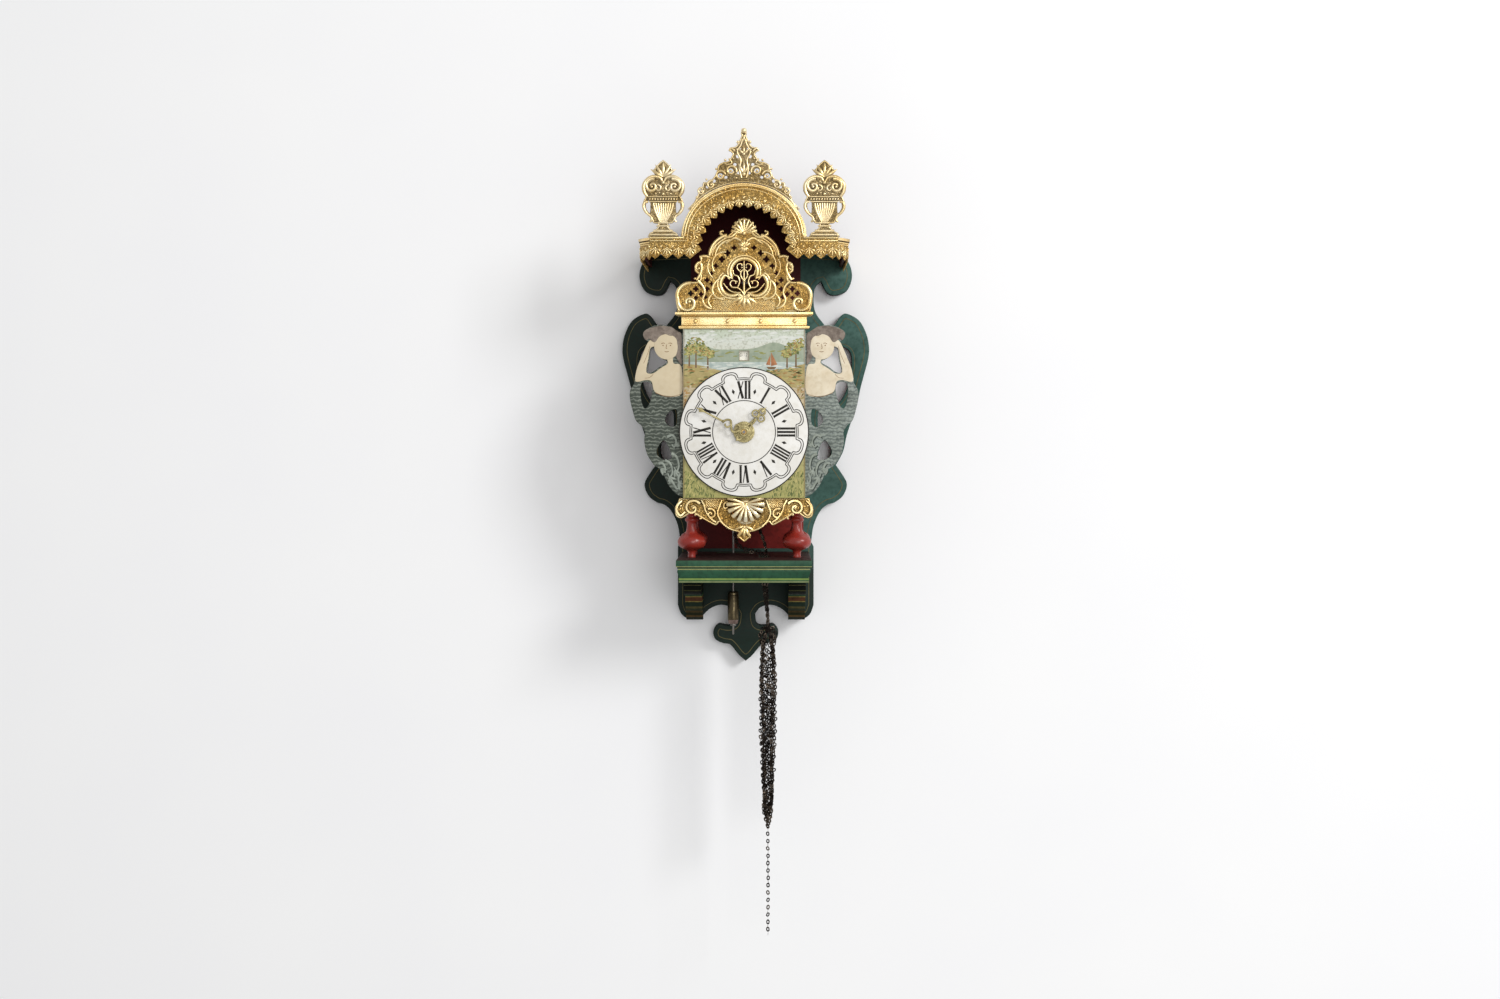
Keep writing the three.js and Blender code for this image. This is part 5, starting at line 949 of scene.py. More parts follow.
for s in (-1, 1):
    shoulder = [(78, HOOD_FRONT)] + side_line(0, HOOD_FRONT, BOARD_FACE) + [(78, BOARD_FACE)]
    board = side_line(4, HOOD_FRONT, BOARD_FACE) + side_line(8, HOOD_FRONT, BOARD_FACE)[::-1]
    maker.take(level_plate([[(s * x, y) for x, y in shoulder]], 4, 257, 0.4), 1)
    maker.take(level_plate([[(s * x, y) for x, y in board]], 20.5, 238.5, 0.4))
for face in maker.bm.faces:
    if face.material_index == 1 and abs(face.normal.z) > 0.7:
        face.material_index = 0
maker.piece("hood_roof_boards", [HOOD_PAINT, GILT], "clock_body", ["hood_roof"], "red_paint")
front_top = [(HALF_FRONT, 238), (HALF_FRONT, 261)] + outer_arch + [(-HALF_FRONT, 261)]
front_loop = front_top + [(-HALF_FRONT, 238), (-64, 238)] + half_ring(64, 69, 238)[::-1][1:-1] + [(64, 238)]
maker = Make()
maker.take(plate([front_loop], 4, FRONT_BOARD_BACK, 0.4))
maker.take(strands([arc(0, 259.5, 82, 180, 0, 1.5, 48, 72)], FRONT_BOARD_BACK - 4, 0.8))
maker.piece("hood_front_board", [GILT], "clock_body", ["hood_front"], "red_paint")

# Gilded castings, drawn as lines of x, z and half width in mm


def casting(loop, holes, thick, back, rim_in, rim_wide, squash=0.7, step=2.2, edge=0.4, at=None, proud=0.0):
    """The ground of a casting with a raised rim round it, whose middle may stand proud of the ground"""
    made = Make()
    made.take(plate([loop] + holes, thick, back, edge), 1, at)
    rim = [(x, z, rim_wide) for x, z in inset(dense(loop, step), rim_in)]
    made.take(strands([rim], back - thick - proud, squash, closed=True), 0, at)
    return made


def pair(dots):
    """Dots to the left and right of the middle"""
    return flip(dots) + dots


def fan(x, z, r0, r1, a0, a1, count, w0, w1, low=0.0):
    """Ribs of a shell, spread between two angles, the outer ones shorter by low"""
    ribs = []
    for i in range(count):
        t = i / (count - 1)
        a = math.radians(a0 + (a1 - a0) * t)
        reach = r1 * (1 - low * abs(2 * t - 1) ** 1.6)
        ribs.append([(x + r * math.cos(a), z + r * math.sin(a), w) for r, w in (
            (r0, w0), (r0 + (reach - r0) * 0.5, (w0 + w1) * 0.55), (reach * 0.94, w1), (reach, w1 * 0.55))])
    return ribs


def leaf(x, z, way, long, wide):
    """A pointed leaf from its foot, its way in degrees"""
    a = math.radians(way)
    return [(x + long * t * math.cos(a), z + long * t * math.sin(a), wide * w) for t, w in (
        (0, 0.25), (0.2, 0.75), (0.42, 1), (0.65, 0.8), (0.85, 0.4), (1, 0.08))]


def spray(x, z, ways, long, wide):
    """Leaves from one point, each its own way in degrees"""
    return [leaf(x, z, way, long, wide) for way in ways]


def hatch(x0, x1, z0, z1, pitch, width):
    """Crossed fine lines inside a rectangle"""
    lines, high = [], z1 - z0
    for i in range(1, int((x1 - x0 + high) / pitch)):
        foot = x0 - high + i * pitch
        for (xa, za), (xb, zb) in (((foot, z0), (foot + high, z1)), ((foot, z1), (foot + high, z0))):
            rise = (zb - za) / (xb - xa)
            left, right = max(xa, x0), min(xb, x1)
            if right - left > 1:
                lines.append([(left, za + rise * (left - xa), width),
                              (right, za + rise * (right - xa), width)])
    return lines


# The crest over the dial
CREST_SHARES = [
    (0, 1), (0.08, 0.98), (0.15, 0.92), (0.14, 0.88, 1), (0.25, 0.81), (0.33, 0.83), (0.29, 0.79, 1),
    (0.37, 0.75), (0.46, 0.69), (0.51, 0.61, 1), (0.65, 0.6), (0.64, 0.55), (0.7, 0.5), (0.72, 0.44),
    (0.64, 0.39, 1), (0.67, 0.33), (0.85, 0.32), (0.93, 0.27), (0.99, 0.19), (0.99, 0.09), (0.96, 0, 1),
    (0, 0)]
crest_loop = mirrored(soft(place(CREST_SHARES, 92.5, 127.5, 0, 161.6)))
WINDOW_SCALE, WINDOW_MIDDLE = 1.18, 203


def wider(p):
    """A point of the window and its tracery, moved out from the window's middle"""
    return (p[0] * WINDOW_SCALE, WINDOW_MIDDLE + (p[1] - WINDOW_MIDDLE) * WINDOW_SCALE) + tuple(p[2:])


def lobes(out=0.0):
    """The three-lobed window in the middle of the crest, or a line that lies so far outside it"""
    by = out / WINDOW_SCALE
    line = arc(0, 214, 13.2 + by, -28, 208, 1, 26) + arc(-13.6, 200, 11.0 + by, 128, 300, 1, 18)
    line += [(-4, 187 - by), (4, 187 - by)] + arc(13.6, 200, 11.0 + by, -120, 52, 1, 18)
    return [wider(p[:2]) for p in line]


def petal_hole(x, z, r):
    """A small hole with four petals"""
    out = []
    for k in range(24):
        a = 2 * math.pi * k / 24
        reach = r * (1 + 0.28 * math.cos(4 * a))
        out.append((x + reach * math.cos(a), z + reach * math.sin(a)))
    return out


crest_dots = pair([(30, 233, 3.74), (22.5, 241.5, 3.52), (13.5, 248.5, 3.08), (38, 224, 3.08), (72, 187, 3.3),
                   (65, 193, 3.3), (58, 186, 2.97), (58, 199, 3.3), (50, 193, 3.08), (50, 205, 3.08),
                   (44, 214, 2.86), (44, 200, 2.42), (65, 181, 2.53), (52, 182, 2.42)])
crest_holes = [lobes()] + [petal_hole(*dot) for dot in crest_dots]
CREST_THICK, APRON_THICK, TOP_THICK = 1.8, 2.0, 1.9
crest_face = DIAL_Y - CREST_THICK
maker = casting(crest_loop, crest_holes, CREST_THICK, DIAL_Y, 1.5, 1.15, 0.75, 2.4)
maker.take(strands([[(x, z, 2.2) for x, z in lobes(2.9)]], crest_face, 0.85, closed=True))
tracery = both([
    [(0, 187, 1.2), (2.5, 192, 1.0), (7.5, 196, 0.9), (13, 196.5, 0.9), (16, 200, 0.9), (14, 204, 0.8),
     (10, 203.5, 0.8), (9.5, 200.5, 0.7)],
    [(4, 190.5, 0.8), (10, 190.5, 0.8), (16, 192.5, 0.8), (20.5, 197, 0.8), (23.6, 201, 0.7)],
    [(7.5, 196, 0.8), (5, 203, 0.9), (7, 209, 0.9), (11.5, 211, 0.8), (13, 216, 0.7)],
    [(0, 204, 0.8), (3.6, 209, 0.8), (3.4, 214, 0.8), (0.5, 217, 0.8)],
    [(3.4, 214, 0.8), (7.5, 217.5, 0.8), (7.6, 222, 0.7), (4, 223.5, 0.7), (2, 221, 0.6)]])
stem = [(0, 184, 1.3), (0, 204, 1.0), (0, 218, 0.9), (0, 231, 0.7)]
maker.take(strands([[wider(p) for p in line] for line in tracery] + [stem], crest_face + 0.4, 0.8, steps=4))
window_beads = [(0, 204, 2.0), (0, 217, 1.6)] + pair([(10, 203, 1.4), (3, 222, 1.2)])
maker.take(bosses(window_beads, crest_face + 0.3, 0.8))
maker.take(strands([[(x, z, 1.3) for x, z in lobes(6.6)]], crest_face + 0.2, 0.7, closed=True))
crest_lines = both([
    scroll(75, 174.5, 15, 2.2, 20, -1.15, 2.6, 1.5),
    arc(73, 184, 17, 96, -22, 2.2, 14),
    [(62, 204, 2.0), (55, 196, 1.4), (53, 187, 1.2), (56, 178, 1.2), (52, 170, 1.8), (44, 166, 1.2)],
    [(64, 205, 1.9), (59, 213, 2.0), (57, 222, 1.8), (60, 229, 1.6), (65, 225, 1.5), (64, 219, 1.2),
     (61, 221, 1.0)],
    [(47, 236, 1.4), (53, 237.5, 1.6), (60, 236.5, 1.6)],
    arc(14, 236, 33, 4, 74, 2.0, 14, 31), arc(14, 236, 25, 4, 78, 1.2, 14, 24),
    arc(14, 236, 29, 4, 76, 0.7, 14, 27), arc(26, 226, 17, -34, 96, 0.9, 12),
    arc(30, 223, 19, -52, 32, 0.8, 12),
    [(8, 272, 1.2), (16, 264, 1.7), (24, 263, 1.8), (31, 267, 1.6), (32, 270, 1.3), (29, 271, 0.9)],
    [(4, 258, 1.6), (12, 262, 1.5), (18, 259, 1.2), (24, 255, 0.9)],
    [(30, 208, 1.0), (37, 204, 1.4), (42, 196, 1.6), (42, 187, 1.3), (36, 181, 1.5), (28, 179, 1.2)],
    [(42, 187, 1.0), (47, 181, 1.2), (48, 174, 1.2), (44, 168, 1.0)],
])
crest_lines = [[(x, z, w * 1.15) for x, z, w in line] for line in crest_lines]
maker.take(strands(crest_lines, crest_face, 0.9, steps=3))
maker.take(strands(fan(0, 268, 2, 21, 12, 168, 9, 0.9, 2.5, 0.14), crest_face, 0.75))
flower = spray(0, 250, (30, 60, 90, 120, 150), 10, 2.4) + spray(0, 250, (210, 240, 270, 300, 330), 8, 1.9)
maker.take(strands(flower, crest_face, 0.8))
maker.take(strands(spray(0, 184, (-90, -58, -122, -30, -150), 19, 3.4) + spray(0, 181, (35, 145), 15, 2.2),
                   crest_face, 0.8))
crest_beads = pair([(73.6, 176, 2.6), (61, 221, 1.7), (29, 271, 1.8), (85, 196, 2.2), (66, 207, 1.8),
                    (27, 179, 1.6), (24, 255, 1.4)])
maker.take(bosses([(0, 250, 2.6), (0, 182, 2.4), (0, 268, 3)] + crest_beads, crest_face, 0.8))
maker.take(strands(hatch(-42, 42, 163.4, 178, 3.2, 0.32), crest_face, 0.8))
foot_lines = both([[(43, 180, 0.8), (20, 181.5, 0.9), (8, 178, 0.7)]])
maker.take(strands([[(-90, 162.9, 1.2), (90, 162.9, 1.2)]] + foot_lines, crest_face, 0.8))
maker.piece("dial_crest_casting", [GILT, GILT_GROUND], "clock_body", ["crest_fret"], "gilt_lead", 60)

# The ledge under it, with four nail heads
LEDGE_ROWS = [(8.4, 22), (8.4, 19.4), (7.6, 18.6), (5.6, 17.6), (3.6, 17.0), (1.6, 16.7), (0.6, 16.3),
              (0, 15.6), (0, 5.0), (0.6, 4.4), (2.4, 4.0), (3.6, 3.2), (3.8, 2.0), (3.4, 0.6), (3.0, 0)]
maker = Make()
LEDGE_HALF, LEDGE_FRONT, LEDGE_FOOT = 84.5, -174.5, 139.3
rings = []
for out, high in LEDGE_ROWS:
    x, z = LEDGE_HALF + out, LEDGE_FOOT + high
    rings.append([(-x, PANEL_BACK, z), (x, PANEL_BACK, z), (x, LEDGE_FRONT - out, z),
                  (-x, LEDGE_FRONT - out, z)])
maker.take(loft(rings))
maker.take(bosses([(x, 149.6, 2.7) for x in (-65.7, -22.5, 22.1, 68)], LEDGE_FRONT - 0.1, 0.7, 14))
for x0, x1 in ((-83, -60), (-28, -15), (16, 30), (60, 84)):
    cuts = [[(x0, 146 + k * 3.4, 0.35), ((x0 + x1) / 2, 146.6 + k * 3.2, 0.4), (x1, 146 + k * 3.4, 0.35)]
            for k in range(3)]
    maker.take(strands(cuts, LEDGE_FRONT, 0.5))
maker.piece("dial_ledge_moulding", [GILT], "clock_body", ["dial_ledge"], "gilt_lead", 30)

# The apron under the dial
APRON_SHARES = [
    (0, 0, 1), (0.94, 0, 1), (0.97, -0.16), (1, -0.32), (0.97, -0.43), (0.89, -0.45), (0.76, -0.32, 1),
    (0.57, -0.5), (0.5, -0.56, 1), (0.41, -0.62), (0.36, -0.54, 1), (0.26, -0.67), (0.17, -0.74),
    (0.06, -0.78, 1), (0.1, -0.86), (0, -1)]
apron_loop = mirrored(soft(place(APRON_SHARES, 93.5, 60, 0, -89.3)))
apron_face = PANEL_BACK - APRON_THICK
maker = casting(apron_loop, [], APRON_THICK, PANEL_BACK, 1.3, 1.0, step=2.4)
maker.take(bosses([(2, -108, 17.5)], apron_face, 0.16, 24), 2)
maker.take(strands(fan(2, -97, 2, 26, -200, 20, 11, 1.2, 4.3, -0.02), apron_face - 2.3, 1.0), 2)
maker.take(strands(both([
    scroll(70, -103, 12, 2, 150, -1.3, 2.6, 1.3),
    scroll(45, -111, 8, 1.5, 60, 1.2, 2.0, 1.0),
    [(84, -93, 1.6), (90, -99, 2.2), (91, -107, 2.4), (86, -113, 2.0), (80, -108, 1.4)],
    [(58, -92, 1.4), (54, -99, 1.8), (52, -107, 1.6), (45, -117, 1.8), (38, -122, 1.6)],
    [(30, -92, 1.2), (33, -100, 1.7), (36, -110, 1.7), (31, -121, 1.6), (24, -128, 1.6)],
    [(22, -94, 1.8), (27, -97, 1.6), (27, -103, 1.2), (22, -102, 1.0)]]), apron_face - 0.3, 1.1, steps=3))
crossed = hatch(33, 52, -103, -91.4, 3, 0.3) + hatch(-52, -33, -103, -91.4, 3, 0.3)
maker.take(strands(crossed, apron_face, 0.8))
maker.take(strands(spray(0, -128, (-90, -62, -118), 18, 3.2) + spray(0, -127, (-160, -20, 205, 335), 14, 1.9),
                   apron_face, 0.9))
apron_beads = pair([(69, -103, 2.6), (44.6, -111, 1.8), (86, -100, 2.0), (59, -117, 1.8), (66, -112, 1.6),
                    (22, -101, 1.7)])
maker.take(bosses([(2, -98, 4.0), (0, -129, 2.2)] + apron_beads, apron_face, 0.9))
maker.piece("dial_apron_casting", [GILT, GILT_GROUND, GILT_SHELL], "clock_body", ["apron_fret"],
            "gilt_lead", 60)

# Urn castings
URN_SHARES = [
    (0, 1, 1), (0.22, 0.95), (0.46, 0.87, 1), (0.18, 0.77, 1), (0.64, 0.77), (1, 0.62), (0.83, 0.52, 1),
    (0.96, 0.43), (0.87, 0.32), (0.55, 0.24, 1), (0.46, 0.18), (0.24, 0.17, 1), (0.24, 0.13, 1),
    (0.42, 0.08), (0.64, 0.05, 1), (0.73, 0, 1), (0, 0, 1)]
URN_HOLE_SHARES = [(0.62, 0.46), (0.78, 0.45), (0.8, 0.37), (0.62, 0.31)]


def urn(side, s):
    """A flaming urn on the hood's shoulder: bowl with ribs, a row of beads, scrolls and a stepped foot"""
    face = URN_BACK - 2.1
    shift = Matrix.Translation((s * 108 * MM, 0, 0))
    half, tall, foot = 28.5, 103, 261.3
    loop = mirrored(soft(place(URN_SHARES, half, tall, 0, foot)))
    hole = catmull(place(URN_HOLE_SHARES, half, tall, 0, foot), 5, True)
    maker = casting(loop, [hole, flip(hole)], 2.0, URN_BACK, 1.1, 0.8, at=shift, proud=0.1)
    scrolls = both([
        scroll(15, 329, 10.5, 2, 110, -1.25, 3.0, 1.6),
        [(1.5, 336, 1.4), (5, 341, 2.0), (13, 342, 2.4), (21, 338, 2.6), (26, 330, 2.8), (25, 321, 2.4),
         (21, 315, 1.6)],
        scroll(7, 326, 5, 1.2, 80, 1.0, 1.6, 0.9),
        [(20, 308, 1.6), (25, 307, 2.0), (26, 300, 2.0), (22, 293, 1.8), (17, 289, 1.4), (15, 284, 1.8),
         (18, 281, 1.2)]])
    ribs = [[(x * 3.3, 306, 1.3), (x * 2.8, 297, 1.9), (x * 1.7, 287, 1.3), (x * 1.0, 281, 0.7)]
            for x in range(-4, 5)]
    rims = [[(-reach, z, w), (reach, z, w)] for reach, z, w in (
        (19, 308.4, 1.1), (20, 314.8, 1.0), (7, 280, 1.6), (9, 275.8, 1.2), (13, 269, 1.9), (18, 264, 1.6))]
    beads = [(x * 3.6, 311.5, 1.9) for x in range(-5, 6)]
    knobs = [(0, 334, 3.0), (0, 318.5, 2.4)] + pair([(15.4, 328, 2.4), (10, 319, 1.6), (5, 320, 1.4)])
    maker.take(strands(spray(0, 341, (90, 58, 122, 32, 148), 20, 3.0), face, 0.9), 0, shift)
    maker.take(strands(scrolls, face, 0.9, steps=3), 0, shift)
    maker.take(strands(ribs, face, 0.8, steps=3), 0, shift)
    maker.take(strands(rims, face, 0.8), 0, shift)
    maker.take(bosses(beads, face, 0.9, 8), 0, shift)
    maker.take(bosses(knobs, face, 0.9), 0, shift)
    maker.piece(f"urn_{side}_casting", [GILT_PALE, GILT_PALE_GROUND], "clock_body", [f"urn_{side}"],
                "gilt_lead", 60)


urn("left", -1)
urn("right", 1)

# The casting along the top of the arch
TOP_SHARES = [
    (0, 1, 1), (0.05, 0.96), (0.04, 0.93, 1), (0.1, 0.86), (0.14, 0.83, 1), (0.25, 0.81), (0.19, 0.76, 1),
    (0.26, 0.7), (0.34, 0.69, 1), (0.44, 0.66), (0.47, 0.6), (0.53, 0.54), (0.62, 0.5, 1), (0.7, 0.5),
    (0.73, 0.44), (0.79, 0.4, 1), (0.87, 0.31), (0.96, 0.25, 1)]


def arch_clear(x):
    """The height just clear of the arch at x"""
    return 259.3 + 74.3 * math.sqrt(max(0, 1 - (x / 84.3) ** 2))


top_half = soft(place(TOP_SHARES, 77.5, 146, 0, 261)) + [
    (71.3 * (1 - i / 16), arch_clear(71.3 * (1 - i / 16))) for i in range(17)]
top_loop = top_half[:-1] + [(0, arch_clear(0))] + [(-x, z) for x, z in reversed(top_half[1:-1])]
top_holes = [round_loop(x, z, r, 16) for x, z, r in pair([
    (17.5, 349.5, 3.4), (31.5, 343, 3.4), (8, 369, 2.6), (12, 358, 2.2), (40, 336, 2.4), (24, 341, 2.0),
    (5.5, 379, 1.6), (49, 328, 2.0), (7, 347, 2.2)])]
top_face = CREST_BACK - TOP_THICK
maker = casting(top_loop, top_holes, TOP_THICK, CREST_BACK, 1.1, 0.8, edge=0.35)
maker.take(strands(both([
    scroll(17, 350, 7.5, 3.6, 200, -1.0, 1.6, 1.2), scroll(31.5, 343.5, 7, 3.6, 170, -1.0, 1.5, 1.1),
    [(3, 340, 1.6), (6, 352, 1.5), (4, 364, 1.4), (9, 375, 1.2), (4, 384, 1.2), (2, 392, 1.2)],
    [(12, 376, 1.2), (17, 380, 1.3), (19, 377, 1.0), (16, 375, 0.8)],
    [(20, 366, 1.2), (16, 360, 1.3), (22, 358, 1.2), (27, 361, 1.0)],
    scroll(44, 331, 6, 2, 120, -1.1, 1.6, 1.0), scroll(57, 322, 5, 1.6, 110, -1.1, 1.6, 1.0),
    [(61, 312, 1.4), (66, 306, 1.4), (70, 299, 1.2)]]), top_face, 0.9, steps=3))
maker.take(strands(spray(0, 345, (90, 62, 118), 17, 2.4) + spray(0, 372, (90, 45, 135), 11, 1.8)
                   + spray(0, 388, (90,), 12, 2.0), top_face, 0.9))
top_beads = pair([(17.6, 349.4, 1.9), (31.5, 343, 1.9), (8, 388, 2.2), (9, 378, 1.7), (19, 377, 1.7),
                  (25, 364, 1.8), (14, 366, 1.6), (44, 331, 2), (57, 322, 1.8), (50, 338, 1.6),
                  (63, 314, 1.8), (10, 340, 1.7), (70, 301, 1.6), (37, 352, 1.6)])
maker.take(bosses([(0, 403, 4.0), (0, 396, 2.2), (0, 372, 2.6), (0, 345, 3.2)] + top_beads, top_face, 0.9))
maker.piece("hood_crest_casting", [GILT_PALE, GILT_PALE_GROUND], "clock_body", ["crest_finial"],
            "gilt_lead", 60)

# Stamped scalloped strips round the hood


def strip_unit(lines, dots, x, z, nx, nz, wide, high):
    """One shell and its buds between the moulding and a scallop's tip; nx, nz point to the tip"""
    way = math.degrees(math.atan2(nz, nx))
    lines += fan(x, z, 1.0, high * 0.72, way - 62, way + 62, 5, 0.5, 1.15, 0.25)
    for s in (-1, 1):
        bud_x, bud_z = x - s * nz * wide * 0.5, z + s * nx * wide * 0.5
        lines.append(leaf(bud_x, bud_z, way + 180 - s * 35, high * 0.34, 1.1))
        dots.append((bud_x + nx * high * 0.28, bud_z + nz * high * 0.28, 1.15))
    dots += [(x, z, 1.5), (x - nx * high * 0.22, z - nz * high * 0.22, 0.9)]


def scallop_edge(x0, x1, root, count, depth):
    """Pointed scallops from x0 to x1, hanging below the root"""
    wide = (x1 - x0) / count
    return [(x0 + wide * (i + share), root - depth * drop) for i in range(count)
            for share, drop in ((0, 0), (0.22, 0.5), (0.5, 1), (0.78, 0.5))]


FRET_THICK = 1.4
FRET_FACE = FRET_BACK - FRET_THICK
STRIP_ROOT, STRIP_TOP, STRIP_OUT, STRIP_IN = 238, 261, 126.3, 64.3
arch_edge = []
for i in range(65):
    a = math.pi * i / 64
    dip = 7.2 * abs(math.sin(a * 16)) ** 1.2
    arch_edge.append(((STRIP_IN - dip) * math.cos(a), STRIP_ROOT + (69 - dip) * math.sin(a)))
arch_edge.reverse()
left_edge = scallop_edge(-STRIP_OUT, -STRIP_IN, STRIP_ROOT, 4, 6.5)[1:]
right_edge = scallop_edge(STRIP_IN, STRIP_OUT, STRIP_ROOT, 4, 6.5)[1:]
fret_top = [(STRIP_OUT, STRIP_ROOT), (STRIP_OUT, STRIP_TOP)] + half_ring(80, 70, STRIP_TOP)
fret_top += [(-STRIP_OUT, STRIP_TOP), (-STRIP_OUT, STRIP_ROOT)]
fret_loop = fret_top + left_edge + arch_edge + right_edge
maker = Make()
maker.take(plate([fret_loop], FRET_THICK, FRET_BACK, 0.3), 1)
strip_lines, strip_dots = [], []
for s in (-1, 1):
    for i in range(4):
        x = s * (STRIP_IN + (i + 0.5) * (STRIP_OUT - STRIP_IN) / 4)
        strip_unit(strip_lines, strip_dots, x, 246, 0, -1, 13, 15)
for i in range(16):
    a = math.pi * (i + 0.5) / 16
    strip_unit(strip_lines, strip_dots, 70.5 * math.cos(a), 247 + 64 * math.sin(a), -math.cos(a),
               -math.sin(a), 13, 14)
maker.take(strands(strip_lines, FRET_FACE, 0.9))
maker.take(bosses(strip_dots, FRET_FACE, 0.8, 8))


def arch_rail(z, foot, half, rise, middle, skip, width):
    """A raised line along one shoulder, over the arch and along the other shoulder"""
    over = [(-half * math.cos(math.pi * i / 40), middle + rise * math.sin(math.pi * i / 40), width)
            for i in range(skip, 41 - skip)]
    return [(-125.6, z, width), (-foot, z, width)] + over + [(foot, z, width), (125.6, z, width)]


rails = [arch_rail(259.6, 81, 78.8, 68.6, 261, 1, 1.3), arch_rail(255.6, 76, 75.4, 67, 258, 2, 0.7)]
maker.take(strands(rails, FRET_FACE, 0.9))
maker.piece("canopy_front_strip", [GILT, GILT_GROUND], "clock_body", ["canopy_fret"], "gilt_lead", 60)

for side, s in (("left", -1), ("right", 1)):
    maker = Make()
    path = side_line(2.8, HOOD_FRONT + 0.9, BOARD_FACE - 0.3)
    for (xa, ya), (xb, yb), count, angle in ((path[0], path[1], 2, CANT), (path[1], path[2], 10, 0)):
        half = math.hypot(xb - xa, yb - ya) / 2
        edge = scallop_edge(-half, half, STRIP_ROOT, count, 6.5)
        loop = [(half, 257), (-half, 257)] + edge + [(half, STRIP_ROOT)]
        lines, dots = [], []
        for i in range(count):
            strip_unit(lines, dots, -half + (i + 0.5) * 2 * half / count, 245.5, 0, -1, 12, 14)
        lines += [[(-half, z, w), (half, z, w)] for z, w in ((255.4, 1.2), (252.6, 0.6))]
        middle = Matrix.Translation((s * (xa + xb) / 2 * MM, (ya + yb) / 2 * MM, -0.3 * MM))
        where = middle @ Matrix.Rotation(s * (math.pi / 2 - angle), 4, "Z")
        maker.take(plate([loop], FRET_THICK, FRET_THICK / 2, 0.3), 1, where)
        maker.take(strands(lines, -FRET_THICK / 2, 0.8), 0, where)
        maker.take(bosses(dots, -FRET_THICK / 2, 0.75, 8), 0, where)
    maker.piece(f"canopy_side_strip_{side}", [GILT, GILT_GROUND], "clock_body", [f"canopy_return_{side}"],
                "gilt_lead", 60)

# Mermaid panels, drawn for the right side in shares of the panel's width and height
MERMAID_SHARES = [
    (0, 0.98, 1), (0.15, 0.985, 1), (0.19, 1.012), (0.3, 1.026), (0.45, 1.03), (0.6, 1.02), (0.71, 0.99),
    (0.74, 0.958), (0.66, 0.93, 1), (0.71, 0.88), (0.8, 0.82), (0.87, 0.76), (0.91, 0.71), (0.92, 0.68),
    (0.99, 0.64), (1, 0.59), (0.95, 0.52), (0.89, 0.46), (0.79, 0.43, 1), (0.72, 0.39), (0.73, 0.34),
    (0.7, 0.28), (0.65, 0.24), (0.54, 0.19), (0.45, 0.17), (0.36, 0.13), (0.27, 0.07), (0.13, 0.02),
    (0, 0, 1)]
MERMAID_HOLE_SHARES = [
    [(0.48, 0.89), (0.6, 0.89), (0.63, 0.83), (0.68, 0.75), (0.57, 0.75), (0.44, 0.78), (0.3, 0.81),
     (0.45, 0.84)],
    [(0.57, 0.66), (0.66, 0.69), (0.78, 0.68), (0.8, 0.62), (0.77, 0.56), (0.71, 0.53), (0.62, 0.57)],
    [(0.12, 0.52), (0.21, 0.52), (0.31, 0.49), (0.33, 0.45), (0.22, 0.42), (0.12, 0.44)],
    [(0.36, 0.34), (0.45, 0.31), (0.5, 0.27), (0.45, 0.24), (0.32, 0.22), (0.21, 0.24), (0.27, 0.3)]]
SKIN_SHARES = [
    (0.66, 0.925), (0.6, 0.942), (0.53, 0.93), (0.53, 0.905), (0.615, 0.89), (0.65, 0.83), (0.69, 0.75),
    (0.57, 0.74), (0.43, 0.77), (0.29, 0.8), (0.3, 0.83), (0.2, 0.835), (0.175, 0.8), (0.03, 0.78),
    (0.02, 0.62), (0.3, 0.605), (0.53, 0.63), (0.59, 0.69), (0.7, 0.7), (0.84, 0.69), (0.9, 0.7),
    (0.87, 0.765), (0.79, 0.83), (0.72, 0.885)]
HAIR_SHARES = [
    (0.74, 0.958), (0.745, 0.984), (0.68, 1.004), (0.55, 1.018), (0.4, 1.025), (0.25, 1.018), (0.1, 0.992),
    (0.03, 0.975), (0.02, 0.9), (0.03, 0.868), (0.02, 0.795), (0.085, 0.812), (0.13, 0.845), (0.1, 0.89),
    (0.12, 0.94), (0.2, 0.966), (0.33, 0.974), (0.44, 0.96), (0.51, 0.93), (0.57, 0.93), (0.64, 0.947),
    (0.69, 0.938)]

LOCKS = []
for k in range(5):
    LOCKS.append([(0.1 + 0.07 * j, 0.978 + 0.0105 * k - 0.0016 * (j - 4) ** 2 + 0.005 * math.sin(2.1 * j + k))
                  for j in range(9)])
    LOCKS.append([(0.04 + 0.014 * k + 0.012 * math.sin(3 * j + k), 0.965 - 0.033 * j) for j in range(5)])
BODY_LINES = [
    [(0.62, 0.905), (0.66, 0.86), (0.74, 0.8)], [(0.56, 0.735), (0.63, 0.715), (0.72, 0.712)],
    [(0.04, 0.615), (0.28, 0.6), (0.52, 0.625)]]
CURLS = [
    [(0.46, 0.2), (0.38, 0.2), (0.33, 0.165), (0.37, 0.145), (0.41, 0.16)],
    [(0.34, 0.22), (0.24, 0.2), (0.2, 0.15), (0.25, 0.12), (0.29, 0.145)],
    [(0.22, 0.26), (0.12, 0.24), (0.08, 0.19), (0.12, 0.155), (0.17, 0.18)],
    [(0.28, 0.1), (0.2, 0.09), (0.12, 0.05), (0.05, 0.06)],
    [(0.05, 0.14), (0.09, 0.11), (0.06, 0.08), (0.03, 0.1)],
    [(0.3, 0.36), (0.2, 0.37), (0.13, 0.34), (0.16, 0.3), (0.21, 0.315)]]
FINS = [
    ((0.16, 0.16), (210, 240, 270)), ((0.26, 0.12), (200, 235, 265)), ((0.42, 0.17), (190, 220, 250)),
    ((0.1, 0.08), (180, 215, 250)), ((0.12, 0.3), (120, 150, 90))]


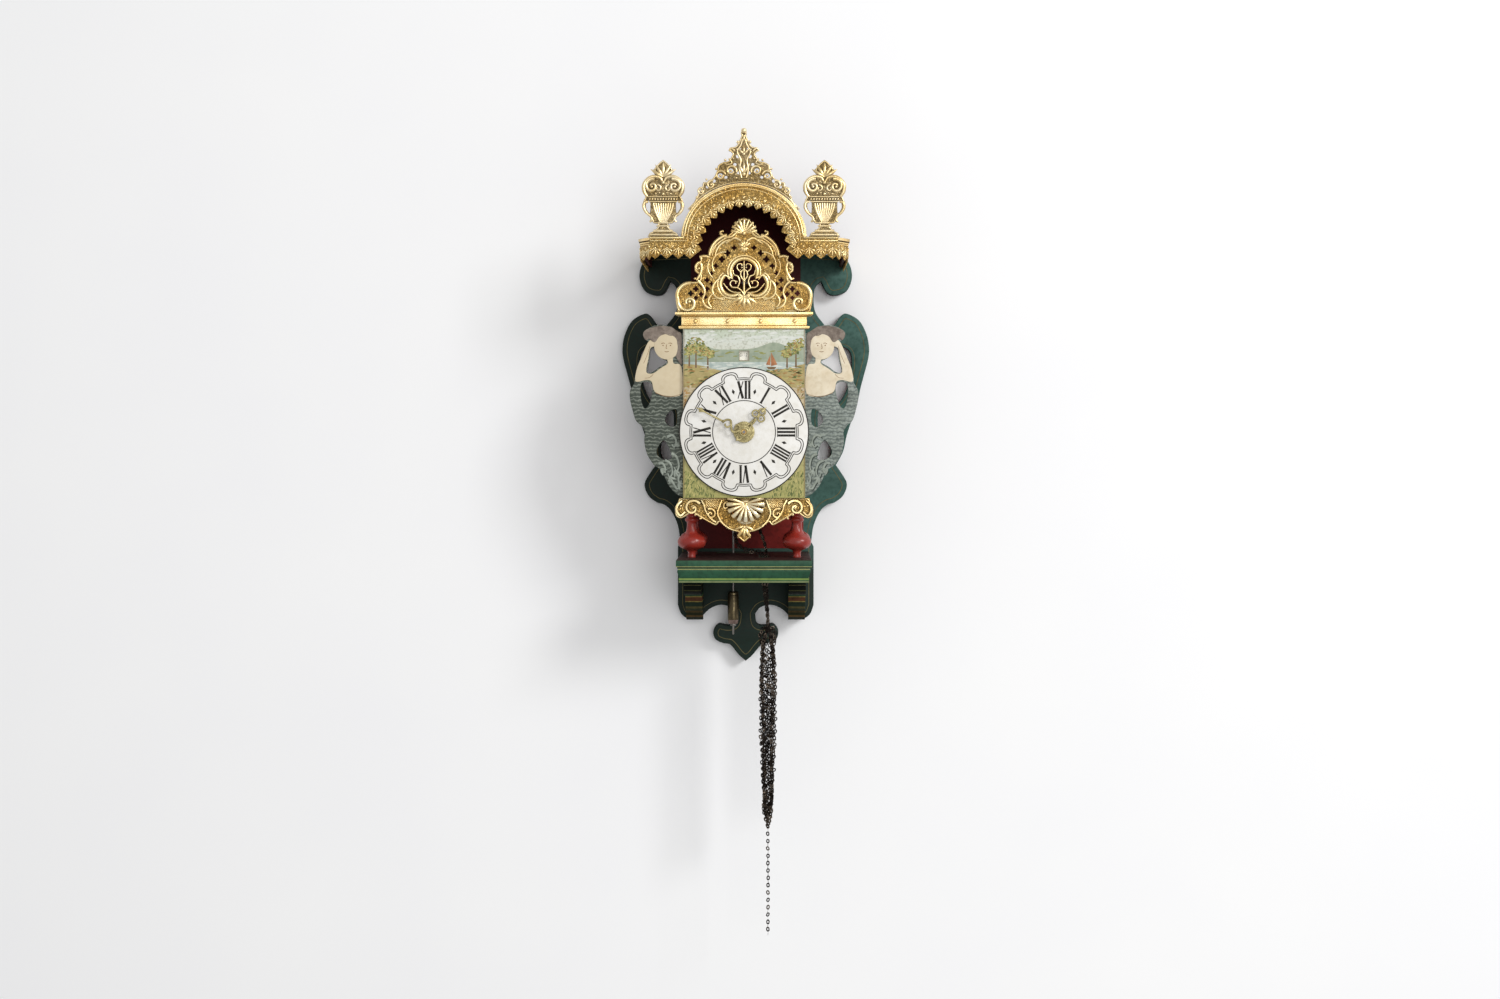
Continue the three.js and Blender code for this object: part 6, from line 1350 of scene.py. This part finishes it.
def mermaid(side, s):
    """A painted cut-out figure of plain folk kind, its tail curling down beside the dial"""
    def put_at(shares):
        """Shares as points on this side's panel"""
        dots = place(shares, 72, 226, 82.7, -88)
        return dots if s > 0 else flip(dots)

    def lines(shapes, width):
        """Shapes as lines of one half width"""
        return [[(x, z, width) for x, z in put_at(shape)] for shape in shapes]

    tail, skin, hair, brown, edge, leaves, shadow = range(7)
    thick = 4.2
    face = PANEL_BACK - thick
    outline = [(s * 76.7, 133.5)] + soft(put_at(MERMAID_SHARES)) + [(s * 76.7, -88)]
    holes = [catmull(put_at(hole), 5, True) for hole in MERMAID_HOLE_SHARES]
    maker = Make()
    maker.take(plate([outline] + holes, thick, PANEL_BACK, 0.7), tail)
    for f in maker.bm.faces:
        if f.normal.y > -0.5:
            f.material_index = edge
    [(head_x, head_z)] = put_at([(0.305, 0.903)])
    head = [(head_x + 17.2 * math.cos(a), head_z + 18.0 * math.sin(a))
            for a in (2 * math.pi * k / 40 for k in range(40))]
    maker.take(plate([catmull(put_at(SKIN_SHARES), 4, True)], 1.0, face + 0.4, 0.45), skin)
    maker.take(plate([head], 1.4, face + 0.4, 0.6), skin)
    maker.take(plate([catmull(put_at(HAIR_SHARES), 4, True)], 1.5, face + 0.3, 0.6), hair)
    maker.take(strands(lines(LOCKS, 0.55), face - 1.0, 0.7, steps=4), hair)
    brow = [(2.4, 3.6, 0.3), (5, 4.3, 0.45), (7.5, 3.0, 0.35)]
    nose = [(-s * 0.2, 3, 0.3), (s * 0.9, -2.6, 0.4), (-s * 0.6, -3.0, 0.3)]
    mouth = [(-3.0, -7, 0.3), (0, -7.7, 0.5), (3.0, -7, 0.3)]
    drawn = [[(head_x + x, head_z + z, w) for x, z, w in line] for line in (flip(brow), brow, nose, mouth)]
    eyes = [(head_x + x, head_z + 1.0, 0.9) for x in (-5, 5)]
    maker.take(strands(drawn, face - 1.0, 0.4, steps=4), brown)
    maker.take(bosses(eyes, face - 1.0, 0.3, 8), brown)
    maker.take(strands(lines(BODY_LINES, 0.35), face - 0.55, 0.5, steps=5), brown)
    curls = [[(x, z, 1.9 - 0.28 * k) for k, (x, z) in enumerate(put_at(curl))] for curl in CURLS]
    under = [[(x + 2.0, z - 1.7, 0.7) for x, z, _ in curl] for curl in curls]
    maker.take(strands(curls, face - 0.1, 0.6, steps=5), leaves)
    maker.take(strands(under, face - 0.05, 0.4, steps=5), shadow)
    for foot, ways in FINS:
        [(x, z)] = put_at([foot])
        fin = spray(x, z, [way if s > 0 else 180 - way for way in ways], 10, 1.7)
        maker.take(strands(fin, face - 0.2, 0.7), leaves)
    finishes = [TAIL, SKIN, HAIR, FEATURES, BOARD_EDGE, LEAF_GREY, TAIL_DARK]
    maker.piece(f"mermaid_{side}_cutout", finishes, "clock_body", [f"mermaid_{side}"], "painted_panel", 50)


mermaid("left", -1)
mermaid("right", 1)

# Dial: the plate with a hole for the hands and a window for the date, and its lake in thin touches of paint
SKY, FAR_HILLS, LAKE, SHORE, MID, LIGHT, DEEP, RUSSET, BARK, PALE_CLOUD, SAILS = range(11)
PAINTED_HALF = 82
DIAL_HALF, DIAL_FOOT, DIAL_TOP = 82.4, -89, 139
WINDOW = [(-6.6, 96.4), (6.6, 96.4), (6.6, 109.6), (-6.6, 109.6)]
maker = Make()
dial_loop = [(-DIAL_HALF, DIAL_FOOT), (DIAL_HALF, DIAL_FOOT), (DIAL_HALF, DIAL_TOP), (-DIAL_HALF, DIAL_TOP)]
date_window = [(-6, 97), (6, 97), (6, 109), (-6, 109)]
maker.take(plate([dial_loop, round_loop(0, 0, 7.4, 24), date_window], DIAL_BACK - DIAL_Y, DIAL_BACK, 0.35))


def dab(loop, slot, lift, holes=()):
    """A thin painted shape that lies on the dial"""
    maker.take(plate([loop, *holes], 0.12, DIAL_Y + 0.05 - lift * 0.02, 0.05, 1), slot)


def daubs(slot, lift, items):
    """Small flat touches of the brush, clear of the window: middle, half length, half width, angle"""
    bm = bmesh.new()
    for i, (x, z, long, wide, angle) in enumerate(items):
        if abs(x) + long > 81.8 or (abs(x) < 6.6 + long and 95.5 - wide < z < 110.5 + wide):
            continue
        middle = Matrix.Translation((x * MM, (DIAL_Y - lift - i * 0.0013) * MM, z * MM))
        at = middle @ FACE @ Matrix.Rotation(angle, 4, "Z") @ Matrix.Diagonal((long, wide, 1, 1))
        bmesh.ops.create_circle(bm, cap_ends=True, segments=9, radius=MM, matrix=at)
    maker.take(done(bm), slot)


def scatter(count, x0, x1, z0, z1, long, wide, lean=0.0, wander=0.3):
    """Touches strewn over a rectangle"""
    return [(draw.uniform(x0, x1), draw.uniform(z0, z1), long * draw.uniform(0.6, 1.3),
             wide * draw.uniform(0.6, 1.3), lean + draw.uniform(-wander, wander)) for _ in range(count)]


hills = catmull([(-82, 112), (-60, 118), (-38, 112), (-12, 111.5), (14, 113), (40, 121), (64, 114),
                 (82, 117)], 6)
dab([(-82, 94)] + hills + [(82, 94)], FAR_HILLS, 0, [WINDOW])
dab([(-82, 76), (-82, 94.5), (82, 94.5), (82, 76)], LAKE, 1)
dab([(-82, 60)] + catmull([(-82, 92), (-60, 90), (-36, 84), (-10, 79), (12, 78)], 6) + [(10, 60)], SHORE, 2)
dab([(20, 60)] + catmull([(26, 76), (46, 83), (64, 88), (82, 92)], 6) + [(82, 60)], SHORE, 2)
daubs(PALE_CLOUD, 0.1, scatter(60, -80, 80, 122, 137, 6, 1.3, 0.06, 0.2))
daubs(SKY, 0.1, scatter(40, -80, 80, 119, 137, 5, 1.1, 0.0, 0.2))
daubs(MID, 0.1, scatter(34, -80, 80, 98, 110, 4, 0.9, 0.1, 0.3))
daubs(PALE_CLOUD, 0.1, scatter(46, -70, 76, 84, 94, 5, 0.45, 0.0, 0.04))
for x, z in ((-65, 92), (-49, 90), (-74, 92), (70, 92), (58, 90)):
    dab([(x - 1.3, z - 6), (x + 1.3, z - 6), (x + 0.8, z + 20), (x - 0.6, z + 20)], BARK, 3)
CROWNS = [(-66, 118, 12), (-56, 110, 9), (-75, 110, 9), (-47, 106, 7), (66, 113, 10), (74, 120, 8),
          (57, 106, 7)]
for x, z, r in CROWNS:
    for slot, lift, count, size in ((DEEP, 0.11, 24, 2.4), (MID, 0.14, 26, 2.0), (LIGHT, 0.17, 20, 1.5),
                                    (RUSSET, 0.19, 8, 1.3)):
        touches = []
        for _ in range(count):
            a, d = draw.uniform(0, 2 * math.pi), r * math.sqrt(draw.uniform(0, 1))
            touches.append((x + d * math.cos(a), z + 0.85 * d * math.sin(a), size * draw.uniform(0.7, 1.3),
                            size * 0.55, draw.uniform(-0.8, 0.8)))
        daubs(slot, lift, touches)
dab([(30, 88), (44, 88), (41, 84.5), (33, 84.5)], BARK, 3)
dab([(36.4, 89), (36.4, 108), (45, 91)], SAILS, 4)
dab([(35.4, 90), (35.4, 104), (29.5, 91)], SAILS, 4)
for slot in (SHORE, LIGHT, RUSSET, DEEP):
    reeds = scatter(34, -80, -8, 66, 90, 3.4, 0.8, 0.05, 0.25)
    reeds += scatter(34, 26, 80, 66, 90, 3.4, 0.8, 0.0, 0.25)
    daubs(slot, 0.14, [(x, z - 0.12 * (PAINTED_HALF - abs(x)) - 1, *rest) for x, z, *rest in reeds])
for slot, low in ((MID, -87), (LIGHT, -86), (DEEP, -88), (SKY, -86)):
    for s in (-1, 1):
        x0, x1 = sorted((s * 36, s * 81))
        daubs(slot, 0.12, scatter(46, x0, x1, low + 1, low + 14, 2.6, 0.6, 1.5, 0.4))
        x0, x1 = sorted((s * 60, s * 81))
        daubs(slot, 0.13, scatter(40, x0, x1, low + 12, low + 34, 2.8, 0.7, 1.4, 0.5))
for s in (-1, 1):
    for slot in (SHORE, RUSSET, SKY):
        x0, x1 = sorted((s * 72, s * 81))
        daubs(slot, 0.12, scatter(26, x0, x1, 24, 66, 2.4, 0.9, 0.4, 0.8))
    maker.take(strands([[(s * 81.2, 138, 0.5), (s * 81.2, -88, 0.5)]], DIAL_Y, 0.3), BARK)
maker.take(strands([[(x, z, 0.45) for x, z in WINDOW]], DIAL_Y, 0.5, closed=True), BARK)
maker.piece("dial_plate_painted", [DIAL_GROUND, HILL, WATER, BANK, *LEAVES, TRUNK, CLOUD, SAIL], "clock_body",
            ["dial_plate"], "painted_dial", 40)

# The white ring: lines, numerals and half-hour marks stand a hair proud, as paint does
RING_THICK, NUMERALS_AT, NUMERALS_HIGH = 2.5, 56.8, 23.5
RING_ROWS = [(7.6, RING_THICK), (86.9, RING_THICK), (87.5, 2.3), (87.6, 1.9), (87.6, 0), (7.6, 0),
             (7.6, RING_THICK)]
maker = Make()
maker.take(spin(RING_ROWS, 0, RING_BACK, 0, 96, Matrix.Rotation(math.pi / 2, 4, "X")))
ring_face = RING_BACK - RING_THICK


def stroke(a, b, wide):
    """A straight stroke from a to b, square ended"""
    way = Vector((b[0] - a[0], b[1] - a[1])).normalized()
    n = Vector((-way.y, way.x)) * wide / 2
    return [(a[0] + n.x, a[1] + n.y), (b[0] + n.x, b[1] + n.y), (b[0] - n.x, b[1] - n.y),
            (a[0] - n.x, a[1] - n.y)]


def numeral(text, high):
    """Strokes of a Roman numeral with its middle at the origin, and their shapes"""
    widths = {"I": 4.7, "V": 9.2, "X": 9.6}
    total = sum(widths[c] for c in text)
    x, out = -total / 2, []
    top, foot = high / 2, -high / 2
    for c in text:
        w = widths[c]
        mid = x + w / 2
        if c == "I":
            out.append(stroke((mid, foot), (mid, top), 3.0))
            for z in (foot, top):
                out.append(stroke((mid - 2.1, z), (mid + 2.1, z), 0.9))
        elif c == "V":
            out.append(stroke((x + 1.6, top), (mid + 0.4, foot), 3.4))
            out.append(stroke((x + w - 1.2, top), (mid + 0.2, foot), 1.3))
        else:
            out.append(stroke((x + 1.6, top), (x + w - 1.6, foot), 3.4))
            out.append(stroke((x + w - 1.4, top), (x + 1.4, foot), 1.3))
        x += w
    return out


marks = []
for hour, text in enumerate(("XII", "I", "II", "III", "IIII", "V", "VI", "VII", "VIII", "IX", "X", "XI")):
    a = math.radians(90 - hour * 30)
    squeeze = 0.86 if len(text) > 3 else 1.0
    for shape in numeral(text, NUMERALS_HIGH):
        marks.append([((NUMERALS_AT + z) * math.cos(a) + x * squeeze * math.sin(a),
                       (NUMERALS_AT + z) * math.sin(a) - x * squeeze * math.cos(a)) for x, z in shape])
    half = a - math.radians(15)
    lozenge = [(59.8, 0), (56, 2.1), (52.2, 0), (56, -2.1)]
    marks.append([(p * math.cos(half) - q * math.sin(half), p * math.sin(half) + q * math.cos(half))
                  for p, q in lozenge])
for loop in marks:
    maker.take(plate([loop], 0.14, ring_face + 0.04, 0.03, 1), 1)
lines = [arc(0, 0, 42.4, 0, 360, 0.6, 90)[:-1], arc(0, 0, 86.9, 0, 360, 0.75, 120)[:-1]]


def petals(base, top, half_wide):
    """A ring line with twelve rounded petals at the half hours"""
    out = []
    for k in range(12):
        mid = math.radians(75 - 30 * k)
        run = [(-half_wide - 1.6, 0), (-half_wide - 0.6, 0.25), (-half_wide - 0.15, 0.8)]
        for j in range(1, 22):
            a = math.pi * (1 - j / 22)
            run.append((math.copysign(abs(math.cos(a)) ** 0.82, math.cos(a)) * half_wide,
                        0.6 + (top - base - 0.6) * math.sin(a) ** 0.82))
        run += [(half_wide + 0.15, 0.8), (half_wide + 0.6, 0.25), (half_wide + 1.6, 0)]
        gap_points = [(half_wide + 1.6 + (40.4 - 2 * half_wide - 3.2) * j / 5, 0) for j in range(1, 5)]
        for off, high in run + gap_points:
            a = mid - off / 77.5
            out.append(((base + high) * math.cos(a), (base + high) * math.sin(a), 0.6))
    return out


lines += [petals(73.0, 82.0, 11.4), petals(70.6, 79.2, 9.0)]
maker.take(strands(lines, ring_face, 0.3, closed=True), 1)
maker.piece("chapter_ring_painted", [WHITE, PAINT_LINE], "clock_body", ["chapter_ring"], "chapter_enamel", 40)

# Date disc with its numbers
DAYS, DATE_Z, DATE_BACK, DATE_THICK, NUMBERS_AT = 31, 88, -169.5, 1.2, 16.6
maker = Make()
date_loops = [round_loop(0, DATE_Z, 22, 62), round_loop(0, DATE_Z, 2.35, 16)]
maker.take(plate(date_loops, DATE_THICK, DATE_BACK, 0.2))
for day in range(DAYS):
    text = bpy.data.curves.new("day", "FONT")
    text.body = str(day + 1)
    text.size = 6.6 * MM
    text.align_x = "CENTER"
    text.align_y = "CENTER"
    text.extrude = 0.05 * MM
    text.resolution_u = 2
    number = to_mesh(text)
    turned = FACE @ Matrix.Rotation(-2 * math.pi * day / DAYS, 4, "Z")
    out = Matrix.Translation((0, NUMBERS_AT * MM, 0)) @ Matrix.Diagonal((0.5, 1, 1, 1))
    number.transform(Matrix.Translation((0, (DATE_BACK - DATE_THICK) * MM, DATE_Z * MM)) @ turned @ out)
    maker.take(number, 1)
maker.piece("date_disc_numbered", [CARD, PAINT_LINE], "date", ["date_disc"], "date_paper", 40)

# Hands and alarm disc, drawn pointing up and turned to the photograph's time


def turned_by(points, angle):
    """Points turned clockwise round the arbor"""
    c, s = math.cos(angle), math.sin(angle)
    return [(p[0] * c + p[1] * s, -p[0] * s + p[1] * c) + tuple(p[2:]) for p in points]


def hand_piece(name, node, body, angle, loops, lines, dots, bore, hub, back):
    """A hand: a hub with its bore, flat blades, raised scrolls and beads, and tarnished cut edges"""
    maker = Make()
    maker.take(plate([round_loop(0, 0, hub, 32), round_loop(0, 0, bore, 24)], 1.6, back, 0.3))
    for group in loops:
        maker.take(plate([turned_by(loop, angle) for loop in group], 1.2, back - 0.1, 0.3))
    maker.take(strands([turned_by(line, angle) for line in lines], back - 0.8, 0.8, steps=4))
    maker.take(bosses(turned_by(dots, angle), back - 0.8, 0.7))
    for f in maker.bm.faces:
        if f.normal.y > -0.45:
            f.material_index = 1
    maker.piece(name, [HAND_BRASS, HAND_EDGE], body, [node], "brass", 50)


minute_blade = [(-1.4, 34), (-0.9, 60), (-3.6, 66), (-0.9, 68), (0, 75), (0.9, 68), (3.6, 66), (0.9, 60),
                (1.4, 34), (2.4, 30), (-2.4, 30)]
hand_piece("minute_hand_pierced", "minute_hand", "minute", math.radians(297), [[minute_blade]], [
    [(0, 5.5, 1.7), (-5.2, 10, 1.8), (-6.0, 15, 1.6), (0, 19.5, 1.7), (5.4, 23, 1.6), (4.2, 28, 1.4),
     (0, 31, 1.5)],
    [(0, 5.5, 1.5), (4.6, 9, 1.4), (4.4, 13, 1.2), (1.4, 14, 1.0)],
    [(0, 19.5, 1.3), (-4.4, 23, 1.3), (-3.2, 27, 1.1), (-1.0, 27, 0.9)],
    [(0, -5.0, 1.6), (-1.8, -8, 1.2), (0, -9, 1.0)]],
    [(0, 31.5, 2.2), (0, 19.5, 2.0), (0, 66, 1.6)], 3.75, 6.6, -185.2)
hour_tip = [(-1.6, 38), (0, 46), (1.6, 38), (3.0, 36), (-3.0, 36)]
hour_tail = [(-3.4, -6.5), (-4.6, -10), (0, -16.5), (4.6, -10), (3.4, -6.5)]
hand_piece("hour_hand_pierced", "hour_hand", "hour", math.radians(42),
           [[hour_tip], [hour_tail, round_loop(0, -10.2, 1.6, 12)]], [
    [(-3, 8, 1.4), (-1.6, 14, 1.2), (-1.0, 24, 1.2)], [(3, 8, 1.4), (1.6, 14, 1.2), (1.0, 24, 1.2)],
    arc(-5.0, 29, 4.4, 0, 360, 1.2, 18), arc(5.0, 29, 4.4, 0, 360, 1.2, 18),
    arc(0, 36.4, 4.2, -90, 270, 1.2, 18)],
    [(-5.0, 29, 1.3), (5.0, 29, 1.3), (0, 36.4, 1.2), (0, 21.5, 2.4), (0, 14, 2.0)], 6.35, 9.2, -182.4)


def at_angle(r, degrees):
    """A point of the dial so far from the arbor, at an angle from the right"""
    return r * math.cos(math.radians(degrees)), r * math.sin(math.radians(degrees))


ALARM_BACK = -179.0
ALARM_FACE = ALARM_BACK - 2.2
knurled = [at_angle(14.5 if k % 2 else 13.9, 3 * k) for k in range(120)]
ticks = [[(*at_angle(9.2, 30 * k), 0.3), (*at_angle(12.0, 30 * k), 0.4)] for k in range(12)]
dots = [(*at_angle(10.6, 15 + 30 * k), 1.0) for k in range(12)]
maker = Make()
maker.take(plate([knurled, round_loop(0, 0, 6.35, 24)], ALARM_BACK - ALARM_FACE, ALARM_BACK, 0.3))
maker.take(strands([arc(0, 0, r, 0, 360, 0.35, 48)[:-1] for r in (12.6, 8.6)], ALARM_FACE, 0.5, closed=True))
maker.take(strands(ticks, ALARM_FACE, 0.5))
maker.take(bosses(dots, ALARM_FACE, 0.5, 8))
maker.piece("alarm_disc_knurled", [HAND_BRASS], "alarm", ["alarm_disc"], "brass", 30)

# Wall, light and view. The wall is matt white paint with the faintest unevenness
wall_mat, wall_tree, _, (broad, grain) = start("matt_white_wall", (300, 2), (3, 2))
wall_colour = tint(wall_tree, lin("#f8f8f8"), "#f6f6f7", broad, 0.3, 0.7)
end(wall_tree, wall_colour, 0.0, grain, 0.9, 0.9, grain, 0.05, 0.2)
bm = bmesh.new()
bmesh.ops.create_grid(bm, x_segments=2, y_segments=2, size=6.0,
                      matrix=Matrix.Translation((0, 1 * MM, 0)) @ Matrix.Rotation(math.pi / 2, 4, "X"))
wall = bpy.data.objects.new("wall", done(bm))
wall.data.materials.append(wall_mat)
bpy.context.collection.objects.link(wall)


def lamp(name, x, y, z, size, power):
    """A square area lamp that looks at the clock's middle"""
    data = bpy.data.lights.new(name, "AREA")
    data.shape = "SQUARE"
    data.size, data.energy = size, power
    obj = bpy.data.objects.new(name, data)
    bpy.context.collection.objects.link(obj)
    obj.location = (x, y, z)
    obj.rotation_euler = (Vector((0, 0, 0.05)) - Vector((x, y, z))).to_track_quat("-Z", "Y").to_euler()


lamp("key", 4.2, -4.0, 2.7, 1.7, 185)
lamp("fill", 1.2, -4.6, 0.5, 2.2, 58)
world = bpy.data.worlds.new("studio")
bpy.context.scene.world = world
world.use_nodes = True
world.node_tree.nodes["Background"].inputs["Color"].default_value = (1, 1, 1, 1)
world.node_tree.nodes["Background"].inputs["Strength"].default_value = 0.52

bpy.context.scene.view_settings.view_transform = "Standard"
bpy.context.view_layer.update()
